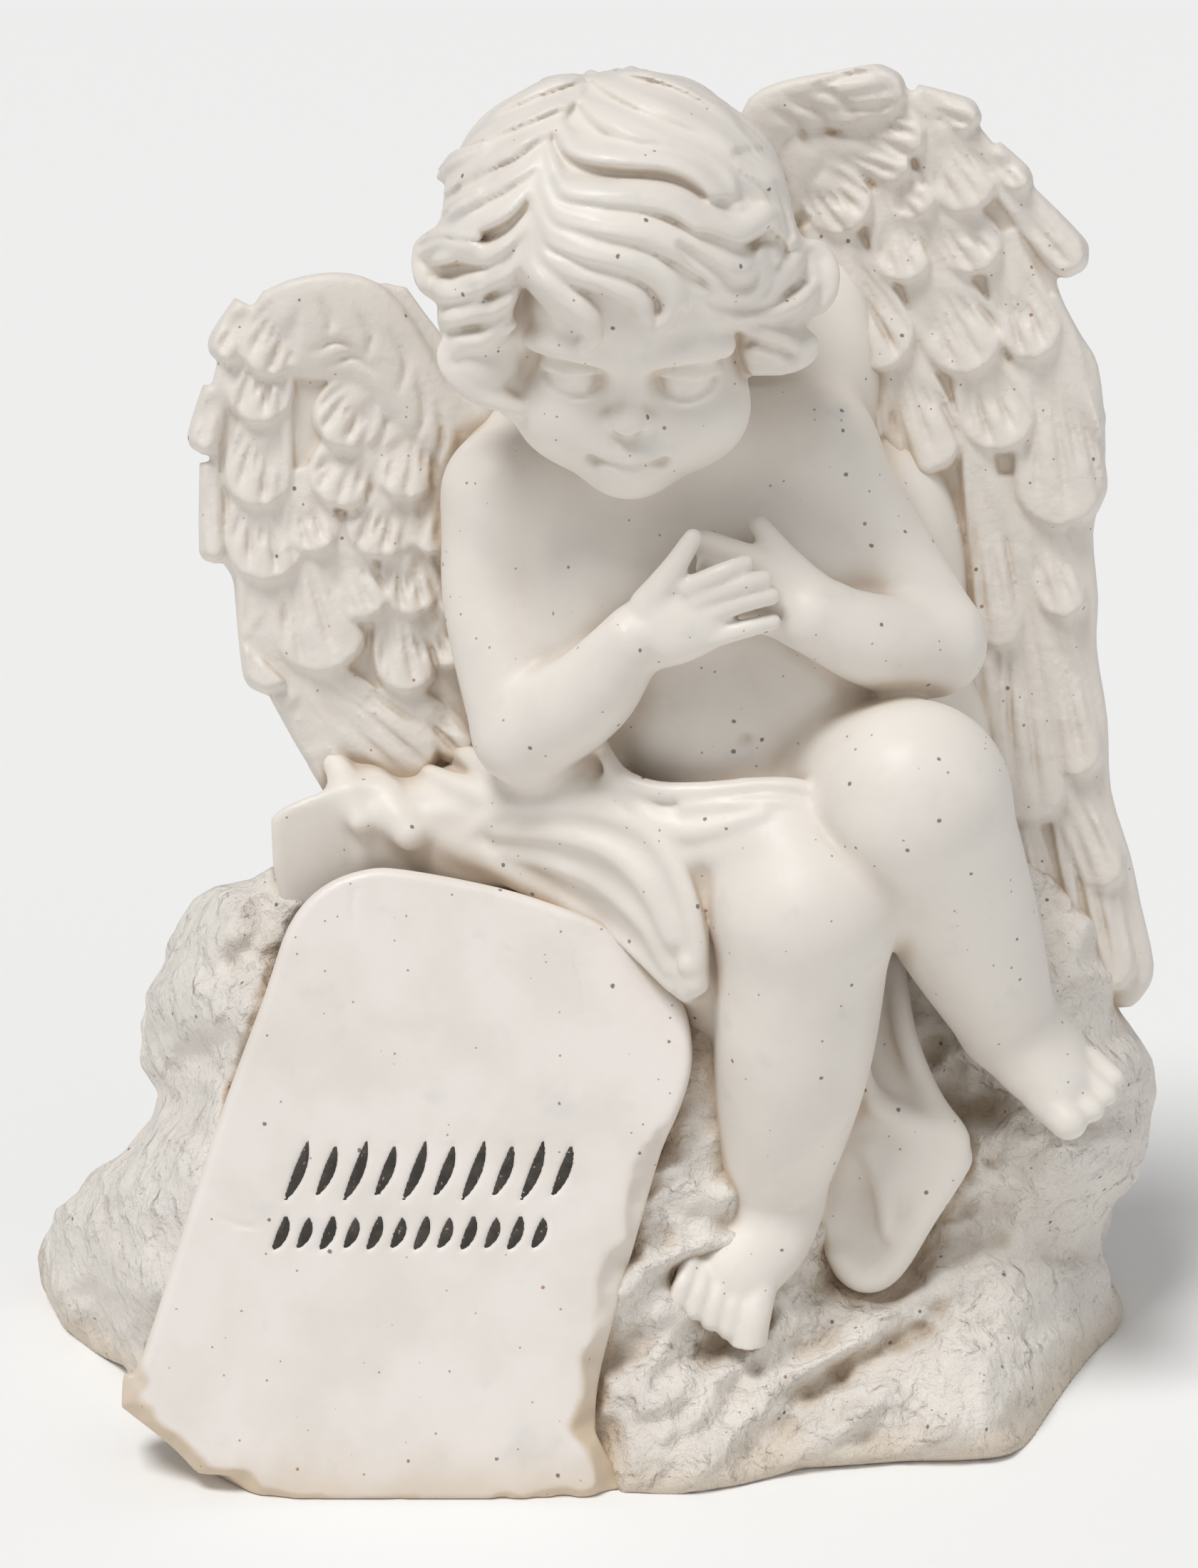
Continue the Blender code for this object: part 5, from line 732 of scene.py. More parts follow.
def build_cloth(clay):
    add_rods(clay, [
        # over the lap: a broad band, its creases, and the rolled edge against the belly
        ([(4, 97.5, 28), (12, 95.6, 24.8), (20, 96, 23), (28, 96, 21.8), (34, 93, 21)],
         [1.8, 3, 3.2, 2.8, 1], 3),
        ([(11, 91, 23.5), (18, 91.8, 21.5), (26, 92.6, 19.5), (33, 91.5, 18.8)], [1.6, 2.2, 2.4, 1], 3),
        ([(0.5, 106, 31), (3, 102, 27.4), (8, 99.9, 25), (15, 99.8, 23.6), (22, 100.4, 23),
          (28, 100.3, 22.6), (32, 98, 22.4), (34.6, 95, 21.6)], [1, 1.3, 1.4, 1.4, 1.4, 1.3, 1.2, 0.7],
         0.8),
        ([(1.6, 101.6, 29), (6.5, 97, 24.8), (11.5, 94.2, 22.2), (17, 94.8, 20.4), (23, 96.6, 19.8)],
         [1, 1.2, 1.2, 1.1, 0.7], 1.2),
        ([(12, 97.6, 22.6), (19, 98, 21.4), (26, 98.2, 20.8), (31, 96, 20.6)], [0.5, 0.8, 0.8, 0.4],
        1.2),
    ])
    # the web between the wing's tip and the hip
    clay.add(plate(Outline(WEB_CLOTH, 4), web_cloth_front, 14, 2.5), 2)
    add_rods(clay, [
        ([(-26, 103.4, 51), (-20, 100.6, 42), (-14, 98.6, 37), (-9, 98.6, 33)], [1.2, 1.6, 1.4, 0.8],
        2),
        ([(-19.5, 105, 50), (-12, 102, 37.6), (-5, 100.2, 32), (1, 98.4, 28)], [1.6, 2.2, 2.2, 1.6], 3),
    ])
    # the sweep over the hip, and its hanging corner
    clay.add(plate(Outline(HIP_CLOTH, 4), HIP_CLOTH_FRONT, 14, 2.0), 1.2)
    add_rods(clay, [
        ([(-17.5, 94.2, 38), (-11.5, 97.8, 33.4), (-3, 97.4, 28.8), (4, 95.6, 24.9), (8.6, 92.4, 22),
          (12.2, 86, 19.3), (13.8, 79, 18), (13.2, 73.2, 18.6)], [0.5, 0.7, 0.8, 0.8, 1, 1, 1.2,
          1.9], 2.4),
        ([(-14, 94, 35.4), (-6, 93.6, 29.8), (1, 91.4, 25.2), (6.4, 86.6, 21.8), (10, 79, 19.2)],
         [0.4, 0.8, 0.9, 0.9, 0.5], 2.6),
        ([(-13, 91, 35.4), (-5.6, 89.2, 30.4), (0.8, 86.2, 26.6), (6.4, 80.6, 22.4), (9.6, 75, 20.4)],
         [0.4, 0.7, 0.8, 0.7, 0.5], 2.2),
        ([(-16.6, 92, 37), (-10.4, 87.6, 34.4), (-4.6, 84, 31), (1, 80.6, 27.4), (6, 76.4, 24),
          (10.4, 72.6, 20.8)], [0.6, 0.7, 0.7, 0.7, 0.8, 1.1], 1.2),
    ])
    add_balls(clay, [
        ((12.4, 75.4, 17.6), (1.3, 1.3, 1.3), 1), ((13.8, 73, 18.4), (1.3, 1.3, 1.3), 1),
        ((12.2, 71.6, 18.8), (1.2, 1.2, 1.2), 1),
    ])
    add_rods(clay, [
        # the layer beneath it, between the tablet's top and the sheet
        ([(-20, 93, 40), (-13, 89, 36.6), (-7, 85.6, 33.6), (-1, 82.6, 30)], [1.6, 2, 1.8, 1], 2.4),
        ([(9, 93, 27), (12.5, 88, 24.5), (15, 80, 25), (15.6, 70, 28)], [2.5, 3, 3.5, 4], 2.5),
    ])
    # the flap over the rock's shoulder, and the wing's last feathers over its edge
    flap = [(-46, 96), (-44, 97.7), (-38, 100), (-32, 101), (-26, 98), (-26, 86), (-36, 84),
        (-44.5, 84)]
    clay.add(plate(Outline(flap, 2), flap_front, 14, 1.0), 1.0)
    add_rods(clay, [
        ([(-39.5, 110, 60), (-37.2, 104.6, 50.5), (-35, 99.6, 43.8), (-33.6, 95.4, 40.4)],
         [1.5, 2, 1.7, 1.2], 2.6),
        ([(-35, 106, 57), (-31.6, 101.4, 48), (-29, 97.4, 42.4), (-26.6, 93.8, 39.4)], [1.4, 2.2,
        2.6, 2.2],
         2.6),
    ])
    # the end that hangs between the shins
    clay.add(plate(Outline(SHIN_CLOTH, 4), SHIN_CLOTH_FRONT, 12, 2.0), 2)
    add_rods(clay, [
        ([(36, 66, 32), (37.5, 58, 30), (42, 54.5, 29.5), (49, 52, 30)], [1.2, 1.6, 1.8, 1.6], 2),
        ([(41.5, 76, 40), (43, 66, 36), (46, 58, 33), (50, 51, 30)], [1.4, 1.6, 1.6, 1.8], 2),
        ([(50.5, 48, 30), (46, 41, 29), (41, 33, 28.5), (37, 31.3, 28.5), (33.5, 35, 29)],
         [1.6, 1.8, 1.8, 1.6, 1.2], 2),
        ([(38, 50, 30), (40, 44, 28.6), (40.5, 38, 28)], [0.8, 1.3, 0.8], 2.5),
    ])


# Carving over a form


class Carving:
    """A shallow carving in the front view: its heights, and the distance to its outline."""

    def __init__(self, outline):
        self.across, self.up = table_places(FINE_STEP)
        self.height = np.zeros(self.across.shape, np.float32)
        self.lines = np.zeros(self.across.shape, np.float32)
        self.outline = outline(self.across, self.up)

    def window(self, places, reach):
        """The table's slices around places, and the across and up there."""
        places = np.array([tuple(p[:2]) for p in places], float)
        first = np.floor((places.min(axis=0) - reach - TABLE_LOW) / FINE_STEP).astype(int)
        last = np.ceil((places.max(axis=0) + reach - TABLE_LOW) / FINE_STEP).astype(int)
        slices = tuple(slice(max(a, 0), b) for a, b in zip(first, last))
        return slices, self.across[slices], self.up[slices]

    def paint(self, slices, height, lines, inside, edge):
        """Lays a height and its fine lines over what is there, inside their own edge."""
        cover = smooth_step(inside / edge)
        self.height[slices] = self.height[slices] * (1 - cover) + height * cover
        self.lines[slices] = self.lines[slices] * (1 - cover) + lines * cover

    def add_feather(self, root, tip, half_width, turn):
        """A shingle: low at its root, domed, round at its tip, with grooves that fan out from the root."""
        way = Vector(tip) - Vector(root)
        root = Vector(root) - way * 0.35
        way = Vector(tip) - root
        slices, across, up = self.window((root, tip), half_width * 1.6)
        length = way.length
        x, y = across - root[0], up - root[1]
        along = (x * way.x + y * way.y) / length
        aside = (y * way.x - x * way.y) / length
        centre = length - half_width * 0.95
        width = half_width * (0.72 + 0.28 * smooth_step(along / max(centre, 1)))
        beyond = np.maximum(along - centre, 0)
        share = np.clip(along / length, 0, 1)
        count = 4 if half_width < 3.6 else 6
        grooves = np.zeros(across.shape)
        notches = np.zeros(across.shape)
        for k in range(count):
            wave = math.sin(7.3 * k + 3.1 * turn)
            line = -0.80 + 1.60 * k / (count - 1) + 0.09 * wave
            bow = 1 + 0.16 * np.sin(math.pi * share)
            gap = aside - line * width * (0.30 + 0.66 * share) * bow
            start, end = 0.30 + 0.10 * wave, (0.78, 0.99)[k % 2] + 0.06 * math.sin(5.1 * k + turn)
            present = smooth_step((share - start) / 0.25) * smooth_step((end - share) / 0.25)
            sharp = 1 / (1 + (gap / GROOVE_WIDTH) ** 4)
            grooves = np.maximum(grooves, present * sharp * (0.75 + 0.25 * wave))
            notches = np.maximum(notches, sharp * (0.16 if k % 2 else 0.0))
        inside = width - np.sqrt(aside**2 + beyond**2) - notches * (beyond > 0) * min(GROOVE_DEPTH, 1)
        inside = np.minimum(inside, along + 1)
        dome = 1 - 0.34 * np.clip(np.abs(aside) / width, 0, 1) ** 2.2
        lift = 0.30 + 0.70 * share**1.4
        self.paint(slices, FEATHER_LIFT * lift * dome, grooves, inside, FEATHER_EDGE)
        shown = np.minimum(inside, along - 0.26 * length)
        self.outline[slices] = np.minimum(self.outline[slices], -shown)

    def add_swell(self, path, radius, height):
        """A rounded ridge along a path."""
        path = smooth_path(path, 6)
        slices, across, up = self.window(path, radius)
        nearest = self.along_path(path, across, up)[0]
        swell = height * np.sqrt(np.clip(1 - (nearest / radius) ** 2, 0, 1))
        self.height[slices] = np.maximum(self.height[slices], swell)

    def along_path(self, path, across, up):
        """The distance to a path, the side it lies on, how far along it is, and how level the path runs."""
        nearest = np.full(across.shape, 1e9)
        side, share_along, level = (np.zeros(across.shape) for _ in range(3))
        count = len(path) - 1
        for i, ((ax, ay), (bx, by)) in enumerate(zip(path[:-1], path[1:])):
            ex, ey = bx - ax, by - ay
            share = np.clip(((across - ax) * ex + (up - ay) * ey) / (ex * ex + ey * ey), 0, 1)
            x, y = across - ax - share * ex, up - ay - share * ey
            gap = np.sqrt(x * x + y * y)
            closer = gap < nearest
            side = np.where(closer, (y * ex - x * ey) / math.hypot(ex, ey), side)
            share_along = np.where(closer, (i + share) / count, share_along)
            level = np.where(closer, ex / math.hypot(ex, ey), level)
            nearest = np.minimum(nearest, gap)
        return nearest, side, share_along, level

    def add_lock(self, path, half_width, height, turn):
        """A lock of hair: crest toward its lower edge, tapering at both ends, with fine lines along it."""
        path = smooth_path(path, 6)
        slices, across, up = self.window(path, half_width * 1.2)
        nearest, side, share, level = self.along_path(path, across, up)
        width = half_width * np.sqrt(np.clip(0.18 + 3.2 * share * (1.16 - share), 0, 1))
        inside = width - nearest
        down = np.clip(-side * level / np.maximum(width, 0.1), -1, 1)
        middle = np.clip(nearest / np.maximum(width, 0.1), 0, 1)
        crest = 1 - 0.50 * middle**2 + 0.26 * down
        fade = 0.40 + 0.60 * smooth_step(share / 0.35)
        form = height * crest * fade
        lines = np.zeros(across.shape)
        for k in range(3):
            place = (-0.62, -0.12, 0.40)[k] + 0.10 * math.sin(4.7 * k + turn)
            gap = side - place * width
            start, end = 0.05 + 0.12 * ((k + turn) % 3), 0.70 + 0.12 * ((k * 2 + turn) % 3)
            present = smooth_step((share - start) / 0.2) * smooth_step((end - share) / 0.2)
            lines = np.maximum(lines, present * (0.9, 0.6, 0.75)[k] / (1 + (gap / GROOVE_WIDTH) ** 4))
        self.paint(slices, form, lines, inside, 1.1)

    def score(self, path, width, depth):
        """A groove cut along a path, tapering at both ends."""
        path = smooth_path(path, 5)
        slices, across, up = self.window(path, width * 3)
        nearest, _, share, _ = self.along_path(path, across, up)
        strength = np.sin(math.pi * np.clip(share, 0.05, 0.95)) ** 0.6
        cut = depth * strength * np.exp(-((nearest / width) ** 2))
        self.height[slices] -= cut.astype(np.float32)


# The head

HEAD_PITCH = math.radians(20)
HEAD_TURN = math.radians(3.5)
HEAD_MIDDLE = seen(5.2, 174.7, 31)
HEAD_UP = Vector((0, -math.sin(HEAD_PITCH), math.cos(HEAD_PITCH)))
HEAD_FORWARD = Matrix.Rotation(-HEAD_TURN, 3,
    HEAD_UP) @ HEAD_UP.cross(Vector((1, 0, 0))).normalized() * -1
HEAD_RIGHT = HEAD_FORWARD.cross(HEAD_UP)
HEAD_AXES = (HEAD_RIGHT, HEAD_UP, HEAD_FORWARD)
HAIR_RADII = np.array((22.8, 19.2, 22.6))
HAIR_MIDDLE = HEAD_MIDDLE + HEAD_UP * 4.3 - HEAD_FORWARD * 1.8 - Vector((2.8, 0, 0))


def on_head(right, up, forward):
    return HEAD_MIDDLE + HEAD_RIGHT * right + HEAD_UP * up + HEAD_FORWARD * forward


def head_ball(right, up, forward, radii):
    return ball(on_head(right, up, forward), radii, HEAD_AXES)


def build_face(clay):
    for place, radii, blend in (
        ((-0.6, 0, -4), (18, 15.5, 18), 0), ((0, -8, 4.5), (15.2, 15.5, 13.4), 4),
        ((0, 1, 8.8), (14.4, 9, 11.4), 4), ((0, -19.5, 8.8), (13.2, 8.8, 9), 4),
        ((0, -24.2, 13.6), (5.4, 3.6, 5), 3), ((0, -18.4, 14.4), (6.8, 4.4, 4.8), 3.5),
    ):
        clay.add(head_ball(*place, radii), blend)
    for side in (-1, 1):
        clay.add(head_ball(side * 8.6, -15.8, 11, (7.2, 7.4, 7.4)), 3)
        brow = [(side * 2.4, -4.8, 17.2), (side * 7, -2.8, 18), (side * 12.2, -4.2, 14.4)]
        clay.add(rod([on_head(*place) for place in brow], [1.5, 2, 1.5]), 2.2)
        clay.cut(head_ball(side * 7.1, -8.4, 20, (5.4, 3.5, 5)), 1.2)
        build_eye(clay, side)
    build_nose(clay)
    build_mouth(clay)


def head_rod(places, radii, flat=1.0):
    return rod([on_head(*place) for place in places], radii, flat=flat, facing=HEAD_FORWARD)


EYE_BALL = 3.8
EYE_LID = 1.05


def lid_form(side, edge, upwards):
    """A lid: a shell over the eyeball on one side of a plane through its middle."""
    middle = on_head(*eye_place(side))
    lean = math.radians(edge)
    plane = (HEAD_UP * math.cos(lean) - HEAD_FORWARD * math.sin(lean)) * (-1 if upwards else 1)
    plane = np.array(plane)
    (low, high, shell), = ball(middle, [EYE_BALL + EYE_LID] * 3, HEAD_AXES)

    def distance(x, y, z):
        side_gap = (x - middle.x) * plane[0] + (y - middle.y) * plane[1] + (z - middle.z) * plane[2]
        return np.maximum(shell(x, y, z), side_gap)

    return [(low, high, distance)]


def eye_place(side):
    return (side * 7.1, -8.6, 13.7)


def build_eye(clay, side):
    clay.add(ball(on_head(*eye_place(side)), [EYE_BALL] * 3, HEAD_AXES), 0.1)
    clay.add(lid_form(side, 17, True), 0.3)
    clay.add(lid_form(side, -30, False), 0.5)
    clay.cut(head_ball(side * 7.1, -9.3, 17.8, (0.75, 0.75, 0.75)), 0.3)


def build_nose(clay):
    clay.add(head_rod([(0, -6.0, 15.6), (0, -9.4, 16.6), (0, -12.2, 18.6)], [1.8, 1.4, 1.5]), 2.2)
    clay.add(head_ball(0, -13.1, 19.2, (2.2, 1.9, 2.0)), 1.2)
    for side in (-1, 1):
        clay.add(head_ball(side * 2.3, -13.8, 17.9, (1.35, 1.3, 1.6)), 0.7)
        clay.cut(head_ball(side * 1.15, -14.9, 19.3, (0.6, 0.45, 0.7)), 0.5)


def build_mouth(clay):
    upper = [
        (-3.8, -19.2, 17.4), (-2.2, -18.3, 18.7), (-0.9, -17.8, 19.3), (0, -18.1, 19.4),
        (0.9, -17.8, 19.3),
        (2.2, -18.3, 18.7), (3.8, -19.2, 17.4),
    ]
    clay.add(head_rod(upper, [0.5, 1.0, 1.3, 1.15, 1.3, 1.0, 0.5]), 0.7)
    lower = [(-3.0, -20.1, 17.5), (-1.3, -20.7, 18.5), (0, -20.8, 18.8), (1.3, -20.7, 18.5),
        (3.0, -20.1, 17.5)]
    clay.add(head_rod(lower, [0.6, 1.35, 1.45, 1.35, 0.6]), 0.7)
    line = [(-4.3, -20.2, 17.9), (-1.7, -19.4, 19.8), (0, -19.5, 20.3), (1.7, -19.4, 19.8),
        (4.3, -20.2, 17.9)]
    clay.cut(head_rod(line, [0.45, 0.42, 0.42, 0.42, 0.45]), 0.4)
    for side in (-1, 1):
        clay.cut(head_ball(side * 4.8, -20.1, 18.3, (0.7, 0.9, 1.0)), 1.0)


HAIR_STROKES = [
    # path as seen, half width, height; each lies over those before it
    ([(-0.5, 200.8), (5.5, 200), (10.7, 198.7), (15.2, 196), (18.6, 192.4)], 3, 2.4),
    ([(-0.5, 200), (6, 197.5), (12, 194.8), (18, 191), (23, 187.6), (26.5, 185)], 3.2, 2.2),
    ([(19.6, 189), (24, 187.4), (27, 185), (27.6, 181), (27.8, 176.5)], 3, 2.4),
    ([(-2.6, 197), (2, 194), (8, 191.6), (13.7, 189.6), (17, 186), (17.4, 182)], 3, 2.2),
    ([(-5.6, 193.9), (-3.4, 190.2), (3.3, 189), (9.2, 188.6), (13.7, 186.8), (17, 183.8),
    (16.2, 181)], 2.6,
     2.6),
    ([(16, 182.4), (20, 181.4), (24, 180.6), (26, 178)], 1.9, 2),
    ([(-7.5, 190.9), (-5.6, 185), (0.3, 183.4), (5.5, 183.3), (10.7, 182.4), (15.2, 179.8),
    (19.6, 178.8),
      (23.5, 180.6)], 2.9, 2.8),
    ([(14, 178), (18, 175.6), (22, 174.4), (24.4, 175.6)], 2, 2.2),
    ([(-8.4, 188), (-6.4, 181.4), (-0.5, 179.6), (6, 178.6), (11.6, 176.2), (16.4, 173.8),
    (21.5, 173.2),
      (23.8, 174.8)], 3, 2.9),
    ([(10.6, 173.4), (14, 169.6), (18.4, 167), (22, 168), (24.6, 171), (28, 174.6)], 2.4, 2.4),
    ([(15.6, 168.6), (19, 166.4), (23.6, 166.6), (28, 168.6), (31.5, 171.5)], 2.1, 2.6),
    ([(19.6, 164.6), (23, 164.4), (27, 162.8), (29.4, 161.4)], 1.9, 2.4),
    ([(20.2, 161.8), (23, 161.4), (26.4, 160)], 1.6, 2),
    ([(11.4, 176.4), (15.2, 172.8), (18.4, 169.8), (21.4, 169.8), (23.2, 172.6), (23, 175.4)], 2, 2.6),
    ([(-9.2, 184), (-7.4, 178.6), (-2.6, 176.2), (3, 174.8), (7.8, 172.6), (10.4, 169.4), (10.4, 166.4),
      (8, 164.6)], 2.7, 2.8),
    ([(-9.6, 180.6), (-8.2, 175), (-3.4, 172.6), (1.8, 171), (5.6, 168.8), (6.6, 166)], 2.3, 2.4),
    ([(-10, 178.4), (-9.2, 173.4), (-6, 169.8), (-2.6, 167), (-0.6, 163.8), (-2.2, 161.6)], 2.6, 2.8),
    ([(-1, 201), (-4.5, 200.4), (-9, 198.8), (-13.4, 195.2), (-17, 191.4)], 2.6, 2.2),
    ([(-2.4, 198.6), (-6.5, 195.8), (-12, 193.6), (-17, 190.8), (-21.6, 187.6)], 2.6, 2.4),
    ([(-5, 195), (-9.4, 191.6), (-14.6, 189.4), (-19.8, 185.6), (-21.4, 182)], 2.6, 2.5),
    ([(-7.4, 191), (-11.6, 186.4), (-16.8, 184), (-20.5, 181.4), (-21.2, 178.6)], 2.5, 2.4),
    ([(-8.8, 186.2), (-13, 182), (-17.6, 179.8), (-21.4, 178.4), (-24.2, 176.6)], 2.5, 2.6),
    ([(-9.8, 180.6), (-12.4, 176.6), (-16, 175.2), (-19.8, 175.8), (-23.4, 174.6)], 2.3, 2.5),
    ([(-10.2, 177.4), (-13, 173), (-16.8, 171.2), (-20.6, 170), (-23, 170.6)], 2.4, 2.4),
    ([(-11.6, 170.8), (-13.8, 167.8), (-18.4, 167), (-21.2, 166.2)], 2.3, 2.3),
    ([(-12.4, 167), (-15.4, 163.4), (-19.6, 162.6), (-21.4, 161)], 2.2, 2.3),
]
CURLS = [
    # places (across, up, height over the hair's mass) along a free lock, thickest radius
    ([(17, 166.6, 0), (21.4, 165.8, 1), (26, 167.4, 1.6), (31, 168.4, 2), (32.4, 172, 2),
      (30.8, 175.2, 1.6), (27.6, 175.4, 1.4), (26.6, 172.4, 1.8), (28.8, 171.2, 2)], 1.7),
    (
     [(20, 164, -1), (23.4, 164.6, 0.4), (27.6, 163, 1), (29, 161.6, 0.6), (26.4, 160, 0),
     (22, 159.4, -1)],
     2),
    ([(-17.4, 177, 0.6), (-21.6, 177.4, 1), (-24.4, 175.4, 1.2), (-24.2, 171.6, 1), (-21, 170, 1),
      (-16.6, 171, 0.6)], 1.9),
    ([(-12.8, 165.6, 0), (-17.6, 163.4, 0.8), (-20.8, 161.4, 1), (-20.4, 158.6, 1), (-16.6, 155.4, 0),
      (-11.2, 153.6, -0.6)], 1.9),
    ([(-12.2, 161.4, -0.5), (-15.2, 160, 0.6), (-16, 157.6, 0.6), (-13.2, 155, 0)], 1.4),
    ([(-16, 189.8, 0.6), (-19.6, 188.2, 1), (-21.9, 186.4, 0.4)], 1.6),
    ([(-17, 183.4, 0.8), (-19.8, 181.6, 1), (-21.3, 179.4, 0.4)], 1.6),
    ([(-16.4, 168.6, 0.6), (-19.4, 167.2, 1), (-21.2, 165.4, 0.4)], 1.5),
]
FACE_OPENING = [
    # the edge between hair and face as seen, with the tips of the fringe, closed below the chin
    (-10.5, 153), (-11.2, 158.1), (-12.4, 161.5), (-12.2, 167), (-10.6, 170.8), (-8.2, 168.2),
    (-6, 164.4),
    (-3.8, 161.2), (-1.2, 161), (0.5, 163), (0.6, 166), (2.4, 164.8), (3.6, 166.6), (6, 165.6),
    (8, 163.8),
    (10.4, 164.6), (11.6, 167.4), (13.7, 167), (16.7, 165.4), (19.6, 164.6), (19.8, 161), (20.2, 158),
    (20, 140), (-10, 140),
]
OPENING_DEPTH = 1.5


def on_hair(across, up, height=0.0):
    """Where the line of sight at (across, up) meets the hair's round mass, or passes nearest."""
    ray = unit(seen(across, up, 40) - EYE)
    radii = HAIR_RADII + height
    turn = np.array([tuple(a) for a in HEAD_AXES])
    start = turn @ np.array(EYE - HAIR_MIDDLE) / radii
    way = turn @ np.array(ray) / radii
    a, b, c = way @ way, start @ way, start @ start - 1
    inside = b * b - a * c
    share = (-b - math.sqrt(inside)) / a if inside > 0 else -b / a
    return EYE + ray * share


def away_from_head(place):
    return Vector(place) - HAIR_MIDDLE


def hair_form():
    """The hair's round mass with its locks carved over it, open at the face."""
    carving = Carving(Outline(FACE_OPENING, 1))
    for turn, (path, half_width, height) in enumerate(HAIR_STROKES):
        carving.add_lock(path, half_width, height, turn)
    heights, lines, opening = carving.height, carving.lines, carving.outline.astype(np.float32)
    masses = (
        ball(HAIR_MIDDLE, HAIR_RADII - 1.2, HEAD_AXES)
        + ball(seen(-13.5, 167.5, 30), (8.6, 12, 10), HEAD_AXES)
        + ball(seen(20.6, 168.4, 30), (8.8, 9.6, 10), HEAD_AXES)
    )
    lows, highs, (crown, left, right) = zip(*masses)
    low, high = np.min(lows, axis=0), np.max(highs, axis=0)
    middle, ahead, forward = (np.array(v) for v in (HAIR_MIDDLE, SIGHT_AHEAD, HEAD_FORWARD))

    def distance(x, y, z):
        across, up = front_view(x, y, z)
        gap = (x - middle[0], y - middle[1], z - middle[2])
        nearer = -sum(g * a for g, a in zip(gap, ahead))
        reach = sum(g * a for g, a in zip(gap, forward))
        raised = read_table(heights, across, up, FINE_STEP) * smooth_step((nearer + 4) / 7)
        raised = raised * (0.55 + 0.45 * smooth_step(nearer / 8))
        facing = smooth_step((nearer - 2) / 8)
        raised = raised - STRAND_DEPTH * read_table(lines, across, up, FINE_STEP) * facing
        form = smooth_min(smooth_min(crown(x, y, z), left(x, y, z), 4), right(x, y, z), 4) - raised
        cutter = np.maximum(read_table(opening, across, up, FINE_STEP), OPENING_DEPTH - reach)
        return -smooth_min(-form, cutter, 1.2)

    return [(low - 4, high + 4, distance)]


def build_hair(clay):
    clay.add(hair_form(), 0.6)
    # plain locks down the back of the head
    for i in range(13):
        turn = math.radians(-108 + 18 * i)
        path = []
        for tilt in (80, 52, 24, -4, -30, -46):
            lean, swing = math.radians(tilt), turn + 0.10 * math.sin(tilt / 11 + i * 2)
            around = HEAD_RIGHT * math.sin(swing) - HEAD_FORWARD * math.cos(swing)
            way = around * math.cos(lean) + HEAD_UP * math.sin(lean)
            spread = [way.dot(axis) * r for axis, r in zip(HEAD_AXES, HAIR_RADII - 2.4)]
            path.append(HAIR_MIDDLE + sum((a * d for a, d in zip(HEAD_AXES, spread)), Vector()))
        sizes = [(3.6, 3.1)[i % 2] * s for s in (0.4, 0.95, 1.05, 1.0, 0.85, 0.45)]
        clay.add(rod(path, sizes, flat=0.8, facing=away_from_head, ridges=(3, RIDGE_DEPTH)), 0.9)
    for place, radii, blend in (
        (on_hair(28.6, 171.4, -1), (3, 3.4, 2.6), 1.5), (on_hair(-20.6, 173.6, -1), (3, 3.4, 3), 1.5),
        (on_hair(-16.2, 159.6), (4.2, 4.4, 4), 2), (seen(-11.6, 163.5, 26.5), (3.4, 7.5, 4.5), 2),
        (seen(-11.2, 165.8, 24.2), (2.8, 5.2, 4.2), 1.5), (seen(-11.9, 156.2, 26.4), (3, 3.8, 4), 1.5),
        (seen(-13.6, 179.8, 22.2), (3.4, 3, 3.6), 1.5),
    ):
        clay.add(ball(place, radii, HEAD_AXES), blend)
    for places, radius in CURLS:
        path = [on_hair(*place) for place in places]
        steps = [math.pi * (0.12 + 0.76 * i / (len(path) - 1)) for i in range(len(path))]
        sizes = [radius * (0.55 + 0.5 * math.sin(step)) for step in steps]
        clay.add(rod(path, sizes, flat=0.85, facing=away_from_head, ridges=(2, RIDGE_DEPTH)), 1.0)


# The wings


def left_wing_depth(across, up):
    return 50 + 0.010 * (up - 140) + 0.012 * (across + 38) ** 2 * 0.3


def right_wing_depth(across, up):
    return 55 + 0.0012 * (across - 50) ** 2 - 0.02 * (up - 140)


LEFT_WING_OUTLINE = [
    (-12, 150), (-20, 156), (-22, 159), (-25, 164), (-28.5, 169), (-33, 172), (-39, 172.5),
    (-46, 170.5),
    (-50, 166), (-53, 161.5), (-55, 153), (-54.5, 147), (-54.5, 135), (-51.5, 130), (-50, 123),
    (-48, 116),
    (-43, 113), (-39, 107.5), (-36.3, 101), (-34, 94), (-28, 91), (-24, 98), (-14, 104), (-12, 120),
]
RIGHT_WING_OUTLINE = [
    (19, 190), (21, 197), (28, 200), (39, 201), (43, 198.5), (48, 196), (53, 193.5), (59, 185),
    (62.5, 178.5), (64.5, 170), (67.5, 164), (70, 159.5), (71, 150), (70.7, 143), (69.3, 136),
    (70, 127),
    (69.8, 120), (71.3, 110), (71.8, 100), (74.5, 91), (76, 84), (77.8, 75.5), (76.5, 71.5), (73, 69.5),
    (64, 74), (54, 86), (46, 104), (40, 130), (22, 150), (18, 170),
]

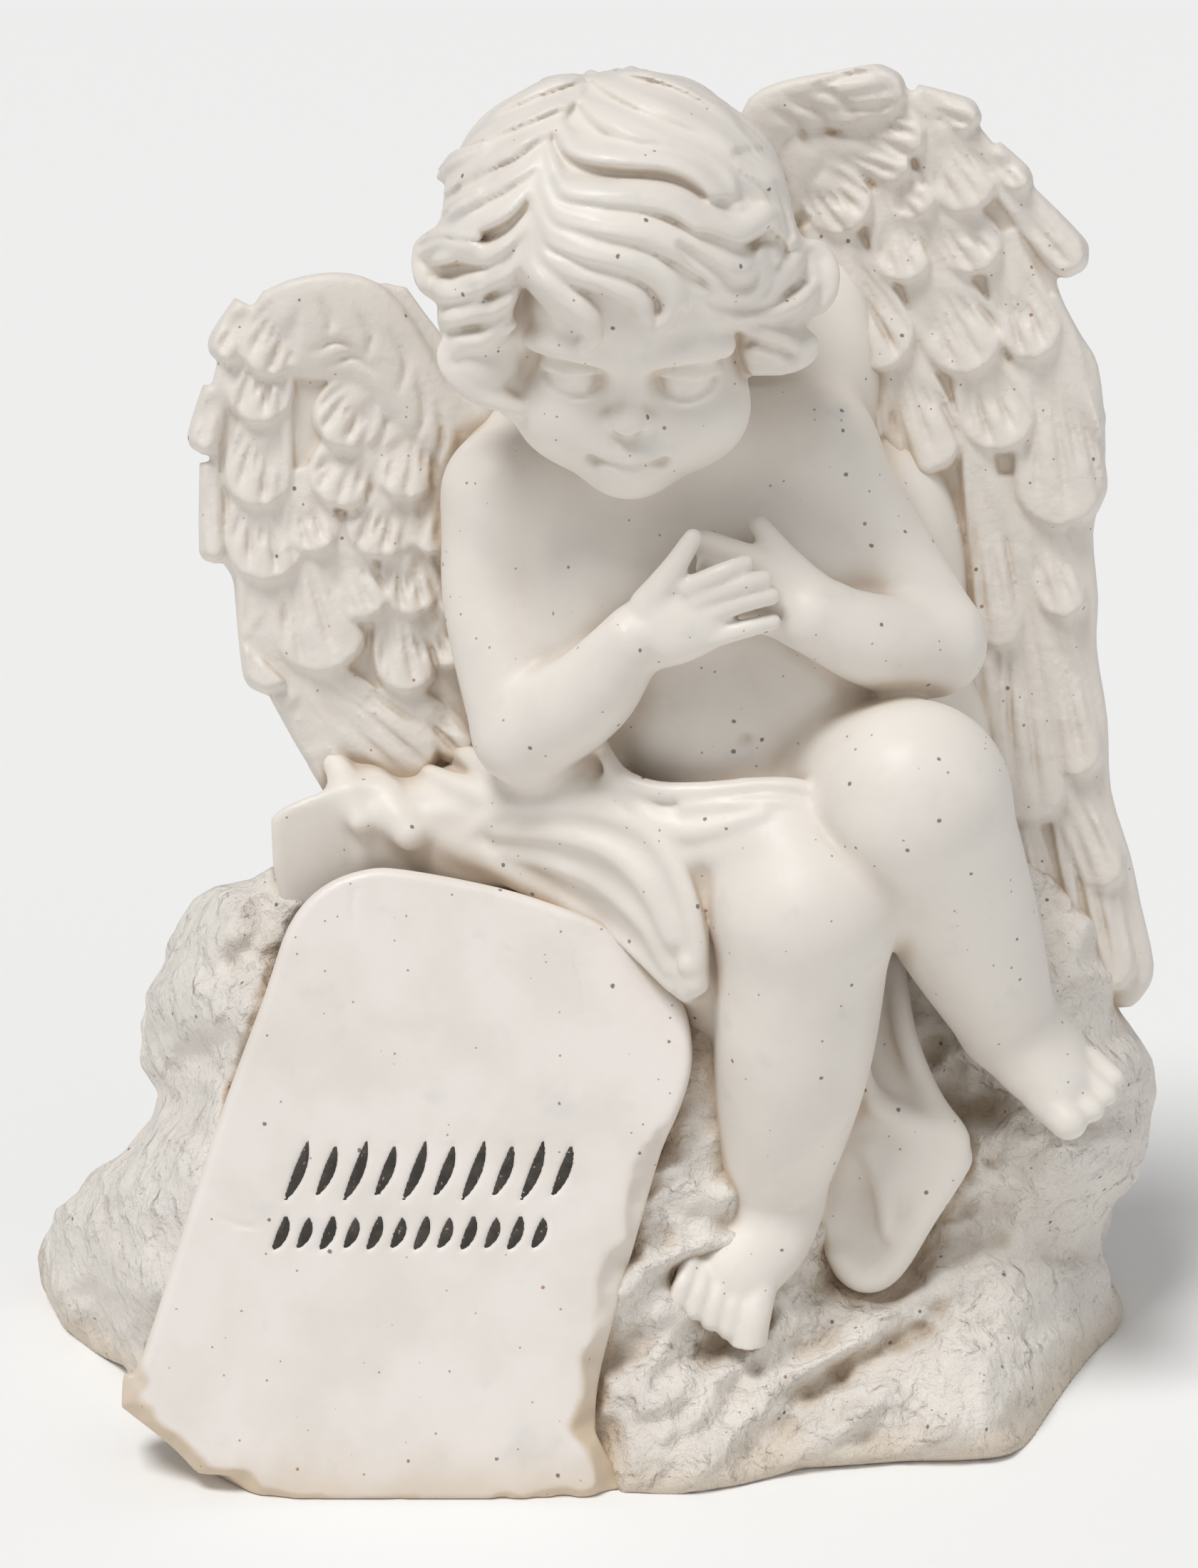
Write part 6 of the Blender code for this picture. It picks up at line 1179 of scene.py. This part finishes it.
LEFT_FEATHERS = [
    # root and tip as seen, half width; from the lowest row up, since each row lies on the next
    ((-44, 114.5), (-36, 102.5), 3.2), ((-39, 104.5), (-30.5, 92.5), 2.6), ((-36.5, 108),
    (-21.5, 95), 3.4),
    ((-48.5, 130.5), (-45.9, 113.6), 3.4), ((-26, 112.5), (-18, 104.5), 3.2),
    ((-41.5, 117.5), (-23.6, 102.4), 4.7), ((-23, 124.5), (-20.2, 116.8), 2.8),
    ((-28.3, 124.8), (-26, 113.4), 4.7), ((-21, 133), (-19.8, 123.8), 2.8),
    ((-41.5, 132), (-37.4, 116.5), 7), ((-27.3, 134), (-25.4, 124.2), 4.5),
    ((-36.4, 134), (-31.6, 123.8), 4), ((-47.2, 141.5), (-46.4, 129), 5.7),
    ((-54.4, 146), (-53.9, 131.8), 2), ((-41.5, 141.5), (-38.9, 133), 3.9),
    ((-22.2, 143.5), (-23.2, 132.6), 4.2), ((-29.4, 142), (-31.7, 132.3), 5.2),
    ((-26, 151), (-27.6, 140.4), 4.9), ((-46.7, 152), (-48.5, 139.4), 4.9),
    ((-34.2, 148.5), (-37.4, 139.5), 5.2), ((-33, 156.5), (-37.4, 148), 5.2),
    ((-53.6, 156.5), (-55.7, 147.2), 2.4), ((-46.3, 162), (-48.6, 151.2), 4.9),
    ((-49, 168), (-53.2, 160), 2.8), ((-43.4, 168.6), (-47.8, 158.1), 4.6),
]
RIGHT_FEATHERS = [
    ((64.5, 108), (72, 71.4), 4.2), ((56, 104), (64, 72), 4.2), ((50, 126), (54.5, 96), 3.6),
    ((64, 106), (71.8, 86), 3.6), ((54.5, 122), (57.5, 100), 3.4), ((62.6, 127), (67.6, 101.5), 4),
    ((57.6, 131), (61, 94.8), 5.2), ((61.6, 138), (66.2, 123.8), 3.8), ((46, 136), (50, 116), 3.4),
    ((53, 147.4), (56.6, 119.4), 3.5), ((43, 145.5), (48.5, 133), 3.8), ((37, 159), (37.8, 148.4), 3.8),
    ((65.4, 163), (68.9, 149), 2.8), ((62.6, 160.5), (65.4, 136.7), 6.3), ((53, 160), (58, 147.5), 5.3),
    ((42, 160), (47.2, 144.2), 5.4), ((57.4, 173), (62, 160.2), 4.6), ((47, 171), (53.6, 158.6), 5.8),
    ((33.6, 174.3), (41.4, 159), 5.6), ((40.6, 180.7), (44, 171), 4.4), ((48.2, 181.3), (55.2, 173),
    4.6),
    ((41, 186), (46.6, 180.8), 3.6), ((29.8, 186.4), (37, 178.9), 4.9), ((57.5, 184.3),
    (67.6, 172.8), 3.2),
    ((54.8, 189.8), (60.2, 184), 2.2), ((46.7, 192.2), (53.6, 181.2), 4.8),
    ((33.5, 190), (43.8, 186.6), 2.9), ((44, 197), (53.4, 193.6), 2.6), ((35.4, 194.6),
    (45.6, 190.2), 3.9),
    ((26, 195.8), (43, 198.2), 4),
]
FEATHER_LIFT = 3.3
BACK_FEATHER_LIFT = 1.6
FEATHER_EDGE = 0.9
WING_THICKNESS = 9.0


def wing_form(carving, depth):
    """The wing between its carved front and a plainer back."""
    heights = (carving.height - GROOVE_DEPTH * carving.lines).astype(np.float32)
    rim = carving.outline.astype(np.float32)
    inner = rim < 1.5
    low_across, high_across = carving.across[inner].min(), carving.across[inner].max()
    low_up, high_up = carving.up[inner].min(), carving.up[inner].max()
    corners = [(a, u) for a in (low_across, high_across) for u in (low_up, high_up)]
    places = [seen(a, u, depth(a, u) + d) for a, u in corners for d in (-8, WING_THICKNESS + 6)]
    places = np.array([tuple(p) for p in places])

    def distance(x, y, z):
        across, up = front_view(x, y, z)
        side = read_table(rim, across, up, FINE_STEP) + 1.0
        raised = read_table(heights, across, up, FINE_STEP)
        front = depth(across, up) - raised - y
        back = y - depth(across, up) - WING_THICKNESS - raised * (BACK_FEATHER_LIFT / FEATHER_LIFT)
        deep = np.maximum(front, back) * 0.8 + 1.0
        outer = np.sqrt(np.maximum(side, 0) ** 2 + np.maximum(deep, 0) ** 2)
        return outer + np.minimum(np.maximum(side, deep), 0) - 1.0

    return [(places.min(axis=0) - 1, places.max(axis=0) + 1, distance)]


def build_wing(clay, outline, depth, feathers, swells, scores):
    carving = Carving(Outline(outline, 3))
    for turn, (root, tip, half_width) in enumerate(feathers):
        carving.add_feather(root, tip, half_width * 1.06, turn)
    for swell in swells:
        carving.add_swell(*swell)
    for path, width, deep in scores:
        carving.score(path, width, deep)
    clay.add(wing_form(carving, depth), 1.5)


LEFT_SWELLS = [
    # path, radius, height: the wing's arm and what grows on it
    ([(-12, 143), (-19, 152), (-26, 160), (-33, 165), (-41, 166)], 8.5, 3),
]
LEFT_SCORES = [
    # path, width, depth
    ([(-40, 161.6), (-36.5, 163), (-33.3, 161)], 0.5, 1),
    ([(-38, 159.6), (-34.5, 160.8), (-31.5, 158.6)], 0.5, 1),
    ([(-33.8, 167), (-32, 163.6), (-32.6, 160.6)], 0.5, 0.8),
    ([(-39, 168.5), (-37.6, 166), (-38, 163.8)], 0.5, 0.8),
    ([(-29, 164), (-27, 160), (-28, 156)], 0.5, 0.8), ([(-25.5, 158), (-24.5, 153), (-26, 149)],
    0.55, 1),
    ([(-22.5, 154), (-22, 149), (-23.5, 145.5)], 0.55, 1),
    ([(-19.5, 150), (-19.5, 146), (-21, 143)], 0.55, 0.9),
]
RIGHT_SWELLS = [
    ([(20, 189), (23, 194.5), (29, 197.6), (36, 197.8)], 5.4, 4),
    ([(19.5, 150), (20, 165), (22, 180), (27.5, 189)], 5, 2.4),
]
RIGHT_SCORES = [
    ([(24.5, 195), (27.5, 193.4), (29.5, 190)], 0.6, 1), ([(26.5, 197), (30, 195.4), (32.6, 192)],
    0.6, 1),
    ([(30, 198.6), (33.5, 197), (36, 194.4)], 0.55, 0.9), ([(28, 200), (33, 200.6), (38, 200.2)],
    0.5, 0.7),
    ([(23, 190), (26, 185), (26.5, 180)], 0.6, 1.1), ([(27, 182), (28.5, 176), (28, 170)], 0.6, 1.1),
    ([(30, 171), (32, 164), (33, 157)], 0.6, 1), ([(27, 168), (29.5, 160), (33, 152)], 0.6, 1),
]


WEB_OUTLINE = [
    # the unfinished stone left between the wing and the shoulder
    (-30, 171), (-27, 170.5), (-24.5, 167), (-21, 162.5), (-17.5, 158.5), (-13, 153), (-8, 148),
    (-8, 136),
    (-24, 136), (-33, 150),
]


def web_front(across, up):
    return 50 - 0.12 * (across + 20)


def build_wings(clay):
    clay.add(plate(Outline(WEB_OUTLINE), web_front, 10, 0.8), 1)
    build_wing(clay, LEFT_WING_OUTLINE, left_wing_depth, LEFT_FEATHERS, LEFT_SWELLS, LEFT_SCORES)
    build_wing(clay, RIGHT_WING_OUTLINE, right_wing_depth, RIGHT_FEATHERS, RIGHT_SWELLS, RIGHT_SCORES)


def build_body(clay):
    build_torso(clay)
    build_legs(clay)
    build_cloth(clay)
    build_arms(clay)
    build_hands(clay)
    build_feet(clay)


def build_head(clay):
    build_face(clay)
    build_hair(clay)


# The surface


def surface(clay):
    """Vertices and faces of the surface: one vertex to each cell that it passes through."""
    field = clay.field
    inside = field < 0
    count = inside.shape
    corner_sum = np.zeros(tuple(n - 1 for n in count), np.int8)
    for dx in (0, 1):
        for dy in (0, 1):
            for dz in (0, 1):
                corner_sum += inside[dx : count[0] - 1 + dx, dy : count[1] - 1 + dy,
                    dz : count[2] - 1 + dz]
    cells = np.argwhere((corner_sum > 0) & (corner_sum < 8))
    number = np.full(corner_sum.shape, -1, np.int64)
    number[tuple(cells.T)] = np.arange(len(cells))
    total = np.zeros((len(cells), 3))
    crossings = np.zeros(len(cells))
    for axis in range(3):
        others = [a for a in range(3) if a != axis]
        for i in (0, 1):
            for j in (0, 1):
                start = cells.copy()
                start[:, others[0]] += i
                start[:, others[1]] += j
                end = start.copy()
                end[:, axis] += 1
                a, b = field[tuple(start.T)], field[tuple(end.T)]
                crossed = (a < 0) != (b < 0)
                share = np.where(crossed, a / np.where(crossed, a - b, 1), 0)
                place = start.astype(float)
                place[:, axis] += share
                total += place * crossed[:, None]
                crossings += crossed
    vertices = clay.low + clay.cell * total / crossings[:, None]
    faces = []
    for axis in range(3):
        first, second = (axis + 1) % 3, (axis + 2) % 3
        lower = [slice(None)] * 3
        upper = [slice(None)] * 3
        lower[axis], upper[axis] = slice(0, -1), slice(1, None)
        leaving = inside[tuple(lower)] & ~inside[tuple(upper)]
        entering = ~inside[tuple(lower)] & inside[tuple(upper)]
        for crossed, turned in ((leaving, False), (entering, True)):
            edges = np.argwhere(crossed)
            edges = edges[(edges[:, first] > 0) & (edges[:, second] > 0)]
            ring = []
            for i, j in ((1, 1), (0, 1), (0, 0), (1, 0)):
                around = edges.copy()
                around[:, first] -= i
                around[:, second] -= j
                ring.append(number[tuple(around.T)])
            ring = np.stack(ring if not turned else ring[::-1], axis=1)
            faces.append(ring)
    return vertices, np.concatenate(faces)


def mesh_from(name, vertices, faces):
    mesh = bpy.data.meshes.new(name)
    mesh.vertices.add(len(vertices))
    mesh.vertices.foreach_set("co", vertices.astype(np.float32).ravel())
    mesh.loops.add(faces.size)
    mesh.loops.foreach_set("vertex_index", faces.astype(np.int32).ravel())
    mesh.polygons.add(len(faces))
    mesh.polygons.foreach_set("loop_start", np.arange(0, faces.size, faces.shape[1], dtype=np.int32))
    mesh.update(calc_edges=True)
    mesh.validate()
    return mesh


# The tablet's strokes and cracks


OUTLINE_OF_TABLET = Outline(TABLET_OUTLINE, 4)


def on_tablet(across, up, sunk=0.0):
    return seen(across, up, tablet_front(across, up) + sunk)


def stroke_forms(radius):
    """Rows of slanting strokes, each a slim leaf, all bent the same way."""
    forms = []
    for low, high, first, last, count in STROKE_ROWS:
        for i in range(count):
            across = first + (last - first) * i / (count - 1)
            middle, tall = (low + high) / 2, (high - low) * (1 - 0.14 * (i % 2))
            bend = 0.5
            places = []
            for share in (-0.5, -0.25, 0, 0.25, 0.5):
                aside = bend * (1 - 4 * share * share) + STROKE_SLOPE * share * tall
                places.append(on_tablet(across + aside + STROKE_SLOPE * 2, middle + share * tall))
            radii = [0.45 * radius, 0.85 * radius, radius, 0.8 * radius, 0.4 * radius]
            forms += rod(places, radii, steps=4)
    return forms


CHIP_WIDTH = 3.2
ROCK_BEHIND_TABLET = 3.5
UNEVEN = Crags(6, [(7, 5, 40, 0.40, False), (3, 2.4, 80, 0.22, False)])


def chipped_width(across, up):
    """How wide the broken bevel is that runs down the tablet's right edge and along its foot."""
    foot = smooth_step((20.5 - up) / 4)
    right = smooth_step((58 - up) / 12) * smooth_step((across + 14) / 6)
    uneven = UNEVEN(across, up)
    return CHIP_WIDTH * np.maximum(foot, right) * np.clip(0.85 + uneven, 0.3, 1.6)


def build_carved_tablet(clay):
    build_tablet(clay)
    rough = Crags(4, [(4, 3, 50, 0.5, False), (1.8, 1.5, 20, 0.35, False)])
    slices, (x, y, z) = clay.window(CLAY_LOW, (90, 110, 110))
    across, up = front_view(x, y, z)
    width = chipped_width(across, up)
    inside = -OUTLINE_OF_TABLET(across, up)
    slope = (width - inside + rough(across, up) * (width > 0.3)) * 0.85
    bevel = (tablet_front(across, up) + slope - y) * 0.72
    clay.field[slices] = np.maximum(clay.field[slices], np.where(width > 0.2, bevel, -FAR))
    clay.cut(stroke_forms(STROKE_RADIUS), 0.15)
    for crack in CRACKS:
        places = [on_tablet(*place) for place in crack]
        clay.cut(rod(places, [0.22, 0.34, 0.36, 0.34, 0.18], steps=3), 0.1)
    bevel_foot(clay)


def build_inlay(clay):
    """The paint in the strokes, a little below the tablet's face."""
    clay.add(stroke_forms(STROKE_RADIUS + INLAY_DEPTH))
    slices, (x, y, z) = clay.window(CLAY_LOW, (90, 110, 110))
    face = tablet_front(*front_view(x, y, z)) + INLAY_DEPTH - y
    clay.field[slices] = np.maximum(clay.field[slices], face * 0.95)


def build_bare_rock(clay):
    """The rock without its tablet, and kept well behind the tablet's face."""
    build_rock(clay)
    build_ridge(clay)
    slices, (x, y, z) = clay.window(CLAY_LOW, (90, 110, 110))
    across, up = front_view(x, y, z)
    behind = tablet_front(across, up) + ROCK_BEHIND_TABLET - y
    proud = np.minimum(behind, -OUTLINE_OF_TABLET(across, up) - 0.6)
    clay.field[slices] = np.maximum(clay.field[slices], proud)
    bevel_foot(clay)


# The pieces


def carved(build, low, high, cell, softening=SOFTENING):
    """What `build` makes, on a grid of its own."""
    clay = Clay(low, high, cell * (1))
    build(clay)
    clay.soften(softening)
    heights = clay.window(low, high)[1][2]
    clay.field = np.maximum(clay.field, -heights)
    clay.close_sides()
    return clay


def vertex_rows(collection, attribute):
    rows = np.empty(len(collection) * 3, np.float32)
    collection.foreach_get(attribute, rows)
    return rows.reshape(-1, 3)


def places_and_normals(mesh):
    """Each vertex's place in squares, and its normal."""
    return vertex_rows(mesh.vertices, "co") / SQUARE, vertex_rows(mesh.vertex_normals, "vector")


def set_share(mesh, name, values):
    layer = mesh.attributes.new(name, "FLOAT", "POINT")
    layer.data.foreach_set("value", np.clip(values, 0, 1).astype(np.float32))


def evaluated(obj):
    graph = bpy.context.evaluated_depsgraph_get()
    return bpy.data.meshes.new_from_object(obj.evaluated_get(graph))


# How many of a mesh's triangles the first thinning, of its spare vertices, may leave
FIRST_THINNING = 0.62


def thinned(obj, triangles, spare):
    """The object's mesh with that many triangles: first from the spare vertices, then from all."""
    for group, share in ((True, FIRST_THINNING), (False, 0)):
        mesh = obj.data
        mesh.calc_loop_triangles()
        count = len(mesh.loop_triangles)
        if count <= triangles:
            break
        facets = obj.modifiers.new("facets", "DECIMATE")
        facets.ratio = max(triangles / count, share)
        if group:
            rest = obj.vertex_groups.new(name="spare")
            for level in (0.5, 1.0):
                chosen = np.flatnonzero((spare > level - 0.26) & (spare <= level + 0.26))
                rest.add([int(i) for i in chosen], level, "REPLACE")
            facets.vertex_group = "spare"
        obj.data = evaluated(obj)
        obj.modifiers.clear()
        obj.vertex_groups.clear()
        bpy.data.meshes.remove(mesh)


def spare_share(places, normals, clays, own):
    """How little a vertex shows: 1 inside another piece, 0.5 at the back or underneath."""
    spare = np.where((normals[:, 1] > 0.45) | (normals[:, 2] < -0.7), 0.5, 0.0)
    for clay in clays:
        if clay is not own:
            spare[clay.at(places) < -0.8] = 1.0
    return spare


class Fullness(Clay):
    """How much clay lies around each place: over 0.5 in a hollow, under 0.5 on an edge."""

    def __init__(self, clays, cell, passes):
        super().__init__(CLAY_LOW, CLAY_HIGH, cell)
        self.field[:] = 0
        for clay in clays:
            target, source = [], []
            for axis in range(3):
                places = self.low[axis] + cell * np.arange(self.field.shape[axis])
                nearest = np.rint((places - clay.low[axis]) / clay.cell).astype(int)
                held = (nearest >= 0) & (nearest < clay.field.shape[axis])
                target.append(np.flatnonzero(held))
                source.append(nearest[held])
            share = np.clip(0.5 - clay.field[np.ix_(*source)] / cell, 0, 1)
            target = np.ix_(*target)
            self.field[target] = np.maximum(self.field[target], share)
        for _ in range(passes):
            blur(self.field, 0.5)


def hollow_share(places, normals, clay, around):
    """How far the surface lies in a hollow: near its own forms, and among all of them."""
    room = clay.at(places + normals * 0.9)
    fine = np.clip(1 - room / 0.9, 0, 1)
    near, wide = around
    middle = np.clip((near.at(places + normals) - 0.30) * 2.6, 0, 1)
    far = np.clip((wide.at(places + normals * 3) - 0.16) * 2.4, 0, 1)
    return 0.30 * fine + 0.55 * middle + 0.60 * far


def edge_share(places, normals, clay, around):
    """How sharp an edge the surface stands on."""
    depth = clay.at(places - normals * 1.1)
    return 0.5 * np.clip(1 + depth / 1.1, 0, 1) + np.clip((0.5 - around[0].at(places)) * 2.2, 0, 1)


def make_piece(name, clay, clays, around, triangles, material):
    vertices, faces = surface(clay)
    mesh = mesh_from(name, vertices * SQUARE, faces)
    piece = bpy.data.objects.new(name, mesh)
    bpy.context.collection.objects.link(piece)
    thinned(piece, triangles, spare_share(*places_and_normals(mesh), clays, clay))
    mesh = piece.data
    mesh.name = name
    places, normals = places_and_normals(mesh)
    # how far each vertex lies in a hollow: the material lays grime and painted shade there
    set_share(mesh, "hollow", hollow_share(places, normals, clay, around))
    set_share(mesh, "edge", edge_share(places, normals, clay, around))
    if name == "tablet":
        view = front_view(*places.T)
        set_share(mesh, "raw", chipped_width(*view) + 0.8 + OUTLINE_OF_TABLET(*view))
    mesh.shade_smooth()
    mesh.materials.clear()
    mesh.materials.append(material)
    return piece


# Materials


class Nodes:
    """Short ways to place and link a material's nodes."""

    def __init__(self, name):
        self.material = bpy.data.materials.new(name)
        self.material.use_nodes = True
        self.tree = self.material.node_tree
        self.shader = self.tree.nodes["Principled BSDF"]
        self.place = self.add("ShaderNodeTexCoord").outputs["Object"]

    def add(self, kind, inputs=None, **settings):
        """A node with these settings, and its inputs linked to a socket or set to a value."""
        node = self.tree.nodes.new(kind)
        for key, value in settings.items():
            setattr(node, key, value)
        self.feed(node, inputs or {})
        return node

    def feed(self, node, inputs):
        for key, source in inputs.items():
            if isinstance(source, bpy.types.NodeSocket):
                self.tree.links.new(source, node.inputs[key])
            else:
                node.inputs[key].default_value = source

    def noise(self, size, detail=2.0, roughness=0.5):
        """Noise between 0 and 1 with features about `size` metres across."""
        inputs = {"Vector": self.place, "Scale": 1 / size, "Detail": detail, "Roughness": roughness}
        return self.add("ShaderNodeTexNoise", inputs).outputs["Fac"]

    def cells(self, size):
        node = self.add("ShaderNodeTexVoronoi", {"Vector": self.place, "Scale": 1 / size}, feature="F1")
        return node.outputs["Distance"], node.outputs["Color"]

    def range(self, value, low, high, to_low=0.0, to_high=1.0):
        """`value` carried from low..high to to_low..to_high, held at the ends."""
        inputs = {"Value": value, "From Min": low, "From Max": high, "To Min": to_low,
            "To Max": to_high}
        return self.add("ShaderNodeMapRange", inputs, interpolation_type="SMOOTHSTEP").outputs["Result"]

    def math(self, operation, a, b):
        return self.add("ShaderNodeMath", {0: a, 1: b}, operation=operation).outputs[0]

    def times(self, a, b):
        return self.math("MULTIPLY", a, b)

    def mix(self, share, a, b):
        node = self.add("ShaderNodeMix", {"Factor": share}, data_type="RGBA")
        self.feed(node, {"A": a, "B": b})
        return node.outputs["Result"]

    def attribute(self, name):
        return self.add("ShaderNodeAttribute", attribute_name=name).outputs["Fac"]

    def height(self):
        return self.add("ShaderNodeSeparateXYZ", {"Vector": self.place}).outputs["Z"]

    def bump(self, value, depth, before=None):
        inputs = {"Strength": 1.0, "Distance": depth, "Height": value}
        if before is not None:
            inputs["Normal"] = before
        return self.add("ShaderNodeBump", inputs).outputs["Normal"]


def cast_resin(name, tint, grime_and_shade, grit, roughness):
    """Off-white cast resin with stone dust in it: specks, faint clouds, and brown in the hollows that is
    partly grime and partly painted shade.
    """
    make = Nodes(name)
    hollow, edge, raw = (make.attribute(share) for share in ("hollow", "edge", "raw"))
    colour = make.mix(make.range(make.noise(0.009, 3), 0.35, 0.7), tint, CLOUD_COLOUR)
    # bluish clouds in the resin
    colour = make.mix(make.range(make.noise(0.0042, 2), 0.60, 0.76, 0, 0.26), colour, BLUE_CLOUD_COLOUR)
    # grime and painted shade in the hollows, strongest where most clay closes round a place; grime along
    # the foot
    patches = make.range(make.noise(0.005, 4, 0.6), 0.2, 0.8, 0.6, 1.0)
    grime_and_shade_mask = make.times(make.range(hollow, 0.25, 1.0), patches)
    colour = make.mix(make.times(grime_and_shade_mask, grime_and_shade), colour, GRIME_AND_SHADE_COLOUR)
    low = make.math("SUBTRACT", make.height(), make.times(make.noise(0.008, 4, 0.6), 0.008))
    stained = make.range(low, -0.0040, 0.0030, FOOT_GRIME, 0.0)
    near_foot = make.range(make.height(), 0.006, 0.022, 0.80, 0.15)
    stained = make.math("MAXIMUM", stained, make.times(raw, near_foot))
    colour = make.mix(stained, colour, FOOT_COLOUR)
    # specks: few large, more small
    for size, reach, share, speck in SPECKS:
        distance, own = make.cells(size)
        rim = make.math("ADD", distance, make.times(make.noise(size / 7, 1), reach * 0.9))
        dot = make.range(rim, reach * 1.15, reach * 1.55, 1.0, 0.0)
        red = make.add("ShaderNodeSeparateColor", {"Color": own}).outputs["Red"]
        strength = make.times(dot, make.range(red, share, share + 0.02))
        colour = make.mix(make.times(strength, 0.85), colour, speck)
    # satin finish, rougher where grime lies and more polished on the edges
    rough = make.range(make.noise(0.004, 3), 0.3, 0.7, roughness - 0.06, roughness + 0.05)
    rough = make.math("ADD", rough, make.times(hollow, 0.10))
    rough = make.math("SUBTRACT", rough, make.times(edge, 0.08))
    # fine grain, and the grit of the carved stone
    relief = make.bump(make.noise(0.0011, 3, 0.6), 0.00004 + grit * 0.00014)
    if grit:
        relief = make.bump(make.noise(0.0034, 6, 0.68), grit * 0.0011, relief)
        broken = make.times(make.cells(0.0030)[0], make.range(make.noise(0.006, 3), 0.4, 0.6))
        relief = make.bump(broken, grit * 0.0009, relief)
    make.feed(make.shader, {"Base Color": colour, "Roughness": rough, "Normal": relief, "IOR": 1.48})
    return make.material


def worn_ink(name):
    """The dark paint in the strokes: dull, worn through to resin dust in tiny spots."""
    make = Nodes(name)
    worn = make.range(make.noise(0.00045, 2), 0.66, 0.74, 0.0, 0.75)
    colour = make.mix(make.range(make.noise(0.0016, 3), 0.35, 0.7), INK_COLOUR, FADED_INK_COLOUR)
    relief = make.bump(make.noise(0.0006, 3, 0.6), 0.00006)
    inputs = {"Base Color": make.mix(worn, colour, DUST_COLOUR), "Roughness": 0.55, "Normal": relief}
    make.feed(make.shader, inputs)
    return make.material


# The stage


def make_floor():
    corners = [(x * FLOOR_REACH, y * FLOOR_REACH, 0) for x, y in ((-1, -1), (1, -1), (1, 1), (-1, 1))]
    mesh = bpy.data.meshes.new("floor")
    mesh.from_pydata(corners, [], [(0, 1, 2, 3)])
    floor = bpy.data.objects.new("floor", mesh)
    bpy.context.collection.objects.link(floor)
    make = Nodes("floor")
    make.feed(make.shader, {"Base Color": FLOOR_COLOUR, "Roughness": 0.9, "Specular IOR Level": 0.1})
    mesh.materials.append(make.material)


def add_light(name, towards, strength, spread):
    """Soft, even light from one direction."""
    light = bpy.data.lights.new(name, "SUN")
    light.energy = strength
    light.angle = math.radians(spread)
    lamp = bpy.data.objects.new(name, light)
    bpy.context.collection.objects.link(lamp)
    way = Vector(towards)
    lamp.matrix_world = Matrix.Translation(way) @ way.to_track_quat("Z", "Y").to_matrix().to_4x4()


def light_studio():
    add_light("key", *KEY)
    add_light("fill", *FILL)
    world = bpy.data.worlds.new("studio")
    world.use_nodes = True
    background = world.node_tree.nodes["Background"]
    background.inputs["Color"].default_value = (1, 1, 1, 1)
    background.inputs["Strength"].default_value = WORLD_STRENGTH
    bpy.context.scene.world = world
    bpy.context.scene.view_settings.view_transform = "Standard"


def place_camera(move):
    data = bpy.data.cameras.new("photo")
    data.sensor_fit = "VERTICAL"
    data.sensor_height = SENSOR_HEIGHT
    data.lens = SENSOR_HEIGHT * EYE_DISTANCE / PICTURE_HEIGHT
    data.clip_start = 0.01
    camera = bpy.data.objects.new("photo", data)
    bpy.context.collection.objects.link(camera)
    axes = Matrix((SIGHT_RIGHT, SIGHT_UP, -SIGHT_AHEAD)).transposed().to_4x4()
    camera.matrix_world = Matrix.Translation(EYE * SQUARE + move) @ axes
    bpy.context.scene.camera = camera


# Piece: what builds it, its grid's low and high corners, cell and softening, and most triangles
HEAD_REACH = Vector((36, 36, 37))
REGIONS = {
    "rock": (build_bare_rock, (-86, -6, -3), (86, 102, 116), 0.62, SOFTENING, 190000),
    "tablet": (build_carved_tablet, (-72, -5, -3), (18, 48, 96), 0.42, SOFTENING, 120000),
    "tablet_strokes": (build_inlay, (-50, 6, 28), (0, 24, 56), 0.26, SOFTENING, 40000),
    "angel_wings": (build_wings, (-64, 22, 44), (86, 90, 208), 0.45, WING_SOFTENING, 190000),
    "angel_body": (build_body, (-50, -4, 16), (78, 84, 166), 0.52, SOFTENING, 190000),
    "angel_head": (build_head, HEAD_MIDDLE - HEAD_REACH, HEAD_MIDDLE + HEAD_REACH, 0.40, SOFTENING,
    190000),
}


def main():
    make_floor()
    light_studio()
    # tint, strength of the grime and painted shade in the hollows, grit and roughness of each finish
    skin = cast_resin("cast_resin_skin", SKIN_TINT, 0.62, 0.0, 0.48)
    materials = {
        "rock": cast_resin("cast_resin_rock", ROCK_TINT, 0.80, 1.0, 0.66),
        "tablet": cast_resin("cast_resin_tablet", TABLET_TINT, 0.60, 0.0, 0.44),
        "tablet_strokes": worn_ink("worn_paint"),
        "angel_wings": cast_resin("cast_resin_wings", WING_TINT, 0.90, 0.15, 0.56),
        "angel_body": skin,
        "angel_head": skin,
    }
    clay_of = {name: carved(*region[:-1]) for name, region in REGIONS.items()}
    resin = [clay for name, clay in clay_of.items() if name != "tablet_strokes"]
    # how much clay lies around each place, near and wide, for the grime and painted shade in the hollows
    around = Fullness(resin, 1.0, 5), Fullness(resin, 2.0, 9)
    # the solid stands with its box's middle on the origin
    move = -BOX_MIDDLE * SQUARE
    for name, clay in clay_of.items():
        others = resin if clay in resin else []
        piece = make_piece(name, clay, others, around, REGIONS[name][-1], materials[name])
        piece.data.transform(Matrix.Translation(move))
        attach(piece, "root")
        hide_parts("angel_figurine")
    place_camera(move)


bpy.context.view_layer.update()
main()
